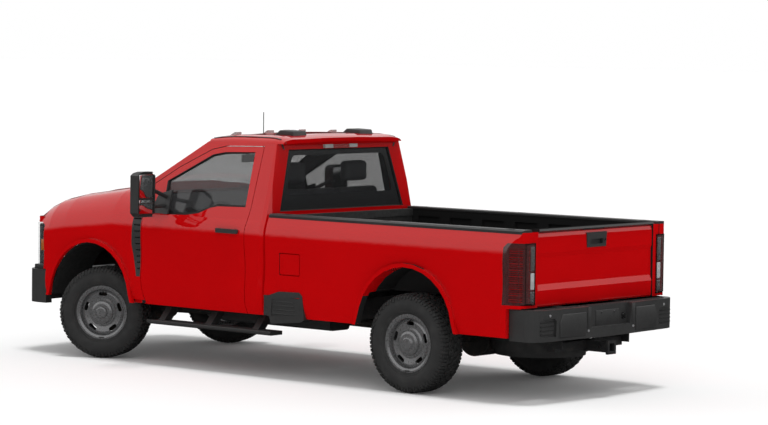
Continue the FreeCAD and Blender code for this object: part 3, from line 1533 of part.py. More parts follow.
def steering_direction():
    """The steering axis, pointing from the dashboard back and up towards the driver."""
    tilt = math.radians(S.steering_column_tilt)
    return Vector(0, math.cos(tilt), math.sin(tilt))


feature("dashboard", dash_shape())


def steering_wheel_shape():
    """The steering wheel: a round grip, four spokes and a centre pad, built about its axis."""
    grip = Part.makeTorus(S.steering_wheel_radius - S.steering_grip_radius, S.steering_grip_radius)
    reach = S.steering_wheel_radius - S.steering_grip_radius
    thin = S.steering_grip_radius * 0.6
    spoke = block(-reach, reach, -thin * 1.4, thin * 1.4, -thin * 1.2, thin * 0.6)
    cross = block(-thin * 1.4, thin * 1.4, -reach, thin, -thin * 1.2, thin * 0.6)
    pad_radius = S.steering_wheel_radius * 0.36
    pad = Part.makeCylinder(pad_radius, S.steering_grip_radius * 2.2, Vector(0, 0, -S.steering_grip_radius * 1.4))
    stub_low = -S.steering_grip_radius * 4 + S.running_gap
    stub = Part.makeCylinder(S.steering_column_radius * 0.8, -stub_low, Vector(0, 0, stub_low))
    return fused([grip, spoke, cross, pad, stub])


feature("steering_wheel", steering_wheel_shape(), FreeCAD.Placement(
    Vector(S.steering_centre_x, S.steering_centre_y, S.steering_centre_z),
    FreeCAD.Rotation(UP, steering_direction())))


# Front end

# Stations of the fender and hood from the cowl forward: place along the hood, height, and plan width.
NOSE_STATION_SHARES = (
    (0.0, 1.0, 1.0), (0.32, 0.80, 1.0), (0.55, 0.66, 0.998), (0.74, 0.48, 0.99), (0.86, 0.28, 0.972), (0.93, 0.12, 0.948), (1.0, 0.0, 0.91),
)


def nose_station(station):
    """Place along the truck, hood-edge height and width share of one station."""
    along, high, wide = station
    y = S.hood_rear_y + along * (S.hood_front_y - S.hood_rear_y)
    return y, S.hood_front_z + high * (S.hood_rear_z - S.hood_front_z), wide


# The fender's shoulder, as shares of the way from belt height to hood edge and from belt to hood width.
SHOULDER_SHARES = ((0.10, 0.22), (0.30, 0.52), (0.62, 0.84), (1.0, 1.0))


def fender_wire(y, top_z, wide, inset):
    """One closed section of the fender's body, moved inwards by an inset."""
    rise = top_z - S.body_bottom_z
    belt_share = (S.belt_z - S.body_bottom_z) / (S.hood_rear_z - S.body_bottom_z)
    edge = S.hood_half_width * wide + S.hood_gap
    skin = [
        (S.body_half_width * out * wide - inset, S.body_bottom_z + rise * belt_share * high - (inset if high else 0))
        for out, high in SIDE_SHARES]
    belt = (S.belt_half_width * wide, S.body_bottom_z + rise * belt_share)
    shoulder = [
        (belt[0] + (edge - belt[0]) * in_share - inset * (1 - in_share), belt[1] + (top_z - belt[1]) * up_share - inset)
        for in_share, up_share in ((0.0, 0.0),) + SHOULDER_SHARES]
    low_z = S.body_bottom_z - (S.cut_overrun if inset else 0)
    skin[0] = (skin[0][0], low_z)
    top = shoulder[-1]
    if inset:
        shoulder[-1] = (edge - S.cut_overrun, top[1])
    inner_x = shoulder[-1][0]
    path = skin + shoulder
    edges = [curve_through(path, y)] + lines_through([path[-1], (inner_x, low_z), path[0]], y)
    return Part.Wire(edges)


def fender_stations():
    """All stations of the fender from the door to its front edge."""
    rear = [(S.door_front_y + S.door_length * FENDER_HEEL_SHARE, S.hood_rear_z, 1.0)]
    return rear + [nose_station(station) for station in NOSE_STATION_SHARES]


def arch_outline(axle_y, grow=0.0):
    """A wheel arch's opening: a round crown on two flared feet that run on below the body."""
    radius = S.arch_radius + grow
    low = S.body_bottom_z - S.cut_overrun
    centre = S.arch_centre_z
    steps = [math.radians(angle) for angle in range(8, 173, 12)]
    crown = [(axle_y + radius * math.cos(turn), centre + radius * math.sin(turn)) for turn in steps]
    foot = S.arch_foot_half + grow
    return [(axle_y + foot, low)] + crown + [(axle_y - foot, low)]


def flare_shape(axle_y):
    """The raised lip around a wheel arch on the driver's side."""
    lip = S.flare_half_width - S.body_half_width
    depth = S.panel_skin * 9
    outer_x = S.flare_half_width
    ring = side_prism(arch_outline(axle_y, S.panel_skin * 8), outer_x - depth, outer_x)
    ring = ring.cut(side_prism(arch_outline(axle_y), outer_x - depth - lip, outer_x + lip))
    return ring.common(block(0, far_x, axle_y - far_x, axle_y + far_x, S.body_bottom_z, S.roof_top_z))


def fender_form(inset, longer=0.0):
    """The space inside the fender's outer surface moved inwards by an inset, run on past both ends."""
    stations = fender_stations()
    first, last = stations[0], stations[-1]
    if longer:
        stations = [(first[0] + longer,) + first[1:]] + stations + [(last[0] - longer,) + last[1:]]
    return Part.makeLoft([fender_wire(y, top, wide, inset) for y, top, wide in stations], True, True)


def vent_outline():
    """The outline of the black vent in the fender's rear edge, seen from the side."""
    front, rear = S.door_front_y - S.vent_length, S.door_front_y - S.panel_gap * 1.5
    low, high = S.vent_low_z, S.belt_z - S.panel_gap * 2
    return [
        (rear, low), (rear, high), (front, high - S.panel_gap * 2), (front - S.panel_gap * 2, (low + high) / 2),
        (rear - S.vent_length * 0.42, low)]


def fender_shape():
    """The driver's side fender: a thin skin with its shoulder, cut at the arch, door, lamp, vent and bumper."""
    inner = fender_form(S.panel_skin, S.cut_overrun)
    skin = fender_form(0.0).cut(inner)
    ahead = S.hood_front_y - S.cut_overrun
    lamp = side_prism([
        (ahead, S.nose_low_z), (S.headlamp_side_y - S.panel_gap, S.nose_low_z),
        (S.headlamp_side_y - S.panel_gap, S.headlamp_top_z - S.panel_gap * 3),
        (S.headlamp_side_y - S.headlamp_slant, S.headlamp_top_z + S.panel_gap),
        (ahead, S.headlamp_top_z + S.panel_gap)], 0, far_x)
    bumper = side_prism([
        (ahead, 0), (S.bumper_wrap_y + S.panel_gap, 0), (S.bumper_wrap_y + S.panel_gap, S.nose_low_z),
        (ahead, S.nose_low_z)], 0, far_x)
    for tool in (
            side_prism(arch_outline(front_axle_y), 0, far_x), lamp, bumper, side_prism(vent_outline(), 0, far_x),
            side_prism(door_opening, 0, far_x)):
        skin = skin.cut(tool)
    return skin.fuse(flare_shape(front_axle_y).cut(inner))


def vent_shape():
    """The fender vent: a thicker panel that follows the fender's surface, with three raised ribs cut free."""
    form = fender_form(0.0).cut(fender_form(S.panel_skin * 3, S.cut_overrun))
    vent = form.common(side_prism(vent_outline(), 0, far_x))
    low, high = S.vent_low_z, S.belt_z
    for share in VENT_SLOT_SHARES:
        z = low + share * (high - low)
        vent = vent.cut(block(
            S.body_half_width - S.panel_skin * 2, far_x, S.door_front_y - S.vent_length, S.door_front_y - S.panel_gap * 4,
            z, z + S.panel_gap * 2))
    return vent


# Heights of the vent's slots, as shares of its height.
VENT_SLOT_SHARES = (0.62, 0.72, 0.82)


def liner_shape():
    """The wheel-well liner over one front wheel: a curved shell with an inner wall, open below."""
    outer = side_prism(arch_outline(front_axle_y, -S.panel_gap + S.liner_thickness), S.liner_inner_x, S.body_half_width - S.panel_gap * 4)
    inner = side_prism(arch_outline(front_axle_y, -S.panel_gap), 0, far_x)
    low = block(0, far_x, -overall_length, overall_length, 0, S.body_bottom_z + S.panel_gap)
    behind = block(0, far_x, S.firewall_y - S.running_gap, 0, 0, S.roof_top_z)
    return outer.cut(inner).cut(low).cut(behind)


def inner_wing_shape():
    """The inner wing that closes the engine bay beside the wheel and carries the fender's upper edge."""
    x = S.liner_inner_x
    rear = S.firewall_y - S.panel_gap / 3
    front = nose_y + S.engine_front_gap
    top = S.hood_front_z - S.cut_overrun
    low = S.arch_centre_z + S.arch_radius - S.cut_overrun
    wall = block(x - S.liner_thickness, x, front, rear, low, top)
    ledge = block(x - S.liner_thickness, S.hood_half_width, front, rear, top, top + S.liner_thickness)
    return fused([wall, ledge])


feature("wheel_liners", Part.makeCompound(both_sides(fused([liner_shape(), inner_wing_shape()], merge_faces=False))))


def hood_wire(y, top_z, wide, below):
    """One closed section of the hood: a crowned panel with a raised dome, dropped by an amount."""
    half = S.hood_half_width * wide
    dome = S.hood_dome
    top = [(half, 0.0), (half * 0.86, 0.42), (half * 0.60, 0.62), (half * 0.50, 0.90), (half * 0.40, 1.04), (0, 1.15)]
    left = [(x, top_z + dome * share - below) for x, share in top]
    path = left + [(-x, z) for x, z in reversed(left[:-1])]
    low = top_z - S.hood_thickness - below
    edges = [curve_through(path, y)]
    edges += lines_through([path[-1], (-half, low), (half, low), path[0]], y)
    return Part.Wire(edges)


def hood_shape():
    """The hood: one panel from the cowl to the grille, with its power dome and its two hinge tabs."""
    stations = [nose_station(station) for station in NOSE_STATION_SHARES]
    panel = Part.makeLoft([hood_wire(y, top, 1.0, 0.0) for y, top, wide in stations], True, True)
    trim = plan_prism(
        [(0, S.hood_rear_y), (S.hood_half_width, S.hood_rear_y)]
        + [(S.hood_half_width * wide, y) for y, top, wide in stations[1:]] + [(0, S.hood_front_y)], 0, S.roof_top_z)
    panel = panel.common(fused([trim, mirrored(trim)]))
    return panel


hood_panel = hood_shape()


def hood_axis_y():
    """The hood's hinge axis lies just behind its rear edge."""
    return S.hood_rear_y + S.hood_axis_setback


def hood_axis_z():
    """The hood's hinge axis lies over the cowl's top."""
    return S.windshield_low_z + S.hood_barrel_radius + S.panel_gap


def hood_tab_shape():
    """A hinge arm from under the hood's rear corner back to its barrel over the cowl."""
    x = S.hood_half_width * HOOD_HINGE_SHARE
    half = S.door_open_radius
    y, z = hood_axis_y(), hood_axis_z()
    start, end = Vector(x - half, y, z), Vector(x + half, y, z)
    arm = block(x - half, x + half, y - S.hood_tab_length, y, z - S.hood_barrel_radius / 2, z + S.hood_barrel_radius / 2)
    return fused([rod(start, end, S.hood_barrel_radius), arm]).cut(
        rod(start, end, S.hood_barrel_radius / 2 + S.running_gap))


# The hood hinges' place across, as a share of the hood's half width.
HOOD_HINGE_SHARE = 0.86

feature("hood", fused([hood_panel] + both_sides(hood_tab_shape()), merge_faces=False))


def cowl_shape():
    """The black cowl panel between the hood and the windshield, with its box and the hood's hinge pins."""
    rear = windshield_y(S.windshield_low_z) - S.glass_thickness
    front = S.hood_rear_y + S.hood_gap
    top = S.windshield_low_z
    half = S.hood_half_width + S.panel_gap
    fall = S.hood_dome / 3
    bow = S.windshield_bow
    plate = plan_prism([
        (half, front), (half, rear), (half * 0.5, rear - bow * 0.8), (0, rear - bow), (-half * 0.5, rear - bow * 0.8),
        (-half, rear), (-half, front)], top - fall, top)
    box = block(-half, half, front, S.firewall_y - S.running_gap, top - S.hood_dome * 3, top - fall)
    inside = block(
        -half + S.liner_thickness, half - S.liner_thickness, front + S.liner_thickness, S.firewall_y - S.liner_thickness,
        top - S.hood_dome * 3 + S.liner_thickness, top - fall)
    x = S.hood_half_width * HOOD_HINGE_SHARE
    reach = S.door_open_radius
    radius = S.hood_barrel_radius
    y, z = hood_axis_y(), hood_axis_z()
    start, end = x - reach * 2, x + reach * 2
    hinge = [rod(Vector(start, y, z), Vector(end, y, z), radius / 2)]
    for low_x in (start, end - radius):
        hinge.append(block(low_x, low_x + radius, y - radius * 0.8, y + radius * 0.8, top - fall / 2, z + radius))
    pins = both_sides(fused(hinge))
    return fused([plate, box.cut(inside)] + pins, merge_faces=False)


feature("cowl", cowl_shape())


# Nose

def nose_plan(depth):
    """The nose's outline seen from above, from the middle to the driver's side, set back by a depth."""
    front = nose_y + S.bumper_skin + S.nose_setback + depth
    return [
        (0, front), (S.grille_half_width, front + S.nose_setback / 2),
        (S.body_half_width * 0.86, front + S.nose_setback * 1.4), (S.body_half_width * 0.93, front + S.nose_setback * 2.6)]


def grille_shape():
    """The grille: a rounded surround with broad cross bars, open between them, and a mesh of fins behind."""
    half = S.grille_half_width
    front = nose_y + S.bumper_skin + S.nose_setback
    low, high = S.nose_low_z, S.grille_top_z
    rim = S.grille_bar * 1.3
    outline = [(-half * 0.93, low), (half * 0.93, low), (half, low + rim * 2), (half, high), (-half, high), (-half, low + rim * 2)]
    surround = front_prism(outline, front, front + S.grille_depth)
    hole = front_prism([
        (-half * 0.93 + rim, low + rim), (half * 0.93 - rim, low + rim), (half - rim, low + rim * 2),
        (half - rim, high - rim), (-half + rim, high - rim), (-half + rim, low + rim * 2)],
        front - S.cut_overrun, front + S.grille_depth + S.cut_overrun)
    pieces = [surround.cut(hole)]
    count = int(S.grille_bar_count)
    pitch = (high - low - 2 * rim) / count
    for index in range(1, count):
        middle = low + rim + pitch * index
        pieces.append(block(
            -half + rim / 2, half - rim / 2, front + S.grille_depth * 0.1, front + S.grille_depth * 0.8,
            middle - S.grille_bar / 2, middle + S.grille_bar / 2))
    fins = int(S.grille_fin_count)
    for index in range(1, fins):
        x = -half + rim + (2 * half - 2 * rim) * index / fins
        thin = S.liner_thickness / 2
        pieces.append(block(
            x - thin, x + thin, front + S.grille_depth * 0.5, front + S.grille_depth * 0.9, low + rim / 2, high - rim / 2))
    return fused(pieces)


feature("grille", grille_shape())


def headlamp_shape():
    """The driver's side headlamp, wrapped round the corner from the grille to the fender."""
    plan = nose_plan(0)[1:] + [
        (S.body_half_width * 0.955, S.headlamp_side_y),
        (S.body_half_width * 0.955 - S.grille_depth * 1.4, S.headlamp_side_y),
        (S.grille_half_width + S.panel_gap / 2, nose_y + S.bumper_skin + S.nose_setback * 2.2)]
    plan[0] = (S.grille_half_width + S.panel_gap / 2, plan[0][1])
    lamp = plan_prism(plan, S.headlamp_low_z, S.headlamp_top_z)
    slope = side_prism([
        (S.headlamp_side_y + S.cut_overrun, S.headlamp_top_z - S.panel_gap * 4),
        (S.headlamp_side_y - S.headlamp_slant, S.headlamp_top_z),
        (S.headlamp_side_y + S.cut_overrun, S.headlamp_top_z + S.cut_overrun)], 0, far_x)
    return lamp.cut(slope)


headlamp = headlamp_shape()
feature("headlamps", Part.makeCompound(both_sides(headlamp)))


def nose_panel_shape():
    """The panel over the grille and lamps, up to the hood's front edge, and the carrier behind them."""
    low = S.headlamp_top_z + S.panel_gap
    edge = S.hood_front_z - S.hood_thickness - S.hood_gap
    plan = nose_plan(S.running_gap)
    back = S.headlamp_side_y - S.headlamp_slant
    half = [(x * (1 if index < 3 else 0.98), y) for index, (x, y) in enumerate(plan)]
    outline = half + [(half[-1][0], back), (0, back)]
    top = plan_prism(outline, S.grille_top_z + S.panel_gap / 2, edge)
    carrier_front = nose_y + S.bumper_skin + S.nose_setback + S.grille_depth + S.running_gap
    carrier = block(0, S.liner_inner_x, carrier_front, carrier_front + S.liner_thickness * 2, S.nose_low_z, edge)
    hole = block(
        -S.cut_overrun, S.radiator_width / 2, carrier_front - S.cut_overrun, carrier_front + S.cut_overrun,
        S.nose_low_z + S.grille_bar, edge - S.grille_bar * 2)
    side = fused([top, carrier.cut(hole)])
    return fused([side, mirrored(side)])


nose_panel = nose_panel_shape()
feature("nose_panel", nose_panel)

# The fender makes way for the lamp and the nose panel, and the cab and windshield for the fender.
fender_left = fender_shape().cut(headlamp).cut(nose_panel)
fender_right = mirrored(fender_left)
feature("fender_left", fender_left)
feature("fender_right", fender_right)
feature("cab_body", fused(
    [cab_body, bench_base_shape()] + hinge_pin_shape(1) + hinge_pin_shape(-1),
    merge_faces=False).cut(fender_left).cut(fender_right))
feature("cab_glass", Part.makeCompound([
    windshield_shape().cut(fender_left).cut(fender_right), rear_glass_shape()]))


def bumper_plan(front, wrap, half, corner, skin):
    """A bumper seen from above, from one wrapped end round the front to the other, as (x, y) points."""
    steps = [math.radians(angle) for angle in range(0, 91, 18)]
    forward = 1 if wrap > front else -1
    outer = [(half, wrap)] + [
        (half - corner + corner * math.cos(turn), front + forward * (corner * 0.62 - corner * 0.62 * math.sin(turn)) + forward * S.bumper_bow)
        for turn in steps] + [(0, front)]
    inner = [(0, front + forward * skin)] + [
        (half - corner + (corner - skin) * math.cos(turn),
         front + forward * (corner * 0.62 - (corner * 0.62 - skin) * math.sin(turn)) + forward * S.bumper_bow)
        for turn in reversed(steps)] + [(half - skin, wrap)]
    return outer + inner


def front_bumper_shape():
    """The front bumper: a wrapped steel channel with an air opening, two tow hooks and its brackets."""
    low, high = S.front_bumper_low_z, S.front_bumper_top_z
    plan = bumper_plan(nose_y, S.bumper_wrap_y, S.bumper_half_width, S.bumper_corner, S.bumper_skin)
    half = plan_prism(plan, low, high)
    nose_cut = side_prism([
        (nose_y - S.cut_overrun, low - S.cut_overrun), (nose_y + S.bumper_skin * 1.1, low - S.cut_overrun),
        (nose_y, low + S.bumper_skin * 1.2), (nose_y - S.cut_overrun, low + S.bumper_skin * 1.2)], -far_x, far_x)
    half = half.cut(nose_cut)
    vent = block(
        -S.cut_overrun, S.frame_half_width * 0.8, nose_y - S.cut_overrun, nose_y + S.bumper_skin + S.cut_overrun,
        low + (high - low) * 0.22, low + (high - low) * 0.62)
    half = half.cut(vent)
    rail_face = rail_front_y
    plate = block(
        S.frame_half_width - S.rail_width, S.frame_half_width, nose_y + S.bumper_skin / 2, rail_face,
        rail_low(rail_face), rail_low(rail_face) + S.rail_height * 0.8)
    shelf = block(
        S.frame_half_width - S.rail_width, S.frame_half_width, nose_y + S.bumper_skin / 2, rail_face,
        high - S.grille_bar, high)
    return fused([half, mirrored(half)] + both_sides(plate) + both_sides(shelf), merge_faces=False)


feature("front_bumper", front_bumper_shape())


# Bed

def bed_side_section(y):
    """The bed side's section: the outer skin from bottom to rail, and the inner wall down to the floor."""
    skin = side_points()
    under = S.bed_floor_z - S.bed_floor_thickness
    lower_inner = S.body_half_width - S.window_frame_thickness * 1.2
    rest = [
        skin[-1], (S.bed_rail_half, S.bed_rail_z), (S.bed_inner_half, S.bed_rail_z), (S.bed_inner_half, under),
        (lower_inner, under), (lower_inner, S.body_bottom_z), skin[0]]
    return [curve_through(skin, y)] + lines_through(rest, y)


def wheelhouse_shape():
    """The wheelhouse over a rear wheel inside the bed: a curved shell closed by an inner wall."""
    outer = side_prism(arch_outline(rear_axle_y, S.wheelhouse_thickness), S.wheelhouse_half, S.body_half_width - S.window_frame_thickness)
    inner = side_prism(
        arch_outline(rear_axle_y), S.wheelhouse_half + S.wheelhouse_thickness, S.body_half_width)
    low = block(0, far_x, -overall_length, overall_length, 0, S.bed_floor_z - S.bed_floor_thickness)
    return outer.cut(inner).cut(low)


def bed_corner_outline():
    """The plan outline that rounds the bed's rear corner and tapers it to the tail lamp."""
    rear = S.bed_rear_y
    radius = S.bed_corner_radius
    outer = S.body_half_width - S.bed_taper
    steps = [math.radians(angle) for angle in range(0, 91, 15)]
    arc = [(outer - radius + radius * math.cos(turn), rear - radius + radius * math.sin(turn)) for turn in steps]
    return [(0, S.bed_front_y), (far_x, S.bed_front_y), (far_x, S.tail_lamp_front_y - S.bed_corner_radius * 3),
            (S.body_half_width, S.tail_lamp_front_y)] + arc + [(0, rear)]


def tail_lamp_outline():
    """The tail lamp's outline from the side."""
    front = S.tail_lamp_front_y
    low, high = S.tail_lamp_low_z, S.tail_lamp_top_z
    return [
        (front, low), (front, high - S.bed_corner_radius / 2), (front + S.bed_corner_radius / 2, high),
        (S.bed_rear_y + S.cut_overrun, high), (S.bed_rear_y + S.cut_overrun, low)]


def bed_pocket_shapes():
    """The row of shallow upright pockets pressed into the bed's inner wall, between its ribs."""
    start = S.bed_front_y + S.bed_wall_thickness
    length = S.bed_floor_end_y - start
    count = int(S.bed_pocket_count)
    pitch = length / count
    pockets = []
    for index in range(count):
        middle = start + (index + 0.5) * pitch
        pockets.append(block(
            S.bed_inner_half - S.cut_overrun, S.bed_inner_half + S.bed_pocket_depth, middle - pitch / 3, middle + pitch / 3,
            S.bed_pocket_low_z, S.bed_rail_z - S.bed_wall_thickness))
    return pockets


def bed_side_shape():
    """The driver's side of the bed: a hollow-backed wall, its rear post, wheelhouse, arch and lip."""
    wall = carried(bed_side_section(S.bed_front_y), S.bed_rear_y - S.bed_front_y)
    post = block(
        S.bed_post_inner, S.bed_inner_half + S.panel_gap, S.bed_floor_end_y, S.bed_rear_y - S.panel_gap,
        S.tailgate_low_z, S.bed_rail_z)
    rear_foot = block(
        S.bed_post_inner, S.body_half_width - S.panel_gap * 6, S.bed_floor_end_y, S.bed_rear_y - S.panel_gap,
        S.tailgate_low_z, S.bed_floor_z)
    side = fused([wall, post, rear_foot], merge_faces=False)
    side = side.cut(Part.makeCompound(bed_pocket_shapes()))
    side = side.cut(side_prism(arch_outline(rear_axle_y), S.bed_inner_half - S.cut_overrun, far_x))
    side = fused([side, wheelhouse_shape(), flare_shape(rear_axle_y)], merge_faces=False)
    side = side.common(plan_prism(bed_corner_outline(), 0, S.roof_top_z))
    bumper = block(
        S.bed_post_inner - S.cut_overrun, far_x, S.rear_bumper_front_y - S.panel_gap, S.bed_rear_y + S.cut_overrun,
        0, S.rear_bumper_top_z + S.panel_gap)
    return side.cut(bumper)


bed_wall = bed_side_shape()


def tail_lamp_shape():
    """The driver's side tail lamp: the corner of the bed from its side to its rear face."""
    box = side_prism(tail_lamp_outline(), S.tail_lamp_inner, far_x)
    form = carried(bed_side_section(S.bed_front_y), S.bed_rear_y - S.bed_front_y)
    solid = fused([form, block(
        S.tail_lamp_inner, S.bed_inner_half + S.panel_gap, S.bed_floor_end_y, S.bed_rear_y, S.tailgate_low_z, S.bed_rail_z)],
        merge_faces=False)
    lamp = solid.common(box).common(plan_prism(bed_corner_outline(), 0, S.roof_top_z))
    core = plan_prism([
        (0, 0), (S.body_half_width - S.tail_lamp_depth, 0), (S.body_half_width - S.tail_lamp_depth, S.bed_rear_y - S.tail_lamp_depth),
        (0, S.bed_rear_y - S.tail_lamp_depth)], 0, S.roof_top_z)
    return lamp.cut(core)


tail_lamp = tail_lamp_shape()
lamp_room = side_prism(tail_lamp_outline(), S.tail_lamp_inner, far_x).cut(plan_prism([
    (0, 0), (S.body_half_width - S.tail_lamp_depth, 0),
    (S.body_half_width - S.tail_lamp_depth, S.bed_rear_y - S.tail_lamp_depth), (0, S.bed_rear_y - S.tail_lamp_depth)],
    0, S.roof_top_z))


def fuel_door_outline(grow=0.0):
    """The fuel door's outline from the side, grown for the opening round it."""
    front, low = S.fuel_door_front_y - grow, S.fuel_door_low_z - grow
    rear, high = front + S.fuel_door_length + 2 * grow, low + S.fuel_door_height + 2 * grow
    corner = S.fuel_door_height / 24
    return [
        (front + corner, low), (rear - corner, low), (rear, low + corner), (rear, high - corner),
        (rear - corner, high), (front + corner, high), (front, high - corner), (front, low + corner)]


def fuel_door_axis_y():
    """The fuel door is hinged inside its front edge."""
    return S.fuel_door_front_y + S.fuel_door_thickness * 3


def fuel_door_shape():
    """The fuel door: a thin lid that follows the bed's surface, with its hinge arm and barrel."""
    form = carried(bed_side_section(S.bed_front_y), S.bed_rear_y - S.bed_front_y)
    lid = form.common(side_prism(fuel_door_outline(), S.body_half_width * SKIN_FACE_SHARE - S.fuel_door_thickness, far_x))
    y = fuel_door_axis_y()
    x = fuel_door_axis_x()
    low, high = fuel_hinge_span()
    radius = S.fuel_door_thickness * 0.6
    barrel = Part.makeCylinder(radius, high - low, Vector(x, y, low))
    arm = block(x - radius, x + S.fuel_door_thickness * 2, y - radius / 2, y + radius * 2, low, high)
    bore = Part.makeCylinder(radius / 2 + S.running_gap, high - low, Vector(x, y, low))
    return fused([lid, fused([barrel, arm]).cut(bore)])


def fuel_door_axis_x():
    """The fuel door's hinge line, inboard of its skin."""
    return S.body_half_width * SKIN_FACE_SHARE - S.fuel_door_thickness * 2


def fuel_hinge_span():
    """The low and high end of the fuel door's hinge."""
    third = S.fuel_door_height / 3
    return S.fuel_door_low_z + third, S.fuel_door_low_z + 2 * third


fuel_face_x = S.body_half_width * SKIN_FACE_SHARE
fuel_room = side_prism(
    fuel_door_outline(S.panel_gap), fuel_face_x - S.panel_skin - S.panel_gap, far_x).fuse(side_prism(
        fuel_door_outline(S.panel_gap * 3), fuel_face_x - S.fuel_door_thickness * 7, fuel_face_x - S.panel_skin))


def fuel_pin_shape():
    """The fuel door's hinge pin across its pocket."""
    low, high = fuel_hinge_span()
    reach = S.fuel_door_height / 3 + S.panel_gap * 3
    return Part.makeCylinder(
        S.fuel_door_thickness * 0.3, high - low + 2 * reach, Vector(fuel_door_axis_x(), fuel_door_axis_y(), low - reach))


def filler_shape():
    """The filler neck's cap in the middle of the fuel pocket."""
    x = fuel_face_x - S.fuel_door_thickness * 7
    y = S.fuel_door_front_y + S.fuel_door_length * 0.6
    z = S.fuel_door_low_z + S.fuel_door_height / 2
    return Part.makeCylinder(S.fuel_door_height / 4, S.fuel_door_thickness * 2, Vector(x, y, z), Vector(1, 0, 0))


def tailgate_pin_shape():
    """The hinge pin on the bed's rear post that the tailgate turns on."""
    start = Vector(S.bed_post_inner + S.panel_gap, S.tailgate_axis_y, S.tailgate_axis_z)
    end = Vector(
        S.tailgate_half_width - S.crossmember_height + S.panel_gap, S.tailgate_axis_y, S.tailgate_axis_z)
    return rod(start, end, S.tailgate_pin_radius)


bed_wall = fused([bed_wall.cut(lamp_room), tailgate_pin_shape()], merge_faces=False)
feature("bed_side_left", fused(
    [bed_wall.cut(fuel_room), fuel_pin_shape(), filler_shape()], merge_faces=False))
feature("bed_side_right", mirrored(bed_wall))
feature("tail_lamps", Part.makeCompound(both_sides(tail_lamp)))
feature("fuel_door", fuel_door_shape())


def bed_floor_shape():
    """The ribbed bed floor with room for the wheelhouses, on cross sills over the frame."""
    half = S.bed_inner_half - S.running_gap
    start, end = S.bed_front_y + S.bed_wall_thickness, S.bed_floor_end_y
    top, low = S.bed_floor_z, S.bed_floor_z - S.bed_floor_thickness
    count = int(S.bed_rib_count)
    pitch = 2 * half / (2 * count + 1)
    outline = [(-half, low)]
    for index in range(2 * count + 1):
        level = top if index % 2 == 0 else top - S.bed_rib_height
        edge = pitch * 0.12
        left = -half + index * pitch
        outline += [(left + (edge if index else 0), level), (left + pitch - (edge if index < 2 * count else 0), level)]
    outline.append((half, low))
    outline.reverse()
    floor = front_prism(outline, start, end)
    reach = S.arch_foot_half + S.wheelhouse_thickness + S.running_gap
    room = block(
        S.wheelhouse_half - S.running_gap, half + S.cut_overrun, rear_axle_y - reach, rear_axle_y + reach, 0, S.roof_top_z)
    pieces = [floor]
    for share in BED_SILL_SHARES:
        y = start + share * (end - start)
        wide = S.bed_floor_thickness
        reach_x = S.frame_half_width if abs(y - rear_axle_y) < reach + wide * 2 else half
        under = max(rail_top(y - wide), rail_top(y + wide)) + S.running_gap
        pieces.append(block(-reach_x, reach_x, y - wide, y + wide, under, low))
    return fused(pieces).cut(room).cut(mirrored(room))


def rail_top(y):
    """The height of the frame rail's upper face at a place along the truck."""
    return rail_low(y) + S.rail_height


# Places of the bed's cross sills, as shares of its floor's length.
BED_SILL_SHARES = (0.03, 0.30, 0.52, 0.76, 0.96)

feature("bed_floor", bed_floor_shape())


def bed_front_shape():
    """The bed's front wall with its two upright ribs, from side to side."""
    half = S.bed_inner_half - S.running_gap
    start, end = S.bed_front_y, S.bed_front_y + S.bed_wall_thickness
    low = S.bed_floor_z - S.bed_floor_thickness
    wall = block(-half, half, start + S.bed_wall_thickness / 3, end - S.bed_wall_thickness / 6, low, S.bed_rail_z)
    rail = block(-half, half, start, end, S.bed_rail_z - S.bed_wall_thickness, S.bed_rail_z)
    ribs = []
    count = int(S.bed_front_rib_count)
    for index in range(count):
        x = -half + (index + 0.5) * 2 * half / count
        ribs.append(block(x - half / count / 3, x + half / count / 3, start, end - S.bed_wall_thickness / 6, low, S.bed_rail_z - S.bed_wall_thickness))
    return fused([wall, rail] + ribs)


feature("bed_front_wall", bed_front_shape())


def rail_cap_shape():
    """The black cap along the top of one bed side, with its stake pocket openings."""
    start, end = S.bed_front_y, S.bed_rear_y - S.panel_gap * 2
    thick = S.rail_cap_thickness
    outer = S.bed_rail_half + S.panel_gap
    outline = [
        (S.bed_inner_half - S.panel_gap, S.bed_rail_z), (S.bed_inner_half - S.panel_gap, S.bed_rail_z + thick * 0.7),
        (S.bed_inner_half, S.bed_rail_z + thick), (outer - thick, S.bed_rail_z + thick), (outer, S.bed_rail_z + thick * 0.4),
        (outer, S.bed_rail_z - thick * 0.6), (S.bed_rail_half + S.running_gap * 4, S.bed_rail_z - thick * 0.6),
        (S.bed_rail_half, S.bed_rail_z)]
    cap = front_prism(outline, start, end).cut(bed_wall)
    middle = (S.bed_inner_half + S.bed_rail_half) / 2
    half = (S.bed_rail_half - S.bed_inner_half) / 4
    for share in STAKE_SHARES:
        y = start + share * (end - start)
        cap = cap.cut(block(
            middle - half, middle + half, y - half * 1.6, y + half * 1.6, S.bed_rail_z - thick, S.bed_rail_z + thick * 2))
    corner = plan_prism(bed_corner_outline(), 0, S.roof_top_z)
    return cap.common(corner)


# Places of the stake pockets, as shares of the rail's length.
STAKE_SHARES = (0.06, 0.46, 0.94)

feature("bed_rail_caps", Part.makeCompound(both_sides(rail_cap_shape())))


# Tailgate

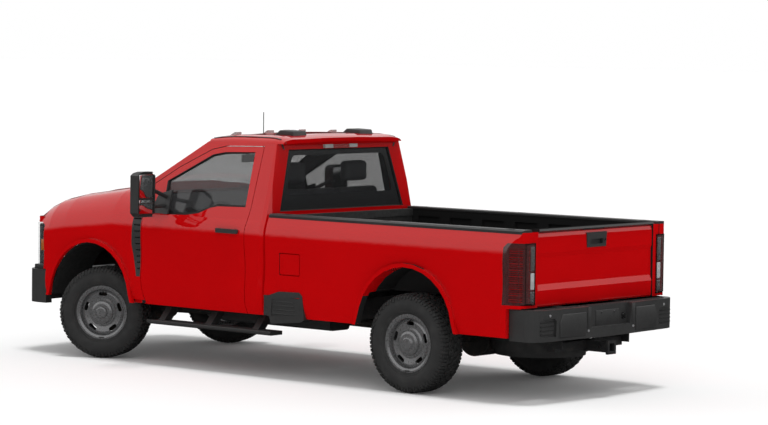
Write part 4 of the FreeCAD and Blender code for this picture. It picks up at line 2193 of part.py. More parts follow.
def tailgate_shape():
    """The tailgate: a thick panel with its raised centre field, hinge ears, spoiler cap and handle plate."""
    half = S.tailgate_half_width
    low, high = S.tailgate_low_z, S.bed_rail_z
    inner, outer = S.tailgate_inner_y, S.tailgate_outer_y
    crease = S.tailgate_crease
    rise = high - low
    outline = [
        (inner, low + crease), (inner, high), (outer - crease, high), (outer, high - rise * 0.07),
        (outer, low + rise * 0.72), (outer - crease * 0.7, low + rise * 0.66), (outer - crease * 0.5, low + rise * 0.30),
        (outer + crease * 0.3, low + rise * 0.22), (outer, low + crease), (outer - crease, low), (inner + crease, low)]
    panel = side_prism(outline, -half, half)
    cap = side_prism([
        (inner, high), (inner, high + S.rail_cap_thickness), (outer + crease, high + S.rail_cap_thickness * 1.1),
        (outer + crease * 1.4, high + S.rail_cap_thickness * 0.3), (outer - crease, high - S.rail_cap_thickness * 0.9),
        (outer - crease, high)], -half, half)
    y, z = S.tailgate_axis_y, S.tailgate_axis_z
    radius = S.tailgate_pin_radius
    ears = []
    for side in (1, -1):
        bore_end = side * (half + S.panel_gap)
        bore_start = side * (half - S.crossmember_height)
        ears.append(rod(Vector(bore_start, y, z), Vector(bore_end, y, z), radius + S.running_gap))
    panel = panel.fuse(cap)
    for ear in ears:
        panel = panel.cut(ear)
    return panel


def handle_plate_shape():
    """The black plate round the tailgate's latch handle, let into the panel."""
    half = S.handle_plate_half
    high = S.bed_rail_z - S.rail_cap_thickness * 1.5
    low = high - S.handle_plate_height
    outer = S.tailgate_outer_y
    depth = S.tailgate_crease
    return front_prism([
        (-half, high), (half, high), (half * 0.92, low), (-half * 0.92, low)], outer - depth * 2, outer + depth * 0.6)


def handle_hole_shape():
    """The hand hole in the handle plate, open below and behind the handle's bar."""
    half = S.handle_plate_half * 0.6
    low = S.bed_rail_z - S.rail_cap_thickness * 1.5 - S.handle_plate_height * 0.8
    outer = S.tailgate_outer_y
    depth = S.tailgate_crease
    return block(-half, half, outer - depth * 1.5, outer + depth, low, low + S.handle_plate_height * 0.35)


handle_plate = handle_plate_shape()
feature("tailgate", tailgate_shape().cut(handle_plate))
feature("tailgate_handle", handle_plate.cut(handle_hole_shape()))


# Rear bumper and hitch

def rear_bumper_shape():
    """The rear step bumper: wrapped ends, corner footholds, a recessed plate field and its rail brackets."""
    low, high = S.rear_bumper_low_z, S.rear_bumper_top_z
    plan = bumper_plan(tail_y, S.rear_bumper_front_y, S.bumper_half_width - S.bumper_skin / 3, S.bumper_corner / 2, S.bumper_skin)
    half = plan_prism(plan, low, high)
    shelf = plan_prism([
        (0, S.rear_bumper_inner_y), (S.bumper_half_width - S.bumper_skin * 1.6, S.rear_bumper_inner_y),
        (S.bumper_half_width - S.bumper_skin * 1.6, tail_y - S.bumper_corner / 3), (0, tail_y - S.bumper_skin / 2)],
        high - S.bumper_skin * 0.6, high)
    half = half.fuse(shelf)
    notch = front_prism([
        (0, high - S.bumper_notch_drop), (S.bumper_notch_half * 0.9, high - S.bumper_notch_drop),
        (S.bumper_notch_half, high + S.cut_overrun), (0, high + S.cut_overrun)],
        tail_y - S.bumper_notch_depth, tail_y + S.cut_overrun)
    half = half.cut(notch)
    heel = side_prism([
        (tail_y - S.bumper_skin * 0.5, low - S.cut_overrun), (tail_y + S.cut_overrun, low - S.cut_overrun),
        (tail_y + S.cut_overrun, low + S.bumper_skin)], -S.cut_overrun, far_x)
    half = half.cut(heel)
    pocket_low = low + S.bumper_pocket_rise
    pocket_high = pocket_low + S.bumper_pocket_height
    corner = S.bumper_pocket_rise / 2
    pocket = front_prism([
        (S.bumper_pocket_inner, pocket_low), (S.bumper_pocket_outer, pocket_low),
        (S.bumper_pocket_outer, pocket_high - corner), (S.bumper_pocket_outer - corner, pocket_high),
        (S.bumper_pocket_inner + corner, pocket_high), (S.bumper_pocket_inner, pocket_high - corner)],
        tail_y - S.bumper_notch_depth, tail_y + S.cut_overrun)
    half = half.cut(pocket)
    bracket = block(
        S.frame_half_width - S.rail_width, S.frame_half_width, rail_rear_y, tail_y - S.bumper_skin / 2,
        high - S.bumper_skin * 1.6, high - S.bumper_skin * 0.5)
    return fused([half, mirrored(half)] + both_sides(bracket), merge_faces=False)


feature("rear_bumper", rear_bumper_shape())


def pin_y():
    """The hitch pin's place along the receiver."""
    return tail_y - S.panel_gap - S.receiver_collar * 6.4


def receiver_shape():
    """The hitch receiver: a square socket under a cross tube that hangs from both rails."""
    outer, inner = S.receiver_outer / 2, S.receiver_inner / 2
    low = S.receiver_low_z
    middle = low + outer
    rear = tail_y - S.panel_gap
    front = rear - S.receiver_length
    socket = block(-outer, outer, front, rear, low, low + S.receiver_outer)
    collar = block(
        -outer - S.receiver_collar, outer + S.receiver_collar, rear - S.receiver_collar * 1.5, rear,
        low - S.receiver_collar, low + S.receiver_outer + S.receiver_collar)
    tube_y = front + S.hitch_tube_half
    tube_reach = S.frame_half_width + S.liner_thickness * 2
    tube = block(
        -tube_reach, tube_reach, tube_y - S.hitch_tube_half, tube_y + S.hitch_tube_half,
        middle - S.hitch_tube_half * 0.8, middle + S.hitch_tube_half * 1.2)
    plate = block(
        S.frame_half_width, tube_reach, tube_y - S.hitch_tube_half * 2, tube_y + S.hitch_tube_half * 3,
        middle, rail_low(tube_y) + S.rail_height * 0.7)
    whole = fused([socket, collar, tube] + both_sides(plate))
    whole = whole.cut(block(-inner, inner, front - S.cut_overrun, rear + S.cut_overrun, middle - inner, middle + inner))
    pin_room = rod(Vector(-outer * 2, pin_y(), middle), Vector(outer * 2, pin_y(), middle), S.receiver_pin_radius + 1)
    return whole.cut(pin_room)


feature("hitch_receiver", receiver_shape())


def pin_sleeve_shape():
    """The bored boss on each side of the receiver for the hitch pin."""
    outer = S.receiver_outer / 2
    middle_z = S.receiver_low_z + outer
    y = pin_y()
    start = outer + S.running_gap
    sleeve = rod(Vector(start, y, middle_z), Vector(start + S.receiver_collar, y, middle_z), S.receiver_pin_radius * 2)
    return sleeve.cut(rod(
        Vector(start - S.cut_overrun, y, middle_z), Vector(start + S.receiver_collar + S.cut_overrun, y, middle_z),
        S.receiver_pin_radius))


# Running boards and bed side steps

def running_board_shape():
    """The driver's side running board: a flat step with a raised edge on three brackets to the sill."""
    outer = S.running_board_half
    inner = outer - S.running_board_width
    front, rear = S.running_board_front_y, S.running_board_rear_y
    low, high = S.running_board_z, S.running_board_z + S.running_board_height
    section = [
        (inner, low), (outer - S.running_board_height / 3, low), (outer, low + S.running_board_height / 3),
        (outer, high - S.panel_gap), (outer - S.panel_gap, high), (outer - S.panel_gap * 3, high - S.panel_gap),
        (inner + S.panel_gap * 3, high - S.panel_gap), (inner, high)]
    board = front_prism(section, front, rear)
    sill_outer = S.body_half_width - S.door_thickness - S.sill_width / 2
    pieces = [board]
    for share in STEP_BRACKET_SHARES:
        y = front + share * (rear - front)
        wide = S.hinge_height / 2
        pieces.append(front_prism([
            (sill_outer - S.sill_width / 2, S.sill_low_z - S.running_gap), (sill_outer, S.sill_low_z - S.running_gap),
            (inner + S.running_board_width / 2, high - S.panel_gap * 2), (inner + S.running_board_width / 2, low + S.panel_gap),
            (inner, low + S.panel_gap), (sill_outer - S.sill_width / 2, S.sill_low_z - S.hinge_height / 2)],
            y - wide, y + wide))
    return fused(pieces)


# Places of the step's brackets, as shares of its length.
STEP_BRACKET_SHARES = (0.07, 0.45, 0.83)


def side_step_shape():
    """The black box-side step ahead of the rear wheel: a framed foothold against the bed's side."""
    front, rear = S.side_step_front_y + S.panel_gap * 2, S.side_step_rear_y
    low, high = S.side_step_low_z, S.side_step_top_z
    length, height = rear - front, high - low
    outline = [(front + along * length, low + up * height) for along, up in SIDE_STEP_SHARES]
    pocket = [(front + along * length, low + up * height) for along, up in STEP_POCKET_SHARES]
    outer = S.body_half_width + S.panel_gap
    inner = outer - S.side_step_depth
    frame = side_prism(outline, inner, outer)
    hole = side_prism(pocket, outer - S.side_step_depth * 0.8, outer + S.cut_overrun)
    frame = frame.cut(hole)
    form = carried(bed_side_section(S.bed_front_y), S.bed_rear_y - S.bed_front_y)
    return frame.cut(form)


# The side step's outline and its foothold, as shares of its length and height.
SIDE_STEP_SHARES = ((0.0, 0.84), (0.13, 0.85), (0.37, 0.98), (0.86, 1.0), (0.94, 0.90), (1.0, 0.20), (0.92, 0.12), (0.19, 0.0))
STEP_POCKET_SHARES = ((0.21, 0.74), (0.88, 0.84), (0.88, 0.31), (0.19, 0.23))

feature("side_steps", Part.makeCompound(
    both_sides(running_board_shape()) + both_sides(side_step_shape())))


# Mirrors, antenna and spare wheel

def mirror_shape():
    """The driver's tow mirror: a tall housing open at its back, carried on two arms from the door's sail."""
    outer = S.mirror_outer_x
    inner = outer - S.mirror_width
    low, high = S.mirror_low_z, S.mirror_low_z + S.mirror_height
    front, rear = S.mirror_y - S.mirror_depth, S.mirror_y
    corner = S.mirror_width / 6
    outline = [
        (inner, low + corner), (inner + corner, low), (outer - corner, low), (outer, low + corner), (outer, high - corner),
        (outer - corner * 1.5, high), (inner + corner, high), (inner, high - corner)]
    housing = front_prism(outline, front, rear)
    taper = side_prism([
        (front - S.cut_overrun, high - corner), (front - S.cut_overrun, high + corner), (rear, high + corner), (front + corner, high)],
        0, far_x * 2)
    housing = housing.cut(taper)
    rim = S.glass_thickness * 1.5
    middle = low + S.mirror_height * 0.30
    for start, end in ((low + rim, middle - rim / 2), (middle + rim / 2, high - rim)):
        housing = housing.cut(block(inner + rim, outer - rim, rear - rim * 1.5, rear + S.cut_overrun, start, end))
    arms = []
    door_x = S.belt_half_width - S.window_frame_thickness / 2
    for share in MIRROR_ARM_SHARES:
        z = low + S.mirror_height * share
        start = Vector(door_x, S.mirror_y - S.mirror_depth * 0.7, min(z, low + S.mirror_height * 0.42))
        end = Vector(inner + S.mirror_arm_radius, S.mirror_y - S.mirror_depth * 0.5, z)
        arms.append(rod(start, end, S.mirror_arm_radius))
    sail_y = S.door_front_y + S.door_length * 0.02
    sail = side_prism([
        (sail_y + S.mirror_depth * 0.6, S.belt_z + S.panel_gap), (S.mirror_y - S.mirror_depth * 0.15, S.belt_z + S.panel_gap),
        (S.mirror_y - S.mirror_depth * 0.15, S.belt_z + S.mirror_height * 0.55),
        (sail_y + S.mirror_depth * 1.3, S.belt_z + S.mirror_height * 0.45)], 0, far_x)
    lean = (S.belt_half_width - S.roof_half_width) / (S.roof_edge_z - S.belt_z)
    plate_top = S.belt_z + S.mirror_height
    plate = front_prism([
        (S.belt_half_width + S.running_gap, S.belt_z), (S.belt_half_width + S.running_gap + S.sail_thickness, S.belt_z),
        (S.belt_half_width + S.running_gap + S.sail_thickness - lean * S.mirror_height, plate_top),
        (S.belt_half_width + S.running_gap - lean * S.mirror_height, plate_top)], S.door_front_y, S.mirror_y)
    sail = sail.common(plate)
    return fused([housing, sail] + arms, merge_faces=False).cut(door_left).cut(door_glass)


# Heights of the mirror's two arms, as shares of its height.
MIRROR_ARM_SHARES = (0.22, 0.62)

mirror = mirror_shape()
feature("mirror_left", mirror)
feature("mirror_right", mirrored(mirror))


def antenna_shape():
    """The rigid mast antenna on the passenger's fender, with its round foot."""
    form = mirrored(fender_form(0.0))
    line = Part.makeLine(
        Vector(S.antenna_x, S.antenna_y, S.belt_z), Vector(S.antenna_x, S.antenna_y, S.antenna_top_z))
    seat = max(vertex.Z for vertex in form.common(line).Vertexes)
    low = seat - S.antenna_radius * 5
    foot = Part.makeCone(
        S.antenna_radius * 5, S.antenna_radius * 2, S.antenna_radius * 10, Vector(S.antenna_x, S.antenna_y, low))
    mast = Part.makeCylinder(S.antenna_radius, S.antenna_top_z - seat, Vector(S.antenna_x, S.antenna_y, seat))
    return foot.fuse(mast).cut(form)


feature("fender_trim", Part.makeCompound(both_sides(vent_shape()) + [antenna_shape()]))


def spare_shape():
    """The spare wheel lying flat under the bed, tyre and rim, hung from a crossmember by its carrier."""
    z = rail_low(S.spare_y) - S.spare_drop - S.tyre_width / 2
    axis = Vector(0, S.spare_y, z)
    half = S.tyre_width / 2
    tyre = Part.makeCylinder(S.tyre_radius - S.tyre_width / 9, 2 * half, axis - Vector(0, 0, half))
    tyre = tyre.fuse(Part.makeCylinder(S.tyre_radius, S.tread_width * 0.9, axis - Vector(0, 0, S.tread_width * 0.45)))
    disc_low = z - half + S.disc_depth
    disc_top = disc_low + S.disc_wall
    well = Part.makeCylinder(S.rim_flange_radius, S.disc_depth + S.cut_overrun, Vector(0, S.spare_y, z - half - S.cut_overrun))
    rise = Part.makeCylinder(S.bead_radius - S.rim_wall, 2 * half, Vector(0, S.spare_y, disc_top))
    hang_z = rail_low(S.spare_y) + S.rail_height * S.rail_wall_share / 2 - S.running_gap
    stem = Part.makeCylinder(S.axle_tube_radius, hang_z - disc_low, Vector(0, S.spare_y, disc_low))
    return fused([tyre.cut(well).cut(rise), stem])


feature("spare_wheel", spare_shape())
feature("hitch_pin_bosses", Part.makeCompound(both_sides(pin_sleeve_shape())))


# Check the document, then write one file a sub-part

doc.recompute()
for item in doc.Objects:
    if {"Invalid", "Error"} & set(item.State):
        raise RuntimeError(f"{item.Label} did not build")

os.makedirs("parts", exist_ok=True)
for piece in parts:
    if piece.Shape.isNull() or not piece.Shape.isValid():
        raise RuntimeError(f"{piece.Label} has no valid shape")
for piece in parts:
    piece.Shape.exportStep(f"parts/{piece.Label}.step")
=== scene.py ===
"""Looks of a regular-cab pickup truck with a long bed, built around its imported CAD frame.

Lengths are in metres in the frame's axes: +Z is up, the front faces -Y and the driver's side is +X.
"""

import logging
import math
from collections.abc import Iterable
from dataclasses import dataclass
from enum import Enum

import bmesh
import bpy
from mathutils import Matrix, Vector
from mathutils.bvhtree import BVHTree


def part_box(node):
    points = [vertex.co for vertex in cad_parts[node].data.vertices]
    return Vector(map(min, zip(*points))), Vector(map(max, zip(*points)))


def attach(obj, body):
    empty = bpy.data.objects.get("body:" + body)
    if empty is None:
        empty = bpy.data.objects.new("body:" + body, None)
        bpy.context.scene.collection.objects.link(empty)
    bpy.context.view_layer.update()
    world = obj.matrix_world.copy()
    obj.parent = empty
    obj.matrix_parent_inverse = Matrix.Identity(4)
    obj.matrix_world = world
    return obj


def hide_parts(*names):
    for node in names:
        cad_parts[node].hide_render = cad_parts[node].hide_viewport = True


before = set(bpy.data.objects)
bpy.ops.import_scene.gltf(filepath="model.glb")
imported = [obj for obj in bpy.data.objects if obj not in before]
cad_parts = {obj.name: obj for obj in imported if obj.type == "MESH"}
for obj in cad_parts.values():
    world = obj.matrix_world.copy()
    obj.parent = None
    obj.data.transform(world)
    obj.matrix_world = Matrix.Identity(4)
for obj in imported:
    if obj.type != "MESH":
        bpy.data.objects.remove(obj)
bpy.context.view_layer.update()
LOG = logging.getLogger("pickup")

Colour = tuple[float, float, float]
Point = tuple[float, float, float]
Span = tuple[float, float]
Spans = tuple[Span, ...]
Numbers = tuple[float, ...]
Points = list[bmesh.types.BMVert]
Socket = bpy.types.NodeSocket

X_AXIS = Vector((1, 0, 0))
Y_AXIS = Vector((0, 1, 0))
Z_AXIS = Vector((0, 0, 1))

WELD = 0.00005  # points of a CAD mesh closer than this are one
CLOSE = 0.00001  # points of a new piece closer than this are one
OUTSIDE = 5.0  # a distance from the middle beyond every surface
STRIP_TOP = 0.7  # share of a strip's width that its top takes
WAVE_BANDS = 3.2  # bands a metre of a wave texture with a scale of 1


class Side(Enum):
    """The driver's side is at +X."""

    LEFT = 1
    RIGHT = -1

    @property
    def ending(self) -> str:
        """The ending that the CAD names have on this side."""
        return self.name.lower()


class Slot(Enum):
    """The record's material slot names, passed to Piece.finish for new pieces."""

    BODY_PAINT = "body_paint"
    BLACK_PLASTIC = "black_plastic"
    TYRE = "tyre"
    CHASSIS = "chassis"
    LAMP_CLEAR = "lamp_clear"
    LAMP_RED = "lamp_red"
    SEAT_CLOTH = "seat_cloth"


# Finishes


class Graph:
    """A material's nodes, with short ways to add and join them."""

    def __init__(self, name: str) -> None:
        """Start from the default surface shader.

        Args:
            name: The material's name.
        """
        self.material = bpy.data.materials.new(name)
        self.material.use_nodes = True
        self.nodes = self.material.node_tree.nodes
        self.links = self.material.node_tree.links
        self.shader = self.nodes["Principled BSDF"]
        self.coordinates = self.nodes.new("ShaderNodeTexCoord")
        self.place = self.coordinates.outputs["Object"]

    def fix(self, values: dict[str, float | tuple]) -> None:
        """Set sockets of the surface shader that are the same all over.

        Args:
            values: Socket names and their values.
        """
        for name, value in values.items():
            self.shader.inputs[name].default_value = value

    def join(self, source: Socket, target: Socket) -> None:
        """Link one socket to another."""
        self.links.new(source, target)

    def drive(self, name: str, source: Socket) -> None:
        """Link a socket to one of the surface shader's."""
        self.join(source, self.shader.inputs[name])

    def math(self, operation: str, first: object, second: object = 0.0) -> Socket:
        """Work out one number from two.

        Args:
            operation: The math node's operation.
            first: A socket or a number.
            second: A socket or a number.

        Returns:
            The result's socket.
        """
        node = self.nodes.new("ShaderNodeMath")
        node.operation = operation
        for socket, value in zip(node.inputs, (first, second)):
            self.feed(value, socket)
        return node.outputs[0]

    def feed(self, value: object, socket: Socket) -> None:
        """Give a socket either a link or a plain value."""
        if isinstance(value, Socket):
            self.join(value, socket)
        else:
            socket.default_value = value

    def axis(self, index: int) -> Socket:
        """One coordinate of the surface's place."""
        node = self.nodes.new("ShaderNodeSeparateXYZ")
        self.join(self.place, node.inputs[0])
        return node.outputs[index]

    def noise(self, scale: float, detail: float = 2.0) -> Socket:
        """A soft random pattern.

        Args:
            scale: Cells a metre.
            detail: Octaves of finer noise.

        Returns:
            A value from 0 to 1.
        """
        node = self.nodes.new("ShaderNodeTexNoise")
        self.join(self.place, node.inputs["Vector"])
        node.inputs["Scale"].default_value = scale
        node.inputs["Detail"].default_value = detail
        return node.outputs["Fac"]

    def cells(self, scale: float) -> Socket:
        """A pattern of small cells, each rising from its middle."""
        node = self.nodes.new("ShaderNodeTexVoronoi")
        self.join(self.place, node.inputs["Vector"])
        node.inputs["Scale"].default_value = scale
        return node.outputs["Distance"]

    def span(self, value: Socket, start: float, end: float,
             low: float = 0.0, high: float = 1.0) -> Socket:
        """Map a range of values onto another and hold it there."""
        node = self.nodes.new("ShaderNodeMapRange")
        for socket, number in zip(node.inputs[1:5], (start, end, low, high)):
            socket.default_value = number
        self.join(value, node.inputs[0])
        return node.outputs[0]

    def blend(self, factor: Socket, first: object, second: object) -> Socket:
        """Mix two colours.

        Args:
            factor: Share of the second colour.
            first: A socket or a colour.
            second: A socket or a colour.

        Returns:
            The colour's socket.
        """
        node = self.nodes.new("ShaderNodeMix")
        node.data_type = "RGBA"
        self.join(factor, node.inputs[0])
        for socket, value in ((node.inputs[6], first), (node.inputs[7], second)):
            self.feed(value if isinstance(value, Socket) else (*value, 1.0), socket)
        return node.outputs[2]

    def bump(self, height: Socket, depth: float) -> None:
        """Raise the surface by a pattern.

        Args:
            height: The pattern, from 0 to 1.
            depth: Its height in metres.
        """
        node = self.nodes.new("ShaderNodeBump")
        node.inputs["Distance"].default_value = depth
        self.join(height, node.inputs["Height"])
        self.drive("Normal", node.outputs["Normal"])

    def facing(self, heart: Point) -> Socket:
        """1 where the surface faces a point inside the vehicle, else 0."""
        offset = self.nodes.new("ShaderNodeVectorMath")
        offset.operation = "SUBTRACT"
        self.join(self.place, offset.inputs[0])
        offset.inputs[1].default_value = heart
        along = self.nodes.new("ShaderNodeVectorMath")
        along.operation = "DOT_PRODUCT"
        self.join(offset.outputs[0], along.inputs[0])
        self.join(self.coordinates.outputs["Normal"], along.inputs[1])
        return self.math("LESS_THAN", along.outputs["Value"], 0.0)

    def within(self, low: Point, high: Point) -> Socket:
        """1 inside a box that is mirrored across the vehicle's middle, else 0."""
        inside = None
        for index in range(3):
            place = self.axis(index)
            if index == 0:
                place = self.math("ABSOLUTE", place)
            over = self.math("GREATER_THAN", place, low[index])
            under = self.math("LESS_THAN", place, high[index])
            both = self.math("MULTIPLY", over, under)
            inside = both if inside is None else self.math("MULTIPLY", inside, both)
        return inside


@dataclass(frozen=True)
class Finish:
    """A surface finish that makes its material once.

    Attributes:
        name: The material's name.
        colour: Its main colour.
        roughness: From mirror at 0 to matt at 1.
        metallic: 1 for bare metal.
    """

    name: str
    colour: Colour
    roughness: float = 0.5
    metallic: float = 0.0

    def material(self) -> bpy.types.Material:
        """The finish's material, built when it is first asked for."""
        known = bpy.data.materials.get(self.name)
        if known is not None:
            return known
        graph = Graph(self.name)
        graph.fix({"Base Color": (*self.colour, 1.0), "Roughness": self.roughness, "Metallic": self.metallic})
        self.dress(graph)
        return graph.material

    def dress(self, graph: Graph) -> None:
        """Add the finish's patterns."""
        graph.bump(graph.noise(300.0), depth=0.0002)


@dataclass(frozen=True)
class Paint(Finish):
    """Clear-coated body paint, with an unpainted lining where a panel faces inwards.

    Attributes:
        lining: Colour of the faces that look towards the heart.
        heart: A point inside the cab or the bed.
        lined_box: Two corners of a box inside which every face has the lining.
        cap_height: Height above which a black cap covers the panel.
        deepened: Brightness of the paint's deeper patches, as a share of its own.
        lining_roughness: How matt the lining is.
        lining_grain: Cells a metre of its grain, which is half as bright again as the lining.
        cap_roughness: How matt the cap is.
    """

    lining: Colour | None = None
    heart: Point = (0.0, 0.0, 0.0)
    lined_box: tuple[Point, Point] | None = None
    cap_height: float | None = None
    deepened: float = 0.86
    lining_roughness: float = 0.7
    lining_grain: float = 420.0
    cap_roughness: float = 0.6
    coat: float = 1.0
    coat_roughness: float = 0.025
    peel_scale: float = 90.0
    peel_depth: float = 0.00012

    def dress(self, graph: Graph) -> None:
        """Fine colour drift, orange peel, the clear coat and the lining."""
        drift = graph.noise(1.7, detail=3.0)
        deep = tuple(part * self.deepened for part in self.colour)
        colour = graph.blend(drift, self.colour, deep)
        rough = graph.span(drift, 0.3, 0.7, self.roughness * 0.9, self.roughness * 1.1)
        graph.fix({
            "Coat Weight": self.coat, "Coat Roughness": self.coat_roughness, "Specular IOR Level": 0.0})
        if self.lining is not None:
            inner = graph.facing(self.heart)
            if self.lined_box is not None:
                inner = graph.math("MAXIMUM", inner, graph.within(*self.lined_box))
            grain = graph.noise(self.lining_grain)
            dull = graph.blend(grain, self.lining, tuple(part * 1.5 for part in self.lining))
            colour = graph.blend(inner, colour, dull)
            rough = graph.math("MAXIMUM", rough, graph.math("MULTIPLY", inner, self.lining_roughness))
            graph.drive("Coat Weight", graph.math("SUBTRACT", 1.0, inner))
        if self.cap_height is not None:
            over = graph.math("GREATER_THAN", graph.axis(2), self.cap_height)
            colour = graph.blend(over, colour, MOULDED_BLACK)
            rough = graph.math("MAXIMUM", rough, graph.math("MULTIPLY", over, self.cap_roughness))
        graph.drive("Base Color", colour)
        graph.drive("Roughness", rough)
        graph.bump(graph.noise(self.peel_scale), self.peel_depth)


@dataclass(frozen=True)
class MouldedPlastic(Finish):
    """Black moulded plastic with a fine leather grain.

    Attributes:
        grain: Cells of the grain a metre.
        depth: The grain's height.
    """

    grain: float = 420.0
    depth: float = 0.0004

    def dress(self, graph: Graph) -> None:
        """Grain, faint scuffs and faded patches."""
        fade = graph.noise(3.0, detail=4.0)
        pale = tuple(part * 1.45 + 0.004 for part in self.colour)
        graph.drive("Base Color", graph.blend(fade, self.colour, pale))
        scuff = graph.noise(26.0, detail=5.0)
        rough = graph.span(scuff, 0.35, 0.7, self.roughness * 0.88, self.roughness * 1.15)
        graph.drive("Roughness", rough)
        graph.bump(graph.cells(self.grain), self.depth)


@dataclass(frozen=True)
class Rubber(Finish):
    """Tyre rubber, a little dusty."""

    def dress(self, graph: Graph) -> None:
        """Dust, mould grain and a soft sheen."""
        dust = graph.span(graph.noise(14.0, detail=6.0), 0.45, 0.75)
        graph.drive("Base Color", graph.blend(dust, self.colour, DUSTY_RUBBER))
        graph.bump(graph.noise(520.0, detail=3.0), depth=0.00035)


@dataclass(frozen=True)
class PaintedSteel(Finish):
    """Painted or coated steel with thin spots, dust and scratches.

    Attributes:
        worn: Colour of the thin spots.
        pits: The surface's roughness height.
    """

    worn: Colour = (0.12, 0.11, 0.10)
    pits: float = 0.0003

    def dress(self, graph: Graph) -> None:
        """Worn patches, dust and small pits."""
        patch = graph.span(graph.noise(22.0, detail=7.0), 0.52, 0.78)
        graph.drive("Base Color", graph.blend(patch, self.colour, self.worn))
        smooth, rough = self.roughness * 0.85, self.roughness * 1.2
        graph.drive("Roughness", graph.span(graph.noise(60.0, detail=4.0), 0.3, 0.7, smooth, rough))
        graph.bump(graph.noise(240.0, detail=4.0), self.pits)


@dataclass(frozen=True)
class Glass(Finish):
    """Thin tinted glass that light passes through, with a printed black border on a rear window.

    Attributes:
        alpha: How much of what is behind the glass it hides.
        clear_centre: Middle of the clear part, across and up.
        clear_half: Its half-width and half-height.
        clear_corner: Its corners' radius.
        narrowing: How much its half-width shrinks for each metre up.
        behind: The place along the vehicle behind which the border is printed.
    """

    alpha: float = 0.5
    clear_centre: Span | None = None
    clear_half: Span = (0.0, 0.0)
    clear_corner: float = 0.0
    narrowing: float = 0.0
    behind: float = 0.0

    def border(self, graph: Graph) -> Socket:
        """1 on the printed border, 0 on the clear part with its rounded corners."""
        across = graph.math("ABSOLUTE", graph.math("SUBTRACT", graph.axis(0), self.clear_centre[0]))
        up = graph.math("SUBTRACT", graph.axis(2), self.clear_centre[1])
        across = graph.math("ADD", across, graph.math("MULTIPLY", up, self.narrowing))
        beyond = []
        for place, half in ((across, self.clear_half[0]), (graph.math("ABSOLUTE", up), self.clear_half[1])):
            beyond.append(graph.math("MAXIMUM", graph.math("SUBTRACT", place, half - self.clear_corner), 0.0))
        squares = [graph.math("MULTIPLY", part, part) for part in beyond]
        reach = graph.math("SQRT", graph.math("ADD", squares[0], squares[1]))
        outside = graph.math("GREATER_THAN", reach, self.clear_corner)
        return graph.math("MULTIPLY", outside, graph.math("GREATER_THAN", graph.axis(1), self.behind))

    def dress(self, graph: Graph) -> None:
        """Faint waves and smears on a clear coat, and the border."""
        smear = graph.noise(9.0, detail=3.0)
        graph.drive("Roughness", graph.span(smear, 0.35, 0.75, 0.01, 0.045))
        graph.fix({"Coat Weight": 1.0, "Coat Roughness": 0.01, "Alpha": self.alpha})
        if self.clear_centre is not None:
            graph.drive("Alpha", graph.math("MAXIMUM", self.border(graph), self.alpha))
        graph.bump(graph.noise(2.5, detail=1.0), depth=0.0006)


@dataclass(frozen=True)
class Lens(Finish):
    """A ribbed lamp lens, coloured by place where it has two colours.

    Attributes:
        alpha: How much of what is behind the lens it hides.
        ribs: Ribs a metre.
        middle: A second colour for the middle of a lens, within a half-width.
        middle_half: That half-width.
        behind: The place along the vehicle behind which the second colour holds.
    """

    alpha: float = 1.0
    ribs: float = 160.0
    middle: Colour | None = None
    middle_half: float = 0.0
    behind: float = 0.0

    def dress(self, graph: Graph) -> None:
        """Moulded ribs under a hard clear surface."""
        graph.fix({
            "Alpha": self.alpha, "Coat Weight": 1.0, "Coat Roughness": 0.02, "Transmission Weight": 0.25})
        wave = graph.nodes.new("ShaderNodeTexWave")
        wave.bands_direction = "Z"
        graph.join(graph.place, wave.inputs["Vector"])
        wave.inputs["Scale"].default_value = self.ribs / WAVE_BANDS
        dark = tuple(part * 0.45 for part in self.colour)
        colour = graph.blend(wave.outputs["Fac"], self.colour, dark)
        if self.middle is not None:
            near = graph.math("LESS_THAN", graph.math("ABSOLUTE", graph.axis(0)), self.middle_half)
            behind = graph.math("GREATER_THAN", graph.axis(1), self.behind)
            colour = graph.blend(graph.math("MULTIPLY", near, behind), colour, self.middle)
        graph.drive("Base Color", colour)
        graph.bump(wave.outputs["Fac"], depth=0.0006)


@dataclass(frozen=True)
class Cloth(Finish):
    """Woven seat cloth with a little sheen.

    Attributes:
        threads: Threads a metre.
    """

    threads: float = 700.0

    def dress(self, graph: Graph) -> None:
        """Two crossing sets of threads and faint mottling."""
        fields = []
        for direction in ("X", "Z"):
            wave = graph.nodes.new("ShaderNodeTexWave")
            wave.bands_direction = direction
            graph.join(graph.place, wave.inputs["Vector"])
            wave.inputs["Scale"].default_value = self.threads / WAVE_BANDS
            wave.inputs["Distortion"].default_value = 0.6
            fields.append(wave.outputs["Fac"])
        weave = graph.math("MULTIPLY", fields[0], fields[1])
        mottle = graph.noise(30.0, detail=4.0)
        pale = tuple(part * 1.5 for part in self.colour)
        colour = graph.blend(graph.math("MULTIPLY", weave, mottle), self.colour, pale)
        graph.drive("Base Color", colour)
        graph.fix({"Sheen Weight": 0.3, "Sheen Roughness": 0.5})
        graph.bump(weave, depth=0.0005)


@dataclass(frozen=True)
class MirrorGlass(Finish):
    """Silvered mirror glass with faint smears."""

    def dress(self, graph: Graph) -> None:
        """Smears only."""
        graph.drive("Roughness", graph.span(graph.noise(11.0, detail=4.0), 0.3, 0.8, 0.015, 0.07))


MOULDED_BLACK: Colour = (0.020, 0.020, 0.020)
DUSTY_RUBBER: Colour = (0.030, 0.0295, 0.029)
RED: Colour = (0.56, 0.0022, 0.0035)
LINER: Colour = (0.016, 0.016, 0.016)
CAB_HEART: Point = (0.0, -0.62, 1.25)
BED_HEART: Point = (0.0, 1.40, 1.22)
NOSE_HEART: Point = (0.0, -2.2, 0.95)

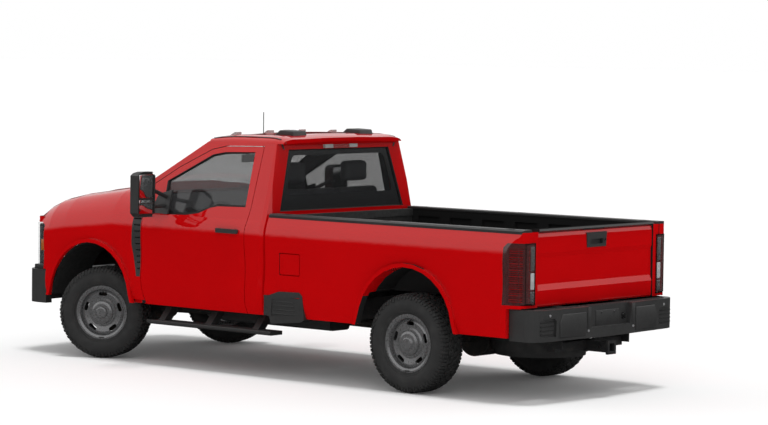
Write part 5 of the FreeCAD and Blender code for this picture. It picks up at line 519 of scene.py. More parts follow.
BODY_PAINT = Paint("red_body_paint", RED, 0.32)
CAB_PAINT = Paint("red_cab_paint", RED, 0.32, lining=(0.055, 0.055, 0.058), heart=CAB_HEART)
ROOF_PAINT = Paint("red_roof_paint", RED, 0.32, lining=(0.20, 0.20, 0.195), heart=CAB_HEART)
BED_PAINT = Paint(
    "red_bed_paint", RED, 0.32, lining=LINER, heart=BED_HEART,
    lined_box=((0.0, 0.16, 0.5), (0.880, 2.69, 1.4)))
NOSE_PAINT = Paint(
    "red_nose_paint", RED, 0.32, lining=(0.008, 0.008, 0.008), heart=NOSE_HEART,
    lined_box=((0.0, -2.795, 0.70), (0.624, -2.0, 1.152)))
GATE_PAINT = Paint("red_tailgate_paint", RED, 0.32, lining=LINER, heart=BED_HEART, cap_height=1.3335)
BLACK_PLASTIC = MouldedPlastic("black_moulded_plastic", MOULDED_BLACK, 0.52)
CAP_PLASTIC = MouldedPlastic("rail_cap_plastic", (0.016, 0.016, 0.016), 0.48, grain=260.0, depth=0.0003)
BUMPER_PLASTIC = MouldedPlastic("bumper_plastic", (0.021, 0.021, 0.021), 0.46, grain=500.0, depth=0.00025)
CABIN_PLASTIC = MouldedPlastic("cabin_plastic", (0.045, 0.045, 0.048), 0.62, grain=620.0)
BED_LINER = MouldedPlastic("sprayed_bed_liner", LINER, 0.78, grain=240.0, depth=0.0011)
ARCH_LINER = MouldedPlastic("arch_liner_felt", (0.012, 0.012, 0.012), 0.9, grain=180.0, depth=0.0009)
TANK_PLASTIC = MouldedPlastic("tank_plastic", (0.014, 0.014, 0.015), 0.55)
TYRE_RUBBER = Rubber("tyre_rubber", (0.020, 0.020, 0.020), 0.78)
WHEEL_STEEL = PaintedSteel("dark_wheel_paint", (0.20, 0.20, 0.203), 0.28, 0.55, worn=(0.24, 0.24, 0.243),
    pits=0.00006)
CHASSIS_COAT = PaintedSteel("black_chassis_coat", (0.014, 0.014, 0.015), 0.55, worn=(0.035, 0.030, 0.026))
CAST_IRON = PaintedSteel("cast_iron", (0.040, 0.038, 0.036), 0.68, 0.4, worn=(0.085, 0.062, 0.045),
    pits=0.0008)
PIPE_STEEL = PaintedSteel("exhaust_steel", (0.20, 0.185, 0.17), 0.42, 0.85, worn=(0.15, 0.10, 0.07))
BRIGHT_STEEL = PaintedSteel("bright_steel", (0.55, 0.55, 0.56), 0.25, 1.0, worn=(0.40, 0.39, 0.38),
    pits=0.00006)
SIDE_GLASS = Glass("side_window_glass", (0.030, 0.031, 0.032), 0.02, alpha=0.42)
CAB_GLASS = Glass(
    "cab_window_glass", (0.018, 0.019, 0.020), 0.02, alpha=0.36, clear_centre=(0.0, 1.672),
    clear_half=(0.640, 0.165),
    clear_corner=0.045, narrowing=0.30, behind=-0.2)
CLEAR_LENS = Glass("clear_lamp_lens", (0.30, 0.31, 0.32), 0.02, alpha=0.16)
ROOF_LENS = Lens(
    "roof_lamp_lens", (0.80, 0.79, 0.78), 0.08, alpha=0.85, middle=(0.42, 0.008, 0.010), middle_half=0.105,
    behind=-0.2)
RED_LENS = Lens("red_lamp_lens", (0.085, 0.0015, 0.002), 0.05, ribs=240.0)
SEAT_CLOTH = Cloth("seat_cloth", (0.10, 0.10, 0.105), 0.85)
MIRROR_GLASS = MirrorGlass("mirror_glass", (0.62, 0.63, 0.64), 0.03, 1.0)

GLOSS_BLACK = MouldedPlastic("gloss_black_plastic", (0.006, 0.006, 0.006), 0.16, grain=90.0, depth=0.000002)
STEP_RUBBER = MouldedPlastic("step_pad_rubber", (0.010, 0.010, 0.010), 0.8, grain=700.0, depth=0.0006)
SEAL_RUBBER = MouldedPlastic("window_seal_rubber", (0.007, 0.007, 0.007), 0.6, grain=800.0, depth=0.0002)
SENSOR_SILVER = PaintedSteel("sensor_silver", (0.42, 0.42, 0.43), 0.35, 0.6, worn=(0.36, 0.36, 0.37),
    pits=0.00005)
CHROME = PaintedSteel("lamp_reflector", (0.80, 0.80, 0.81), 0.08, 1.0, worn=(0.72, 0.72, 0.73), pits=0.00003)
REVERSE_LENS = Lens("reverse_lamp_lens", (0.74, 0.75, 0.76), 0.05, ribs=260.0)
SMOKED_LENS = Lens("smoked_tail_lens", (0.115, 0.105, 0.105), 0.05, ribs=320.0)
GUIDE_LENS = Lens("tail_guide_lens", (0.30, 0.004, 0.006), 0.08, ribs=40.0)
AMBER_LENS = Lens("amber_lens", (0.62, 0.16, 0.010), 0.08, ribs=220.0)

NODE_FINISHES: dict[Finish, tuple[str, ...]] = {
    BODY_PAINT: ("hood", "fender_left", "fender_right", "fuel_door"),
    NOSE_PAINT: ("nose_panel",),
    CAB_PAINT: ("cab_body", "door_left", "door_right"),
    ROOF_PAINT: ("cab_roof",),
    BED_PAINT: ("bed_side_left", "bed_side_right"),
    GATE_PAINT: ("tailgate",),
    BLACK_PLASTIC: (
        "cowl", "grille", "side_steps", "mirror_left", "mirror_right", "fender_trim", "door_handle_left",
        "door_handle_right", "tailgate_handle"),
    CAP_PLASTIC: ("bed_rail_caps",),
    BUMPER_PLASTIC: ("front_bumper", "rear_bumper"),
    CABIN_PLASTIC: ("dashboard", "steering_wheel"),
    BED_LINER: ("bed_floor", "bed_front_wall"),
    ARCH_LINER: ("wheel_liners",),
    TANK_PLASTIC: ("fuel_tank",),
    TYRE_RUBBER: ("tyre_front_left", "tyre_front_right", "tyre_rear_left", "tyre_rear_right", "spare_wheel"),
    WHEEL_STEEL: ("rim_front_left", "rim_front_right", "rim_rear_left", "rim_rear_right"),
    CHASSIS_COAT: (
        "tie_rod", "frame_rails", "front_suspension", "rear_suspension", "hitch_receiver",
        "hitch_pin_bosses"),
    CAST_IRON: (
        "knuckle_left", "knuckle_right", "front_axle", "rear_axle", "engine_block", "gearbox_and_shafts"),
    PIPE_STEEL: ("exhaust", "radiator"),
    SIDE_GLASS: ("door_glass_left", "door_glass_right"),
    CAB_GLASS: ("cab_glass",),
    CLEAR_LENS: ("headlamps",),
    ROOF_LENS: ("roof_lamps",),
    RED_LENS: ("tail_lamps",),
    SEAT_CLOTH: ("bench_seat",),
}


# Shared ways of making pieces


class Piece:
    """A mesh under construction that becomes one named piece."""

    def __init__(self, name: str) -> None:
        """Start an empty mesh.

        Args:
            name: The piece's name.
        """
        self.name = name
        self.bm = bmesh.new()

    def box(self, low: Point, high: Point, bevel: float = 0.0, segments: int = 2) -> Points:
        """Add a box between two corners, with rounded edges.

        Args:
            low: Its lowest corner.
            high: Its highest corner.
            bevel: Its edges' rounding.
            segments: Faces across a rounded edge.

        Returns:
            The box's points.
        """
        low, high = Vector(low), Vector(high)
        place = Matrix.Translation((low + high) / 2)
        size = Matrix.Diagonal((*(high - low), 1.0))
        made = bmesh.ops.create_cube(self.bm, size=1.0, matrix=place @ size)["verts"]
        return self.rounded(made, bevel, segments)

    def rounded(self, points: Points, bevel: float, segments: int = 2) -> Points:
        """Bevel every edge among some points."""
        if bevel <= 0:
            return points
        chosen = set(points)
        edges = [edge for edge in self.bm.edges if edge.verts[0] in chosen and edge.verts[1] in chosen]
        made = bmesh.ops.bevel(
            self.bm, geom=edges, offset=bevel, segments=segments, profile=0.5, affect="EDGES", material=-1,
            clamp_overlap=True)
        return list({*made["verts"], *(point for point in points if point.is_valid)})

    def rod(self, start: Vector, end: Vector, radius: float, end_radius: float | None = None,
            segments: int = 24) -> Points:
        """Add a round bar or cone between two points.

        Args:
            start: Its first end.
            end: Its other end.
            radius: Its radius at the first end.
            end_radius: Its radius at the other end, if it tapers.
            segments: Faces around it.

        Returns:
            The bar's points.
        """
        way = Vector(end) - Vector(start)
        turn = Z_AXIS.rotation_difference(way).to_matrix().to_4x4()
        place = Matrix.Translation((Vector(start) + Vector(end)) / 2) @ turn
        return bmesh.ops.create_cone(
            self.bm, cap_ends=True, segments=segments, radius1=radius,
            radius2=radius if end_radius is None else end_radius, depth=way.length, matrix=place)["verts"]

    def prism(self, outline: Iterable[Point], way: Vector, bevel: float = 0.0, segments: int = 2
              ) -> Points:
        """Carry a flat outline along a direction.

        Args:
            outline: Its corners in order.
            way: The direction and length.
            bevel: Rounding of its edges.
            segments: Faces across a rounded edge.

        Returns:
            The solid's points.
        """
        corners = [self.bm.verts.new(point) for point in outline]
        face = self.bm.faces.new(corners)
        grown = bmesh.ops.extrude_face_region(self.bm, geom=[face], use_keep_orig=True)["geom"]
        moved = [item for item in grown if isinstance(item, bmesh.types.BMVert)]
        bmesh.ops.translate(self.bm, verts=moved, vec=way)
        return self.rounded(corners + moved, bevel, segments)

    def spun(self, profile: Iterable[tuple[float, float]], steps: int) -> Points:
        """Turn a profile of (along, radius) points once around the X axis."""
        points = [self.bm.verts.new((along, 0.0, radius)) for along, radius in profile]
        edges = [self.bm.edges.new(pair) for pair in zip(points, points[1:])]
        before = set(self.bm.verts)
        bmesh.ops.spin(
            self.bm, geom=points + edges, cent=(0, 0, 0), axis=(1, 0, 0), angle=math.tau, steps=steps,
            use_merge=True)
        return points + [point for point in self.bm.verts if point not in before]

    def around(self, points: Points, count: int) -> None:
        """Repeat some points' faces around the X axis."""
        chosen = set(points)
        faces = [face for face in self.bm.faces if all(point in chosen for point in face.verts)]
        edges = {edge for face in faces for edge in face.edges}
        bmesh.ops.spin(
            self.bm, geom=[*chosen, *edges, *faces], cent=(0, 0, 0), axis=(1, 0, 0),
            angle=math.tau * (count - 1) / count, steps=count - 1, use_duplicate=True)

    def ring(self, outline: Iterable[Point], width: float, way: Vector, bevel: float = 0.0
             ) -> Points:
        """Carry the border of a flat outline along a direction.

        Args:
            outline: Its outer corners in order.
            width: The border's width.
            way: The direction and length.
            bevel: Rounding of its edges.

        Returns:
            The frame's points.
        """
        face = self.bm.faces.new([self.bm.verts.new(point) for point in outline])
        border = bmesh.ops.inset_region(self.bm, faces=[face], thickness=width, use_even_offset=True)["faces"]
        bmesh.ops.delete(self.bm, geom=[face], context="FACES")
        grown = bmesh.ops.extrude_face_region(self.bm, geom=border, use_keep_orig=True)["geom"]
        moved = [item for item in grown if isinstance(item, bmesh.types.BMVert)]
        bmesh.ops.translate(self.bm, verts=moved, vec=way)
        corners = {point for face in border for point in face.verts}
        return self.rounded([*corners, *moved], bevel)

    def strip(self, path: list[Vector], across: Vector, width: float, height: float) -> Points:
        """Carry a flat section along a path.

        Args:
            path: The path's points.
            across: The direction of the section's width.
            width: Its width.
            height: Its height, upwards from the path.

        Returns:
            The strip's points.
        """
        half = across.normalized() * width / 2
        rise = (path[1] - path[0]).cross(half).normalized() * height
        if rise.z < 0:
            rise = -rise
        top = half * STRIP_TOP
        section = [self.bm.verts.new(path[0] + part) for part in (-half, half, rise + top, rise - top)]
        end = self.bm.faces.new(section)
        made = list(section)
        for near, far in zip(path, path[1:]):
            grown = bmesh.ops.extrude_face_region(self.bm, geom=[end])["geom"]
            moved = [item for item in grown if isinstance(item, bmesh.types.BMVert)]
            end = next(item for item in grown if isinstance(item, bmesh.types.BMFace))
            bmesh.ops.translate(self.bm, verts=moved, vec=far - near)
            made += moved
        return made

    def shrunk(self, node: str, gap: float) -> None:
        """Copy a CAD node's shape, drawn in from its surface.

        Args:
            node: The CAD node.
            gap: How far inside it lies.
        """
        self.bm.from_mesh(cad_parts[node].data)
        bmesh.ops.remove_doubles(self.bm, verts=self.bm.verts[:], dist=WELD)
        bmesh.ops.recalc_face_normals(self.bm, faces=self.bm.faces[:])
        self.bm.normal_update()
        inward = {point: -point.normal * gap * point.calc_shell_factor() for point in self.bm.verts}
        for point, step in inward.items():
            point.co += step

    def border(self, node: str, outward: Vector, width: float, lift: float, least: float = 0.8) -> None:
        """Copy the border of a CAD node's outer face, and thicken it outwards.

        Args:
            node: The CAD node.
            outward: The direction that the face looks in.
            width: The border's width.
            lift: Its thickness.
            least: How squarely a face must look outwards to count.
        """
        skin = bmesh.new()
        skin.from_mesh(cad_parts[node].data)
        bmesh.ops.remove_doubles(skin, verts=skin.verts[:], dist=WELD)
        away = [face for face in skin.faces if face.normal.dot(outward) < least]
        bmesh.ops.delete(skin, geom=away, context="FACES")
        bmesh.ops.dissolve_limit(
            skin, angle_limit=math.radians(1.0), verts=skin.verts[:], edges=skin.edges[:])
        edge = bmesh.ops.inset_region(
            skin, faces=skin.faces[:], thickness=width, use_boundary=True, use_even_offset=False)["faces"]
        kept = set(edge)
        bmesh.ops.delete(skin, geom=[face for face in skin.faces if face not in kept], context="FACES")
        bmesh.ops.solidify(skin, geom=skin.faces[:], thickness=-lift)
        part = bpy.data.meshes.new("border_part")
        skin.to_mesh(part)
        skin.free()
        self.bm.from_mesh(part)
        bpy.data.meshes.remove(part)

    def mirrored(self) -> None:
        """Add the mirror image of all that is there across the vehicle's middle."""
        geom = self.bm.verts[:] + self.bm.edges[:] + self.bm.faces[:]
        copy = bmesh.ops.duplicate(self.bm, geom=geom)["geom"]
        moved = [item for item in copy if isinstance(item, bmesh.types.BMVert)]
        bmesh.ops.scale(self.bm, verts=moved, vec=(-1, 1, 1))
        faces = [item for item in copy if isinstance(item, bmesh.types.BMFace)]
        bmesh.ops.reverse_faces(self.bm, faces=faces)

    def placed(self, matrix: Matrix) -> None:
        """Move the whole mesh."""
        bmesh.ops.transform(self.bm, matrix=matrix, verts=self.bm.verts[:])

    def on_wheel(self, box: tuple[Point, Point], turn: float) -> None:
        """Move a mesh made round the origin to a wheel's middle.

        Args:
            box: The wheel's lowest and highest corner.
            turn: Its turn about the upright axis, in degrees.
        """
        middle = (Vector(box[0]) + Vector(box[1])) / 2
        self.placed(Matrix.Translation(middle) @ Matrix.Rotation(math.radians(turn), 4, "Z"))

    def on_side(self, side: Side) -> None:
        """Mirror a mesh made for the driver's side where it is the other side's."""
        if side is Side.RIGHT:
            bmesh.ops.scale(self.bm, verts=self.bm.verts[:], vec=(-1, 1, 1))

    def finish(self, finish: Finish, body: str = "truck", slot: Slot = Slot.BLACK_PLASTIC,
               replaces: tuple[str, ...] = (), angle: float = 35.0) -> bpy.types.Object:
        """Make the piece's object and say what it rides on.

        Args:
            finish: Its surface.
            body: The CAD body that it moves with.
            slot: The record's slot for its surface; not used.
            replaces: CAD nodes that it stands for.
            angle: Edges sharper than this stay sharp.

        Returns:
            The finished object.
        """
        bmesh.ops.remove_doubles(self.bm, verts=self.bm.verts[:], dist=CLOSE)
        bmesh.ops.recalc_face_normals(self.bm, faces=self.bm.faces[:])
        mesh = bpy.data.meshes.new(self.name)
        self.bm.to_mesh(mesh)
        self.bm.free()
        mesh.shade_smooth()
        mesh.set_sharp_from_angle(angle=math.radians(angle))
        mesh.materials.append(finish.material())
        piece = bpy.data.objects.new(self.name, mesh)
        bpy.context.scene.collection.objects.link(piece)
        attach(piece, body)
        if replaces:
            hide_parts(*replaces)
        LOG.info("%s: %d faces", self.name, len(mesh.polygons))
        return piece


class Skin:
    """The outer surface of some CAD nodes, for pieces that sit on it."""

    def __init__(self, *nodes: str) -> None:
        """Gather the nodes' faces.

        Args:
            nodes: The CAD nodes.
        """
        points, faces = [], []
        for node in nodes:
            mesh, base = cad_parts[node].data, len(points)
            points += [point.co.copy() for point in mesh.vertices]
            faces += [[base + index for index in face.vertices] for face in mesh.polygons]
        self.tree = BVHTree.FromPolygons(points, faces)

    def point(self, start: Point, way: Vector) -> Vector:
        """The first point that a ray meets.

        Args:
            start: Where the ray starts.
            way: Its direction.

        Returns:
            The point on the surface.
        """
        found = self.tree.ray_cast(Vector(start), way)[0]
        if found is None:
            raise ValueError(f"no surface from {tuple(start)}")
        return found

    def from_rear(self, x: float, z: float) -> Vector:
        """The surface point seen from behind."""
        return self.point((x, OUTSIDE, z), -Y_AXIS)

    def from_front(self, x: float, z: float) -> Vector:
        """The surface point seen from the front."""
        return self.point((x, -OUTSIDE, z), Y_AXIS)

    def from_side(self, y: float, z: float) -> Vector:
        """The surface point seen from the driver's side."""
        return self.point((OUTSIDE, y, z), -X_AXIS)

    def from_top(self, x: float, y: float) -> Vector:
        """The surface point seen from above."""
        return self.point((x, y, OUTSIDE), -Z_AXIS)


# Sub-assemblies


@dataclass
class CarriedNodes:
    """The CAD nodes that stay, each given its finish."""

    finishes: dict[Finish, tuple[str, ...]]

    def build(self) -> None:
        """Assign every node's material."""
        for finish, names in self.finishes.items():
            for name in names:
                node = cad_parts[name]
                if not node.material_slots:
                    node.data.materials.append(finish.material())
                for slot in node.material_slots:
                    slot.material = finish.material()
        LOG.info("dressed %d nodes", sum(len(names) for names in self.finishes.values()))


@dataclass
class TreadTyre:
    """An all-terrain tyre with staggered tread blocks, shoulder lugs and sidewall ribs.

    Attributes:
        ending: The wheel's place in the CAD names.
        turn: The wheel's turn about the upright axis, in degrees.
        lower_flank: Steps out from the bead, each with its share of the sidewall's height.
        upper_flank: Steps out from the widest place, each with its share of the height.
        rows: Near end, far end and skew of each row of tread blocks.
        rib_heights: Inner and outer radius of the two kinds of sidewall rib.
    """

    ending: str
    turn: float
    radius: float = 0.4008
    half_width: float = 0.1322
    tread_half: float = 0.107
    bead_radius: float = 0.2185
    bead_half: float = 0.096
    tread_depth: float = 0.011
    pitches: int = 38
    steps: int = 96
    lower_flank: Spans = (
        (0.0, 0.0), (0.004, 0.10), (0.016, 0.19), (0.021, 0.21), (0.022, 0.25), (0.027, 0.28))
    upper_flank: Spans = ((-0.003, 0.40), (0.0, 0.50), (-0.001, 0.62), (-0.006, 0.76), (-0.014, 0.90))
    shoulder_drop: float = 0.004
    crown_share: float = 0.6
    crown_rise: float = 0.001
    block_root: float = 0.004
    block_share: float = 0.66
    rows: tuple[Point, ...] = ((0.004, 0.034, 0.010), (0.040, 0.070, -0.008))
    row_start: float = 0.36
    row_stagger: float = 0.4
    lug_inner: float = 0.076
    lug_reaches: Span = (0.1165, 0.1225)
    lug_share: float = 0.33
    lug_skew: float = 0.003
    lug_drops: Span = (0.010, 0.016)
    rib_inner: float = 0.112
    rib_heights: Spans = ((0.350, 0.379), (0.362, 0.383))
    rib_share: float = 0.30
    rib_sink: float = 0.0005
    rib_slope: float = 0.009
    close: float = 0.0001

    def carcass(self, piece: Piece) -> None:
        """The tyre's body under its tread."""
        base = self.radius - self.tread_depth
        flank = base - self.bead_radius
        half = [
            (foot + out, self.bead_radius + flank * share)
            for foot, table in ((self.bead_half, self.lower_flank), (self.half_width, self.upper_flank))
            for out, share in table]
        half += [
            (self.tread_half, base - self.shoulder_drop), (self.tread_half * self.crown_share, base),
            (0.0, base + self.crown_rise)]
        piece.spun(half + [(-along, radius) for along, radius in reversed(half[:-1])], self.steps)

    def block(self, piece: Piece, along: Span, around: Span, skew: float = 0.0, drop: float = 0.0) -> Points:
        """One tread block at the top of the tyre.

        Args:
            piece: The mesh.
            along: Its ends across the tread.
            around: Its ends around the tyre.
            skew: How far its outer end runs ahead.
            drop: How much lower its outer end is.

        Returns:
            The block's points.
        """
        base = self.radius - self.tread_depth - self.block_root
        points = piece.box((along[0], around[0], base), (along[1], around[1], self.radius))
        outer = max(abs(along[0]), abs(along[1]))
        for point in points:
            if abs(abs(point.co.x) - outer) < self.close:
                point.co.y += skew
                point.co.z -= drop
            point.co.z -= self.radius - math.sqrt(self.radius ** 2 - point.co.y ** 2)
        return piece.rounded(points, bevel=0.0016, segments=1)

    def rib(self, piece: Piece, side: int, start: float, span: float, height: Span) -> Points:
        """One sidewall rib at the top of the tyre.

        Args:
            piece: The mesh.
            side: 1 or -1 for the wheel's two flanks.
            start: Where it starts around the tyre.
            span: Its length around the tyre.
            height: Its inner and outer radius.

        Returns:
            The rib's points.
        """
        low, high = height
        outer = side * (self.half_width - self.rib_sink)
        inner = side * self.rib_inner
        points = piece.box((min(inner, outer), start, low), (max(inner, outer), start + span, high))
        for point in points:
            if abs(point.co.x - inner) > self.close and point.co.z > high - self.close:
                point.co.x -= side * self.rib_slope
        return piece.rounded(points, bevel=0.0015, segments=1)

    def tread(self, piece: Piece) -> None:
        """One pitch of the tread and its sidewall ribs, repeated around the tyre."""
        pitch = math.tau * self.radius / self.pitches
        points = []
        for side in (-1, 1):
            shift = 0.0 if side > 0 else pitch / 2
            for row, (near, far, skew) in enumerate(self.rows):
                start = -pitch * self.row_start + shift + row * pitch * self.row_stagger
                points += self.block(
                    piece, (side * near, side * far), (start, start + pitch * self.block_share), skew * side)
            for index, (reach, drop) in enumerate(zip(self.lug_reaches, self.lug_drops)):
                start = (index - 1) * pitch / 2 + shift
                points += self.block(
                    piece, (side * self.lug_inner, side * reach), (start, start + pitch * self.lug_share),
                    self.lug_skew, drop)
            for index, height in enumerate(self.rib_heights):
                start = (index - 1) * pitch / 2 + shift
                points += self.rib(piece, side, start, pitch * self.rib_share, height)
        piece.around(points, self.pitches)

    def build(self) -> None:
        """Make the tyre and put it where the CAD tyre is."""
        node = f"tyre_{self.ending}"
        piece = Piece(f"tread_{node}")
        self.carcass(piece)
        self.tread(piece)
        piece.on_wheel(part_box(node), self.turn)
        piece.finish(TYRE_RUBBER, f"wheel_{self.ending}", Slot.TYRE, (node,), angle=30.0)


@dataclass
class Bench:
    """The padded bench seat: three cushions, three back pads and two head restraints.

    Attributes:
        swell: How far the air may move a point.
        cushion: Distances from the seat's front and rear, then a cushion's foot and top over the seat's foot.
        back: Two distances from the seat's rear, a pad's foot over the seat's foot and its top under the top.
        rest: The same for a head restraint, with both heights under the seat's top.
    """

    width: float = 1.44
    middle_width: float = 0.34
    gap: float = 0.006
    voxel: float = 0.010
    frames: int = 20
    pressure: float = 4.0
    swell: float = 0.014
    soft: float = 0.045
    cushion: tuple[float, float, float, float] = (0.02, 0.15, 0.02, 0.175)
    back: tuple[float, float, float, float] = (0.20, 0.09, 0.12, 0.222)
    back_lean: float = 0.07
    rest: tuple[float, float, float, float] = (0.105, 0.012, 0.18, 0.008)
    rest_places: Span = (-0.40, 0.40)
    rest_half: float = 0.145
    rest_soft: float = 0.035

    def pad(self, piece: Piece, low: Point, high: Point, lean: float = 0.0,
            soft: float | None = None) -> None:
        """One pad, rounded and leaning back from its foot.

        Args:
            piece: The mesh.
            low: Its lowest corner.
            high: Its highest corner.
            lean: How far its top stands behind its foot.
            soft: Rounding of its edges.
        """
        points = piece.box(low, high, self.soft if soft is None else soft, segments=4)
        rise = high[2] - low[2]
        for point in points:
            point.co.y += lean * (point.co.z - low[2]) / rise

    def stations(self) -> list[Span]:
        """The ends of the three seats across the cab."""
        half, middle = self.width / 2, self.middle_width / 2
        return [(-half, -middle - self.gap), (-middle, middle), (middle + self.gap, half)]

    def puffed(self, piece: bpy.types.Object) -> None:
        """Remesh a pad, let air pressure crown it, and smooth it."""
        remesh = piece.modifiers.new("cells", "REMESH")
        remesh.mode = "VOXEL"
        remesh.voxel_size = self.voxel
        self.apply(piece)
        rest = [point.co.copy() for point in piece.data.vertices]
        cloth = piece.modifiers.new("air", "CLOTH")
        cloth.settings.use_pressure = True
        cloth.settings.uniform_pressure_force = self.pressure
        cloth.settings.effector_weights.gravity = 0.0
        cloth.point_cache.frame_start = 1
        cloth.point_cache.frame_end = self.frames
        for number in range(1, self.frames + 1):
            bpy.context.scene.frame_set(number)
        self.apply(piece)
        for point, start in zip(piece.data.vertices, rest):
            way = point.co - start
            if way.length > self.swell:
                point.co = start + way * (self.swell / way.length)
        bpy.context.scene.frame_set(1)
        finer = piece.modifiers.new("finer", "SUBSURF")
        finer.levels = finer.render_levels = 1
        self.apply(piece)

    def apply(self, piece: bpy.types.Object) -> None:
        """Turn the piece's modifiers into its mesh."""
        shape = piece.evaluated_get(bpy.context.evaluated_depsgraph_get())
        mesh = bpy.data.meshes.new_from_object(shape)
        piece.modifiers.clear()
        piece.data = mesh
        mesh.shade_smooth()

    def build(self) -> None:
        """Make the cushions, the backs and the head restraints."""
        low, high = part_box("bench_seat")
        (_, front, foot), (_, rear, top) = low, high
        cushions, backs, rests = Piece("seat_cushions"), Piece("seat_backs"), Piece("head_restraints")
        for start, end in self.stations():
            near, far, low, high = self.cushion
            self.pad(cushions, (start, front + near, foot + low), (end, rear - far, foot + high))
            near, far, low, high = self.back
            self.pad(backs, (start, rear - near, foot + low), (end, rear - far, top - high), self.back_lean)
        near, far, low, high = self.rest
        for centre in self.rest_places:
            self.pad(
                rests, (centre - self.rest_half, rear - near, top - low),
                (centre + self.rest_half, rear - far, top - high), soft=self.rest_soft)
        for index, piece in enumerate((cushions, backs, rests)):
            made = piece.finish(
                SEAT_CLOTH, "truck", Slot.SEAT_CLOTH, ("bench_seat",) if index == 0 else (), angle=180.0)
            self.puffed(made)


@dataclass
class TailLampDetail:
    """Lens blocks, light guides and dark bezels of both tail lamps."""

    column: Span = (0.824, 0.872)
    lens_ends: Spans = ((0.800, 0.885), (0.900, 1.030), (1.045, 1.235))
    lens_root: float = 0.006
    bulb_radii: Span = (0.020, 0.014)
    bulb_depth: float = 0.003
    middle_z: float = 1.0
    guide_inner: float = 0.884
    guide_corner: float = 0.948
    guide_end: float = 2.655
    guide_count: int = 26
    guide_ends: Span = (0.805, 1.232)
    guide_share: float = 0.38
    guide_root: float = 0.003
    proud: float = 0.0035
    bezel_width: float = 0.009
    bezel_squareness: float = 0.9

    def lenses(self, skin: Skin) -> None:
        """The clear column: a bright reversing lens between two smoked ones."""
        inner, outer = self.column
        rear = skin.from_rear(inner, self.middle_z).y
        smoked, bright = Piece("smoked_tail_lenses"), Piece("reverse_lamp_lenses")
        for piece, (low, high) in zip((smoked, bright, smoked), self.lens_ends):
            piece.box(
                (inner, rear - self.lens_root, low), (outer, rear + self.proud, high),
                bevel=0.005, segments=3)
        low, high = self.lens_ends[1]
        middle = Vector(((inner + outer) / 2, rear + self.proud, (low + high) / 2))
        bright.rod(middle, middle + Y_AXIS * self.bulb_depth, *self.bulb_radii, segments=32)
        for piece, finish in ((smoked, SMOKED_LENS), (bright, REVERSE_LENS)):
            piece.mirrored()
            piece.finish(finish, "truck", Slot.LAMP_CLEAR)

    def guides(self, skin: Skin) -> None:
        """Thin red bars that wrap the corner."""
        piece = Piece("tail_light_guides")
        low, high = self.guide_ends
        pitch = (high - low) / self.guide_count
        for index in range(self.guide_count):
            z = low + pitch * index
            inner = skin.from_rear(self.guide_inner, z)
            corner = skin.from_rear(self.guide_corner, z)
            outer = skin.from_side(self.guide_end, z)
            for start, end in ((inner, corner), (corner, outer)):
                along = (end - start).normalized()
                out = along.cross(Z_AXIS).normalized()
                out = out if out.y > 0 else -out
                root, face = out * self.guide_root, out * self.proud
                base = [start - root, end - root, end + face, start + face]
                piece.prism([tuple(point) for point in base], Z_AXIS * pitch * self.guide_share)
        piece.mirrored()
        piece.finish(GUIDE_LENS, "truck", Slot.LAMP_RED)

    def bezels(self) -> None:
        """A dark glossy border round each lamp's rear and outer faces."""
        piece = Piece("tail_lamp_bezels")
        piece.border("tail_lamps", Y_AXIS, self.bezel_width, self.proud, self.bezel_squareness)
        piece.finish(GLOSS_BLACK)

    def build(self) -> None:
        """Make the lamps' pieces."""
        skin = Skin("tail_lamps")
        self.lenses(skin)
        self.guides(skin)
        self.bezels()


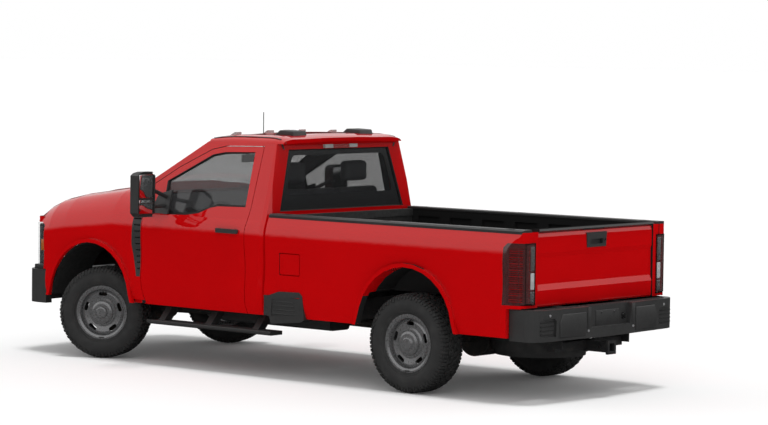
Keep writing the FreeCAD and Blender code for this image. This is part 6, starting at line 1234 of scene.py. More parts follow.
@dataclass
class RearBumperTrim:
    """Frames, face panels, step pads, the blank plate, the trailer socket and sensors of the rear bumper.

    Attributes:
        face_height: Height at which the bumper's face is measured.
        pocket_lean: How many times further the upper outer corner is cut off than the others.
        post: Corners of the slanted post at each end of the middle recess, outwards from it and upwards.
        panel_z: Heights of a face panel's foot, shoulder and top.
        panel_sinks: How deep its back lies behind the face, and at its cut corner.
        rib_corners: Two corners of a foothold's lowest rib, seen from above.
        socket_shares: Size of the lid and of its hinge, and the hinge's height, as shares of the socket's.
        sensor_shares: Radii of a sensor's rim and of its eye's two ends, as shares of its radius.
    """

    face_height: float = 0.6
    pocket_x: Span = (0.672, 0.900)
    pocket_z: Span = (0.520, 0.690)
    pocket_cut: float = 0.022
    pocket_lean: float = 1.6
    frame_width: float = 0.015
    frame_height: float = 0.010
    frame_sink: float = 0.004
    recess_x: float = 0.285
    post: Spans = ((-0.004, 0.586), (0.030, 0.572), (0.030, 0.742), (-0.012, 0.742))
    post_probe: float = 0.02
    post_root: float = 0.03
    post_depth: float = 0.037
    panel_x: Span = (0.335, 0.650)
    panel_z: Numbers = (0.520, 0.640, 0.706)
    panel_cut: float = 0.030
    panel_sinks: Span = (0.006, 0.004)
    panel_depth: float = 0.014
    lip_start: float = 0.300
    lip_length: float = 0.60
    lip_steps: int = 8
    lip_z: float = 0.728
    lip_sink: float = 0.002
    lip_size: Span = (0.020, 0.006)
    pad_x: Span = (0.31, 0.86)
    pad_probe: Span = (0.5, 2.84)
    pad_front: float = 2.805
    pad_ridges: int = 5
    ridge_pitch: float = 0.014
    ridge_width: float = 0.007
    ridge_height: float = 0.003
    ridge_root: float = 0.002
    ridge_taper: float = 0.012
    rib_corners: Spans = ((0.700, 2.880), (0.872, 2.8895))
    rib_z: float = 0.548
    rib_count: int = 4
    rib_pitch: float = 0.032
    rib_height: float = 0.012
    middle_pad: tuple[Point, Point] = ((-0.27, 2.812, 0.742), (0.27, 2.880, 0.7475))
    plate_half: float = 0.155
    plate_z: Span = (0.552, 0.704)
    plate_probe: float = 0.65
    plate_ends: Span = (0.002, 0.005)
    plate_margins: Span = (0.014, 0.012)
    plate_frame: float = 0.010
    bolt_x: float = 0.089
    bolt_drop: float = 0.018
    bolt_ends: Span = (0.002, 0.011)
    bolt_radii: Span = (0.0075, 0.006)
    socket_x: float = -0.215
    socket_z: float = 0.640
    socket_half: float = 0.030
    socket_frame: float = 0.007
    socket_height: float = 0.018
    socket_shares: Numbers = (0.72, 0.6, 0.9)
    lid_height: float = 0.010
    hinge_height: float = 0.014
    hinge_radius: float = 0.004
    sensor_places: Spans = ((0.300, 0.556), (0.7650, 0.6990))
    sensor_radius: float = 0.012
    sensor_ends: Numbers = (0.002, 0.0035, 0.005)
    sensor_shares: Numbers = (0.85, 0.6, 0.5)

    def frames(self, skin: Skin) -> None:
        """A raised frame round each corner foothold, and a slanted post at each end of the middle recess."""
        piece = Piece("bumper_step_frames")
        (left, right), (low, high), cut = self.pocket_x, self.pocket_z, self.pocket_cut
        outline = (
            (left, low + cut), (left + cut, low), (right - cut, low), (right, low + cut), (right, high - cut),
            (right - cut * self.pocket_lean, high), (left + cut, high), (left, high - cut))
        corners = [tuple(skin.from_rear(x, z) - Y_AXIS * self.frame_sink) for x, z in outline]
        piece.ring(corners, self.frame_width, Y_AXIS * self.frame_height, bevel=0.003)
        piece.mirrored()
        for side in (-1, 1):
            x = side * self.recess_x
            base = skin.from_rear(x + side * self.post_probe, self.face_height).y - self.post_root
            piece.prism(
                [(x + side * out, base, z) for out, z in self.post], Y_AXIS * self.post_depth, bevel=0.004)
        piece.finish(BUMPER_PLASTIC)

    def panels(self, skin: Skin) -> None:
        """A raised, chamfered panel on each half of the bumper's face, and a lip along its top."""
        piece = Piece("bumper_face_panels")
        inner, outer = (skin.from_rear(x, self.face_height) for x in self.panel_x)
        (low, shoulder, high), (sink, corner_sink) = self.panel_z, self.panel_sinks
        piece.prism([
            (inner.x, inner.y - sink, low), (outer.x, outer.y - sink, low),
            (outer.x, outer.y - sink, shoulder), (outer.x - self.panel_cut, outer.y - corner_sink, high),
            (inner.x, inner.y - sink, high)],
            Y_AXIS * self.panel_depth, bevel=0.006, segments=3)
        piece.mirrored()
        piece.finish(BUMPER_PLASTIC)
        lip = Piece("bumper_top_lips")
        path = [
            skin.from_rear(self.lip_start + self.lip_length * index / self.lip_steps, self.lip_z)
            - Y_AXIS * self.lip_sink for index in range(self.lip_steps + 1)]
        lip.strip(path, Z_AXIS, *self.lip_size)
        lip.mirrored()
        lip.finish(BUMPER_PLASTIC)

    def pads(self, skin: Skin) -> None:
        """Grooved step pads on top of the bumper, and ribs inside the footholds."""
        piece = Piece("bumper_step_pads")
        start, end = self.pad_x
        top = skin.from_top(*self.pad_probe).z
        for index in range(self.pad_ridges):
            y = self.pad_front + index * self.ridge_pitch
            piece.box(
                (start, y, top - self.ridge_root),
                (end - index * self.ridge_taper, y + self.ridge_width, top + self.ridge_height),
                bevel=0.0015, segments=1)
        near, far = self.rib_corners
        for index in range(self.rib_count):
            z = self.rib_z + index * self.rib_pitch
            piece.box((*near, z), (*far, z + self.rib_height), bevel=0.003)
        piece.mirrored()
        piece.box(*self.middle_pad, bevel=0.002, segments=1)
        piece.finish(STEP_RUBBER)

    def rectangle(self, across: Span, up: Span, y: float) -> list[Point]:
        """The corners of an upright rectangle that faces the rear."""
        (left, right), (low, high) = across, up
        return [(left, y, low), (right, y, low), (right, y, high), (left, y, high)]

    def plate(self, skin: Skin) -> None:
        """The blank plate panel in its frame, with two bolts."""
        rear = skin.from_rear(0.0, self.plate_probe).y
        (low, high), (root, face) = self.plate_z, self.plate_ends
        panel = Piece("blank_plate_panel")
        panel.box(
            (-self.plate_half, rear - root, low), (self.plate_half, rear + face, high),
            bevel=0.008, segments=3)
        beside, above = self.plate_margins
        half = self.plate_half + beside
        panel.ring(
            self.rectangle((-half, half), (low - above, high + above), rear), self.plate_frame,
            Y_AXIS * self.plate_frame, bevel=0.002)
        panel.finish(BUMPER_PLASTIC)
        bolts = Piece("plate_bolts")
        root, face = self.bolt_ends
        for x in (-self.bolt_x, self.bolt_x):
            z = high - self.bolt_drop
            bolts.rod((x, rear + root, z), (x, rear + face, z), *self.bolt_radii, segments=12)
        bolts.finish(BRIGHT_STEEL)

    def socket(self, skin: Skin) -> None:
        """The square trailer socket with its hinged lid closed."""
        x, z, half = self.socket_x, self.socket_z, self.socket_half
        rear = skin.from_rear(x, z).y
        lid, hinge, hinge_rise = (half * share for share in self.socket_shares)
        piece = Piece("trailer_socket")
        piece.ring(
            self.rectangle((x - half, x + half), (z - half, z + half), rear), self.socket_frame,
            Y_AXIS * self.socket_height, bevel=0.003)
        piece.box((x - lid, rear, z - lid), (x + lid, rear + self.lid_height, z + lid), bevel=0.004)
        y = rear + self.hinge_height
        piece.rod((x - hinge, y, z + hinge_rise), (x + hinge, y, z + hinge_rise), self.hinge_radius)
        piece.finish(GLOSS_BLACK)

    def sensors(self, skin: Skin) -> None:
        """Four small round parking sensors."""
        piece = Piece("parking_sensors")
        root, rim_end, eye_end = self.sensor_ends
        rim, eye, eye_tip = (self.sensor_radius * share for share in self.sensor_shares)
        for x, z in self.sensor_places:
            place = skin.from_rear(x, z)
            piece.rod(place - Y_AXIS * root, place + Y_AXIS * rim_end, self.sensor_radius, rim)
            piece.rod(place, place + Y_AXIS * eye_end, eye, eye_tip)
        piece.mirrored()
        piece.finish(SENSOR_SILVER)

    def build(self) -> None:
        """Make the bumper's pieces."""
        skin = Skin("rear_bumper")
        self.frames(skin)
        self.panels(skin)
        self.pads(skin)
        self.plate(skin)
        self.socket(skin)
        self.sensors(skin)


@dataclass
class TailgateTrim:
    """The camera eye at the end of the handle plate.

    Attributes:
        bezel_ends: How deep the bezel starts and how far it stands out.
        bezel_shares: Radii of its two ends, as shares of the eye's.
    """

    eye_x: float = -0.108
    eye_z: float = 1.252
    eye_radius: float = 0.0125
    eye_height: float = 0.008
    eye_share: float = 0.7
    bezel_ends: Span = (0.004, 0.006)
    bezel_shares: Span = (1.35, 1.2)

    def build(self) -> None:
        """Make the eye with its bezel."""
        skin = Skin("tailgate_handle")
        place = skin.from_rear(self.eye_x, self.eye_z)
        bezel = Piece("tailgate_eye_bezel")
        (root, face), (wide, narrow) = self.bezel_ends, self.bezel_shares
        bezel.rod(
            place - Y_AXIS * root, place + Y_AXIS * face, self.eye_radius * wide, self.eye_radius * narrow,
            segments=32)
        bezel.finish(BLACK_PLASTIC, "tailgate")
        eye = Piece("tailgate_eye")
        eye.rod(
            place, place + Y_AXIS * self.eye_height, self.eye_radius, self.eye_radius * self.eye_share,
            segments=32)
        eye.finish(GLOSS_BLACK, "tailgate")


@dataclass
class RoofTrim:
    """Ditch mouldings along the roof's edges, two low pods at its rear, and the seam behind it.

    Attributes:
        fall: Step inwards and step down of the mouldings' rear ends, from the roof's edge and its height.
        pod_slopes: How far a pod's top starts behind its front, and ends before its rear.
        seam_corners: Two corners of the seam's filler, seen from the side.
    """

    ditch_x: float = 0.735
    ditch_front: float = -0.735
    ditch_rear: float = 0.030
    ditch_width: float = 0.020
    ditch_height: float = 0.006
    steps: int = 14
    fall_top: float = 1.945
    fall: Span = (0.028, 0.055)
    fall_steps: int = 4
    fall_height: float = 0.004
    fall_shift: float = 0.003
    pod_x: float = 0.43
    pod_half: float = 0.085
    pod_front: float = -0.26
    pod_rear: float = -0.02
    pod_height: float = 0.040
    pod_slopes: Span = (0.07, 0.02)
    pod_drop: float = 0.006
    pod_root: float = 0.012
    seam_half: float = 0.72
    seam_corners: Spans = ((0.038, 1.926), (0.060, 1.956))

    def ditches(self, skin: Skin) -> None:
        """A black strip that follows the roof and turns down behind it."""
        piece = Piece("roof_ditch_mouldings")
        length = self.ditch_rear - self.ditch_front
        path = [
            skin.from_top(self.ditch_x, self.ditch_front + length * index / self.steps)
            for index in range(self.steps + 1)]
        piece.strip(path, X_AXIS, self.ditch_width, self.ditch_height)
        inwards, down = self.fall
        fall = [
            skin.from_rear(
                self.ditch_x - inwards * index / self.fall_steps,
                self.fall_top - down * index / self.fall_steps)
            for index in range(self.fall_steps + 1)]
        falling = piece.strip(fall, X_AXIS, self.ditch_width, self.fall_height)
        bmesh.ops.translate(piece.bm, verts=falling, vec=Y_AXIS * self.fall_shift)
        piece.mirrored()
        piece.finish(BLACK_PLASTIC)

    def pods(self, skin: Skin) -> None:
        """Two wedge-shaped black pods."""
        piece = Piece("roof_pods")
        front_slope, rear_slope = self.pod_slopes
        for x in (-self.pod_x, self.pod_x):
            base = skin.from_top(x, (self.pod_front + self.pod_rear) / 2).z - self.pod_root
            rise = base + self.pod_height + self.pod_root
            left = x - self.pod_half
            piece.prism([
                (left, self.pod_front, base), (left, self.pod_front + front_slope, rise),
                (left, self.pod_rear - rear_slope, rise - self.pod_drop),
                (left, self.pod_rear, base - self.pod_root)],
                X_AXIS * self.pod_half * 2, bevel=0.010, segments=3)
        piece.finish(BLACK_PLASTIC)

    def seam(self) -> None:
        """Close the line between the roof and the panel over the rear window."""
        piece = Piece("roof_rear_seam")
        near, far = self.seam_corners
        piece.box((-self.seam_half, *near), (self.seam_half, *far), bevel=0.002, segments=1)
        piece.finish(BODY_PAINT, "truck", Slot.BODY_PAINT)

    def build(self) -> None:
        """Make the roof's pieces."""
        self.seam()
        skin = Skin("cab_roof", "cab_body")
        self.ditches(skin)
        self.pods(skin)


@dataclass
class Glazing:
    """Rubber seals round the windows, and the mirror inside the windscreen.

    Attributes:
        seal_size: Width and height of a door window's seal; the other two sizes are alike.
        mirror_half: Half of the inner mirror's size along each axis.
        stalk_ends: Steps from the mirror's middle to the ends of its stalk, forwards and upwards.
    """

    seal_size: Span = (0.018, 0.004)
    screen_way: Point = (0, -0.5, 0.87)
    screen_size: Span = (0.030, 0.003)
    rear_size: Span = (0.014, 0.004)
    mirror_place: Point = (0.0, -0.985, 1.765)
    mirror_half: Point = (0.125, 0.014, 0.035)
    stalk_ends: Spans = ((0.01, 0.0), (0.075, 0.06))
    stalk_radii: Span = (0.010, 0.014)

    def build(self) -> None:
        """Make the seals and the inner mirror."""
        for side in Side:
            seal = Piece(f"door_window_seal_{side.ending}")
            seal.border(f"door_glass_{side.ending}", X_AXIS * side.value, *self.seal_size)
            seal.finish(SEAL_RUBBER, f"door_{side.ending}")
        screen = Piece("windscreen_seals")
        screen.border("cab_glass", Vector(self.screen_way), *self.screen_size)
        screen.border("cab_glass", Y_AXIS, *self.rear_size)
        screen.finish(SEAL_RUBBER)
        (x, y, z), (wide, deep, tall) = self.mirror_place, self.mirror_half
        inside = Piece("inner_mirror")
        inside.box((x - wide, y - deep, z - tall), (x + wide, y + deep, z + tall), bevel=0.012, segments=3)
        foot, tip = ((x, y - ahead, z + up) for ahead, up in self.stalk_ends)
        inside.rod(foot, tip, *self.stalk_radii)
        inside.finish(BLACK_PLASTIC)


@dataclass
class TowMirrorPanes:
    """Two mirror panes and an amber lamp on each tow mirror.

    Attributes:
        pane_probe: Place across the vehicle at which the shell's rear is measured.
        lamp_probe: The same for its front, with the height.
        lamp_ends: How deep the lamp starts, and how far back it reaches.
    """

    pane_x: Span = (1.152, 1.322)
    panes: Spans = ((1.318, 1.436), (1.452, 1.650))
    pane_probe: float = 1.25
    root: float = 0.003
    thickness: float = 0.005
    lamp_x: Span = (1.270, 1.325)
    lamp_z: Span = (1.40, 1.56)
    lamp_probe: Span = (1.30, 1.48)
    lamp_ends: Span = (0.004, 0.02)

    def build(self) -> None:
        """Make the panes, and the amber lens on each shell's front."""
        skin = Skin("mirror_left")
        for side in Side:
            panes = Piece(f"mirror_panes_{side.ending}")
            inner, outer = self.pane_x
            for low, high in self.panes:
                rear = skin.from_rear(self.pane_probe, (low + high) / 2).y
                panes.box((inner, rear - self.root, low), (outer, rear + self.thickness, high), bevel=0.004)
            lamp = Piece(f"mirror_amber_lamp_{side.ending}")
            front = skin.from_front(*self.lamp_probe).y
            (inner, outer), (low, high), (root, depth) = self.lamp_x, self.lamp_z, self.lamp_ends
            lamp.box((inner, front - root, low), (outer, front + depth, high), bevel=0.005, segments=3)
            for piece, finish in ((panes, MIRROR_GLASS), (lamp, AMBER_LENS)):
                piece.on_side(side)
                piece.finish(finish, f"door_{side.ending}", Slot.LAMP_CLEAR)


@dataclass
class FenderVentSlats:
    """The ladder of slots in each fender vent.

    Attributes:
        reach: Share of the vent's length that the lowest slat takes, and how much more the highest.
    """

    low: float = 0.815
    high: float = 1.245
    count: int = 9
    front: float = -1.452
    rear: float = -1.366
    reach: Span = (0.35, 0.6)
    probe: float = 0.01
    sink: float = 0.002
    proud: float = 0.0045
    height: float = 0.016

    def build(self) -> None:
        """Make the slats on the vents' surface."""
        skin = Skin("fender_trim")
        piece = Piece("fender_vent_slats")
        least, more = self.reach
        for index in range(self.count):
            share = index / (self.count - 1)
            z = self.low + (self.high - self.low) * share
            front = self.rear + (self.front - self.rear) * (least + more * share)
            x = skin.from_side(self.rear - self.probe, z).x
            piece.box((x - self.sink, front, z), (x + self.proud, self.rear, z + self.height), bevel=0.002)
        piece.mirrored()
        piece.finish(GLOSS_BLACK)


@dataclass
class SideStepTrim:
    """Treads on the running boards, and the black lining of the box step's pocket.

    Attributes:
        tread_probe: Step outwards and place along the vehicle at which the board's top is measured.
        ridge_ends: How deep a ridge starts and how far it stands out.
        lining_ends: How deep the lining starts and how far it stands out.
        rib_margins: Distances of a rib from the lining's front and rear.
    """

    tread_x: Span = (0.882, 0.972)
    tread_front: float = -1.215
    tread_rear: float = 0.145
    tread_probe: Span = (0.02, -0.5)
    ridges: int = 6
    ridge_share: float = 0.55
    ridge_step: float = 0.02
    ridge_ends: Span = (0.002, 0.004)
    pocket_y: Span = (0.100, 0.512)
    pocket_z: Span = (0.522, 0.684)
    pocket_probe: float = 0.69
    lining_ends: Span = (0.012, 0.0015)
    rib_count: int = 4
    rib_start: float = 0.018
    rib_pitch: float = 0.034
    rib_margins: Span = (0.02, 0.05)
    rib_taper: float = 0.012
    rib_height: float = 0.010
    rib_proud: float = 0.005

    def treads(self) -> None:
        """Ridges along the top of each running board."""
        piece = Piece("running_board_treads")
        (near, far), (beside, along), (root, height) = self.tread_x, self.tread_probe, self.ridge_ends
        top = Skin("side_steps").from_top(near + beside, along).z
        pitch = (far - near) / self.ridges
        for index in range(self.ridges):
            x = near + pitch * index
            piece.box(
                (x, self.tread_front + self.ridge_step * index, top - root),
                (x + pitch * self.ridge_share, self.tread_rear, top + height), bevel=0.0015, segments=1)
        piece.mirrored()
        piece.finish(STEP_RUBBER)

    def linings(self) -> None:
        """A ribbed panel in each box step's pocket."""
        piece = Piece("box_step_lining")
        (front, rear), (low, high), (root, height) = self.pocket_y, self.pocket_z, self.lining_ends
        face = Skin("bed_side_left").from_side((front + rear) / 2, self.pocket_probe).x
        piece.box((face - root, front, low), (face + height, rear, high), bevel=0.001, segments=1)
        before, behind = self.rib_margins
        for index in range(self.rib_count):
            z = low + self.rib_start + index * self.rib_pitch
            piece.box(
                (face, front + before, z),
                (face + self.rib_proud, rear - behind - index * self.rib_taper, z + self.rib_height),
                bevel=0.002, segments=1)
        piece.mirrored()
        piece.finish(BUMPER_PLASTIC)

    def build(self) -> None:
        """Make the treads and the linings."""
        self.treads()
        self.linings()


@dataclass
class HeadlampDetail:
    """Dark housings, projector cups, light bars and amber markers inside both headlamps.

    Attributes:
        cup_sinks: How far a cup's rim and a projector's back lie behind the lens.
        glass_shares: Radii of a projector's two ends, as shares of the cup's.
        bar_ends: How far a bar's front and back lie behind the lens.
        marker_ends: How deep a marker starts and how far it stands out.
    """

    housing_gap: float = 0.014
    bar_reach: Span = (0.652, 0.868)
    bar_heights: Numbers = (0.790, 0.945, 1.110)
    bar_probe: float = 0.95
    bar_ends: Span = (0.004, 0.018)
    bar_thickness: float = 0.014
    cup_x: float = 0.735
    cup_heights: Span = (0.865, 1.035)
    cup_radius: float = 0.052
    cup_way: Point = (0.17, -0.985, 0.0)
    cup_sinks: Span = (0.004, 0.02)
    cup_share: float = 0.6
    depth: float = 0.030
    glass_shares: Span = (0.62, 0.45)
    glass_proud: float = 0.002
    marker_heights: Span = (0.905, 1.005)
    marker_y: Span = (-2.650, -2.605)
    marker_probe: float = -2.62
    marker_ends: Span = (0.006, 0.0025)

    def housings(self) -> None:
        """A dark body inside each lens."""
        housing = Piece("headlamp_housings")
        housing.shrunk("headlamps", self.housing_gap)
        housing.finish(GLOSS_BLACK)

    def bars(self, skin: Skin) -> None:
        """A bright bar above, between and below the cups."""
        piece = Piece("headlamp_light_bars")
        start, end = (skin.from_front(x, self.bar_probe) for x in self.bar_reach)
        near, far = self.bar_ends
        for z in self.bar_heights:
            piece.prism([
                (start.x, start.y + near, z), (end.x, end.y + near, z), (end.x, end.y + far, z),
                (start.x, start.y + far, z)], Z_AXIS * self.bar_thickness, bevel=0.003)
        piece.mirrored()
        piece.finish(CHROME, "truck", Slot.LAMP_CLEAR)

    def build(self) -> None:
        """Make the housings, the bars, the cups, their projectors and the amber markers."""
        skin = Skin("headlamps")
        self.housings()
        self.bars(skin)
        cups, glass, amber = Piece("headlamp_cups"), Piece("headlamp_projectors"), Piece("headlamp_markers")
        way = Vector(self.cup_way).normalized()
        (rim, back), (wide, narrow) = self.cup_sinks, self.glass_shares
        for z in self.cup_heights:
            front = skin.from_front(self.cup_x, z)
            cups.rod(
                front - way * self.depth, front - way * rim, self.cup_radius * self.cup_share,
                self.cup_radius, segments=40)
            glass.rod(
                front - way * back, front + way * self.glass_proud, self.cup_radius * wide,
                self.cup_radius * narrow, segments=40)
        (low, high), (front, rear), (root, height) = self.marker_heights, self.marker_y, self.marker_ends
        x = skin.from_side(self.marker_probe, low).x
        amber.box((x - root, front, low), (x + height, rear, high), bevel=0.004)
        for piece, finish in ((cups, CHROME), (glass, REVERSE_LENS), (amber, AMBER_LENS)):
            piece.mirrored()
            piece.finish(finish, "truck", Slot.LAMP_CLEAR)


@dataclass
class FrontBumperTrim:
    """Fog lamps, a blank plate bracket, the air intake, the valance and the top strip of the front bumper.

    Attributes:
        rim_ends: How deep a lamp's rim starts and how far it stands out.
        rim_shares: Radii of its two ends, as shares of the lamp's.
        bracket_ends: How deep the bracket stands out, and how far back it reaches.
        bar_size: Half the height and the depth of the lattice's level bars.
        upright_size: Half the width and the depth of its upright bars.
        side_valance: Two corners of a panel under a headlamp, seen from the side.
        middle_valance: The same for the panel under the grille.
    """

    lamp_x: float = 0.735
    lamp_z: float = 0.600
    lamp_radius: float = 0.046
    lamp_probe: float = 0.03
    rim_ends: Span = (0.006, 0.008)
    rim_shares: Span = (1.28, 1.12)
    glass_proud: float = 0.0105
    glass_share: float = 0.92
    bracket_half: float = 0.155
    bracket_z: Span = (0.655, 0.722)
    bracket_probe: float = 0.70
    bracket_ends: Span = (0.004, 0.01)
    intake_half: float = 0.385
    intake_z: Span = (0.496, 0.632)
    intake_y: float = -2.912
    intake_depth: float = 0.008
    bar_count: int = 4
    bar_size: Span = (0.005, 0.012)
    upright_count: int = 17
    upright_size: Span = (0.004, 0.008)
    side_lap: float = 0.02
    side_end: float = 0.925
    side_valance: Spans = ((-2.760, 0.728), (-2.620, 0.776))
    middle_valance: Spans = ((-2.900, 0.698), (-2.630, 0.712))
    strip_tiles: int = 4
    tile_pitch: float = 0.1
    tile_half: float = 0.05
    tile_probe: float = 0.731
    tile_z: Span = (0.727, 0.7365)
    tile_ends: Span = (0.001, 0.05)

    def intake(self) -> None:
        """Close the air opening with a dark panel behind a coarse lattice."""
        piece = Piece("front_air_intake")
        (low, high), half, y = self.intake_z, self.intake_half, self.intake_y
        piece.box((-half, y, low), (half, y + self.intake_depth, high), bevel=0.001, segments=1)
        thick, deep = self.bar_size
        for index in range(1, self.bar_count + 1):
            z = low + (high - low) * index / (self.bar_count + 1)
            piece.box((-half, y - deep, z - thick), (half, y, z + thick), bevel=0.002, segments=1)
        thick, deep = self.upright_size
        for index in range(1, self.upright_count + 1):
            x = -half + 2 * half * index / (self.upright_count + 1)
            piece.box((x - thick, y - deep, low), (x + thick, y, high), bevel=0.002, segments=1)
        piece.finish(BUMPER_PLASTIC)

    def valance(self) -> None:
        """Fill the gaps under the grille and under the headlamps."""
        grille_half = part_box("grille")[1][0]
        piece = Piece("front_valance")
        near, far = self.side_valance
        piece.box((grille_half - self.side_lap, *near), (self.side_end, *far), bevel=0.004)
        piece.mirrored()
        near, far = self.middle_valance
        piece.box((-grille_half, *near), (grille_half, *far), bevel=0.003, segments=1)
        piece.finish(BLACK_PLASTIC)

    def lamps(self, skin: Skin) -> None:
        """A round fog lamp in a rim at each end of the bumper."""
        place = skin.from_front(self.lamp_x, self.lamp_z)
        beside = skin.from_front(self.lamp_x + self.lamp_probe, self.lamp_z)
        way = (beside - place).cross(Z_AXIS).normalized()
        way = way if way.y < 0 else -way
        rims, glass = Piece("fog_lamp_rims"), Piece("fog_lamp_lenses")
        (root, face), (wide, narrow) = self.rim_ends, self.rim_shares
        rims.rod(
            place - way * root, place + way * face, self.lamp_radius * wide, self.lamp_radius * narrow,
            segments=40)
        glass.rod(
            place, place + way * self.glass_proud, self.lamp_radius, self.lamp_radius * self.glass_share,
            segments=40)
        for piece, finish, slot in (
                (rims, BUMPER_PLASTIC, Slot.BLACK_PLASTIC), (glass, REVERSE_LENS, Slot.LAMP_CLEAR)):
            piece.mirrored()
            piece.finish(finish, "truck", slot)

    def top_strip(self, skin: Skin) -> None:
        """The strip along the bumper's top, and the blank plate bracket."""
        piece = Piece("front_bumper_trim")
        (low, high), (ahead, behind) = self.tile_z, self.tile_ends
        for index in range(-self.strip_tiles, self.strip_tiles + 1):
            start, end = (
                skin.from_front(x, self.tile_probe)
                for x in (index * self.tile_pitch - self.tile_half, index * self.tile_pitch + self.tile_half))
            piece.box(
                (start.x, min(start.y, end.y) - ahead, low), (end.x, max(start.y, end.y) + behind, high),
                bevel=0.001, segments=1)
        front = skin.from_front(self.bracket_half, self.bracket_probe).y
        (low, high), (ahead, behind) = self.bracket_z, self.bracket_ends
        piece.box(
            (-self.bracket_half, front - ahead, low), (self.bracket_half, front + behind, high),
            bevel=0.004)
        piece.finish(BUMPER_PLASTIC)

    def build(self) -> None:
        """Make the intake, the valance, the lamps and the top strip."""
        self.intake()
        self.valance()
        skin = Skin("front_bumper")
        self.lamps(skin)
        self.top_strip(skin)


@dataclass
class WheelDetail:
    """A valve stem and a balance weight on each wheel.

    Attributes:
        ending: The wheel's place in the CAD names.
        turn: The wheel's turn about the upright axis, in degrees.
        stem: Place along the axle and drop from the valve's radius of the stem's two ends.
        stem_cap: The same for its cap.
        weight: Two corners of the balance weight.
    """

    ending: str
    turn: float
    valve_radius: float = 0.186
    stem: Spans = ((0.062, 0.0), (0.092, 0.012))
    stem_radii: Span = (0.0045, 0.0035)
    stem_cap: Spans = ((0.088, 0.010), (0.104, 0.016))
    cap_radii: Span = (0.0052, 0.0048)
    weight: tuple[Point, Point] = ((0.097, -0.024, -0.226), (0.105, 0.024, -0.214))

    def build(self) -> None:
        """Make the stem near the rim's top, and the weight on its lip."""
        piece = Piece(f"wheel_valve_{self.ending}")
        for ends, radii in ((self.stem, self.stem_radii), (self.stem_cap, self.cap_radii)):
            start, end = ((x, 0.0, self.valve_radius - drop) for x, drop in ends)
            piece.rod(start, end, *radii, 16)
        piece.box(*self.weight, bevel=0.003)
        piece.on_wheel(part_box(f"rim_{self.ending}"), self.turn)
        piece.finish(BLACK_PLASTIC, f"wheel_{self.ending}")


@dataclass
class BedTrim:
    """Tie-down cleats on the bed's inner walls, floor panels beside the wheelhouses and stake pocket covers.

    Attributes:
        cleat: Foot, post and bar, each with its ends across the vehicle, half its length and its heights.
        panel_z: How far a panel's foot and top lie under the floor's top.
        plug_z: The same for a stake pocket's cover, under the rail caps' top.
    """

    places: Numbers = (0.30, 2.45)
    height: float = 1.02
    cleat: tuple[tuple[Span, float, Span], ...] = (
        ((0.838, 0.852), 0.035, (-0.03, 0.03)), ((0.815, 0.842), 0.012, (-0.008, 0.010)),
        ((0.812, 0.822), 0.028, (0.004, 0.016)))
    panel_ends: Spans = ((1.076, 1.222), (2.026, 2.168))
    panel_x: Span = (0.634, 0.852)
    panel_z: Span = (0.020, 0.001)
    plug_places: Numbers = (0.258, 1.328, 2.611)
    plug_x: Span = (0.874, 0.924)
    plug_half: float = 0.041
    plug_z: Span = (0.021, 0.006)

    def panels(self) -> None:
        """Close the floor in front of and behind each wheelhouse."""
        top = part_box("bed_floor")[1][2]
        piece = Piece("bed_floor_side_panels")
        (inner, outer), (foot, face) = self.panel_x, self.panel_z
        for front, rear in self.panel_ends:
            piece.box((inner, front, top - foot), (outer, rear, top - face), bevel=0.001, segments=1)
        piece.mirrored()
        piece.finish(BED_LINER)

    def plugs(self) -> None:
        """Sink a cover into each stake pocket of the rail caps."""
        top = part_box("bed_rail_caps")[1][2]
        piece = Piece("stake_pocket_covers")
        (inner, outer), (foot, face) = self.plug_x, self.plug_z
        for y in self.plug_places:
            piece.box(
                (inner, y - self.plug_half, top - foot), (outer, y + self.plug_half, top - face),
                bevel=0.004)
        piece.mirrored()
        piece.finish(CAP_PLASTIC)

    def cleats(self) -> None:
        """A hooked cleat on each wall near the bed's front and rear."""
        piece = Piece("bed_tie_downs")
        for y in self.places:
            for (inner, outer), half, (low, high) in self.cleat:
                piece.box(
                    (inner, y - half, self.height + low), (outer, y + half, self.height + high),
                    bevel=0.004)
        piece.mirrored()
        piece.finish(CHASSIS_COAT, "truck", Slot.CHASSIS)

    def build(self) -> None:
        """Make the panels, the covers and the cleats."""
        self.panels()
        self.plugs()
        self.cleats()


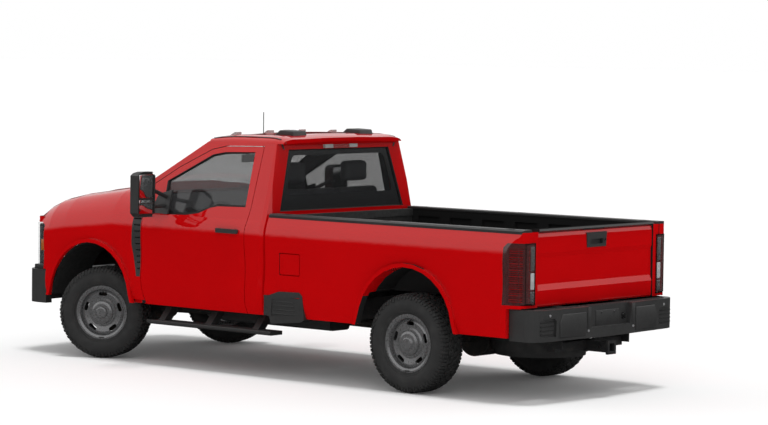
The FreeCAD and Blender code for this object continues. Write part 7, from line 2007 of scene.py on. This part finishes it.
@dataclass
class Cabin:
    """Door cards with armrests, and the vents and the screen in the dashboard.

    Attributes:
        card_ends: How deep the card starts and how far it stands out.
        fittings: Armrest, pocket and pull, each with depth, length, height, rounding and its steps.
        vent_probe: Step from a vent's end and height at which the dashboard's face is measured.
    """

    card_y: Span = (-1.20, -0.16)
    card_z: Span = (0.70, 1.27)
    card_x: float = 0.872
    card_ends: Span = (0.012, 0.006)
    fittings: tuple[tuple[float, Span, Span, float, int], ...] = (
        (0.060, (-0.98, -0.34), (1.010, 1.060), 0.016, 4), (0.038, (-1.10, -0.42), (0.730, 0.860), 0.012, 3),
        (0.022, (-1.02, -0.90), (1.135, 1.165), 0.006, 3))
    vent_ends: Spans = ((-0.70, -0.56), (-0.26, -0.14), (0.14, 0.26), (0.60, 0.72))
    vent_probe: Span = (0.05, 1.24)
    slat_count: int = 4
    slat_z: float = 1.205
    slat_pitch: float = 0.018
    slat_height: float = 0.007
    slat_proud: float = 0.006
    root: float = 0.004
    screen_half: float = 0.125
    screen_z: Span = (1.070, 1.180)
    screen_probe: float = 1.15
    screen_proud: float = 0.010

    def doors(self) -> None:
        """A moulded card, an armrest, a pocket and a pull on each door."""
        (front, rear), (low, high), (root, face) = self.card_y, self.card_z, self.card_ends
        for side in Side:
            piece = Piece(f"door_card_{side.ending}")
            piece.box(
                (self.card_x - root, front, low), (self.card_x + face, rear, high), bevel=0.008, segments=3)
            for depth, along, up, soft, steps in self.fittings:
                piece.box(
                    (self.card_x - depth, along[0], up[0]), (self.card_x, along[1], up[1]), soft, steps)
            piece.on_side(side)
            piece.finish(CABIN_PLASTIC, f"door_{side.ending}")

    def dash(self) -> None:
        """Four slatted air vents and the screen."""
        skin = Skin("dashboard")
        piece = Piece("dash_fittings")
        beside, height = self.vent_probe
        for start, end in self.vent_ends:
            rear = skin.from_rear(start + beside, height).y
            for row in range(self.slat_count):
                z = self.slat_z + row * self.slat_pitch
                piece.box(
                    (start, rear - self.root, z), (end, rear + self.slat_proud, z + self.slat_height),
                    bevel=0.002, segments=1)
        rear = skin.from_rear(0.0, self.screen_probe).y
        low, high = self.screen_z
        piece.box(
            (-self.screen_half, rear - self.root, low), (self.screen_half, rear + self.screen_proud, high),
            bevel=0.008, segments=3)
        piece.finish(GLOSS_BLACK)

    def build(self) -> None:
        """Make the cabin's pieces."""
        self.doors()
        self.dash()


@dataclass
class Studio:
    """A white floor, soft lamps and the camera at the photograph's place.

    Attributes:
        azimuth: The camera's bearing from the rear, in degrees.
        elevation: Its height angle.
        roll: Its turn about the line of sight.
        place: Where it stands.
        lens: Its focal length in millimetres.
        floor_mirrored: The floor as glossy paint mirrors it.
        floor_lift: Light that the floor gives off where it is seen.
        sky_light: Strength of the white round about.
        wall_light: Strength of the dark room's walls in a mirror.
        ceiling_rise: Heights between which the room turns into a white ceiling.
        lamps: Each lamp's name, bearing, height angle, spread and strength.
    """

    azimuth: float = 130.287
    elevation: float = 3.434
    roll: float = 0.752
    place: Point = (18.9875, 16.6399, 2.8544)
    lens: float = 138.33
    sensor: float = 36.0
    floor_size: float = 400.0
    floor_colour: Colour = (0.95, 0.95, 0.95)
    floor_mirrored: Colour = (0.012, 0.012, 0.012)
    floor_lift: float = 0.03
    sky_light: float = 0.48
    wall_light: float = 0.012
    ceiling_rise: Span = (0.05, 0.19)
    lamps: tuple[tuple[str, float, float, float, float], ...] = (
        ("top_lamp", 180.0, 82.0, 16.0, 1.45), ("near_lamp", 130.0, 24.0, 50.0, 0.42),
        ("far_lamp", 250.0, 30.0, 50.0, 0.30), ("rear_lamp", 20.0, 24.0, 50.0, 0.30))

    def camera(self) -> None:
        """Create the camera and make it the scene's."""
        bearing, height, roll = (math.radians(angle) for angle in (self.azimuth, self.elevation, self.roll))
        back = Vector((
            math.sin(bearing) * math.cos(height), -math.cos(bearing) * math.cos(height), math.sin(height)))
        right = Z_AXIS.cross(back).normalized()
        up = back.cross(right)
        turned = right * math.cos(roll) + up * math.sin(roll)
        raised = up * math.cos(roll) - right * math.sin(roll)
        data = bpy.data.cameras.new("photo_camera")
        data.lens = self.lens
        data.sensor_width = self.sensor
        data.clip_end = self.floor_size
        camera = bpy.data.objects.new("photo_camera", data)
        turn = Matrix((turned, raised, back)).transposed().to_4x4()
        camera.matrix_world = Matrix.Translation(self.place) @ turn
        bpy.context.scene.collection.objects.link(camera)
        bpy.context.scene.camera = camera

    def sun(self, name: str, bearing: float, height: float, spread: float, strength: float) -> None:
        """A soft lamp far away.

        Args:
            name: Its name.
            bearing: Its bearing from the rear, in degrees, counted as the camera's is.
            height: Its height angle.
            spread: How wide it looks, in degrees: the wider, the softer its shadow.
            strength: Its strength.
        """
        data = bpy.data.lights.new(name, "SUN")
        data.energy = strength
        data.angle = math.radians(spread)
        lamp = bpy.data.objects.new(name, data)
        bearing, height = math.radians(bearing), math.radians(height)
        towards = Vector((
            math.sin(bearing) * math.cos(height), -math.cos(bearing) * math.cos(height), math.sin(height)))
        lamp.matrix_world = towards.to_track_quat("Z", "Y").to_matrix().to_4x4()
        lamp.visible_glossy = False
        bpy.context.scene.collection.objects.link(lamp)

    def floor(self) -> None:
        """A white floor that keeps the shadow, and that glossy paint mirrors as a dark one."""
        bm = bmesh.new()
        bmesh.ops.create_grid(bm, x_segments=1, y_segments=1, size=self.floor_size / 2)
        mesh = bpy.data.meshes.new("studio_floor")
        bm.to_mesh(mesh)
        bm.free()
        floor = bpy.data.objects.new("studio_floor", mesh)
        bpy.context.scene.collection.objects.link(floor)
        graph = Graph("studio_floor")
        graph.fix({"Roughness": 0.9, "Specular IOR Level": 0.0, "Emission Color": (1.0, 1.0, 1.0, 1.0)})
        path = graph.nodes.new("ShaderNodeLightPath")
        mirrored = graph.blend(path.outputs["Is Glossy Ray"], self.floor_colour, self.floor_mirrored)
        graph.drive("Base Color", mirrored)
        seen = graph.math("MAXIMUM", path.outputs["Is Camera Ray"], path.outputs["Is Transmission Ray"])
        graph.drive("Emission Strength", graph.math("MULTIPLY", seen, self.floor_lift))
        mesh.materials.append(graph.material)

    def world(self) -> None:
        """White where it is seen, and for glossy paint a dark room under a wide white ceiling."""
        world = bpy.data.worlds.new("studio_world")
        bpy.context.scene.world = world
        world.use_nodes = True
        nodes, links = world.node_tree.nodes, world.node_tree.links
        shade = nodes["Background"]
        shade.inputs["Color"].default_value = (1.0, 1.0, 1.0, 1.0)
        way = nodes.new("ShaderNodeTexCoord")
        parts = nodes.new("ShaderNodeSeparateXYZ")
        links.new(way.outputs["Generated"], parts.inputs[0])
        ceiling = nodes.new("ShaderNodeMapRange")
        ceiling.interpolation_type = "SMOOTHSTEP"
        for socket, number in zip(ceiling.inputs[1:5], (*self.ceiling_rise, self.wall_light, 1.0)):
            socket.default_value = number
        links.new(parts.outputs["Z"], ceiling.inputs[0])
        path = nodes.new("ShaderNodeLightPath")
        seen = nodes.new("ShaderNodeMath")
        seen.operation = "MAXIMUM"
        links.new(path.outputs["Is Camera Ray"], seen.inputs[0])
        links.new(path.outputs["Is Transmission Ray"], seen.inputs[1])
        plain = nodes.new("ShaderNodeMapRange")
        plain.inputs[3].default_value = self.sky_light
        plain.inputs[4].default_value = 1.0
        links.new(seen.outputs[0], plain.inputs[0])
        strength = nodes.new("ShaderNodeMix")
        links.new(path.outputs["Is Glossy Ray"], strength.inputs[0])
        links.new(plain.outputs[0], strength.inputs[2])
        links.new(ceiling.outputs[0], strength.inputs[3])
        links.new(strength.outputs[0], shade.inputs["Strength"])

    def build(self) -> None:
        """Set the stage."""
        bpy.context.scene.view_settings.view_transform = "Standard"
        self.camera()
        self.floor()
        self.world()
        for lamp in self.lamps:
            self.sun(*lamp)


WHEEL_TURNS = {"front_left": 24.0, "front_right": 204.0, "rear_left": 0.0, "rear_right": 180.0}


def main() -> None:
    """Build every sub-assembly in order."""
    logging.basicConfig(level=logging.INFO, format="%(name)s %(message)s")
    CarriedNodes(NODE_FINISHES).build()
    for ending, turn in WHEEL_TURNS.items():
        TreadTyre(ending, turn).build()
        WheelDetail(ending, turn).build()
    Bench().build()
    Cabin().build()
    Glazing().build()
    RoofTrim().build()
    TowMirrorPanes().build()
    FenderVentSlats().build()
    SideStepTrim().build()
    HeadlampDetail().build()
    FrontBumperTrim().build()
    TailLampDetail().build()
    TailgateTrim().build()
    RearBumperTrim().build()
    BedTrim().build()
    Studio().build()


if __name__ == "__main__":
    main()
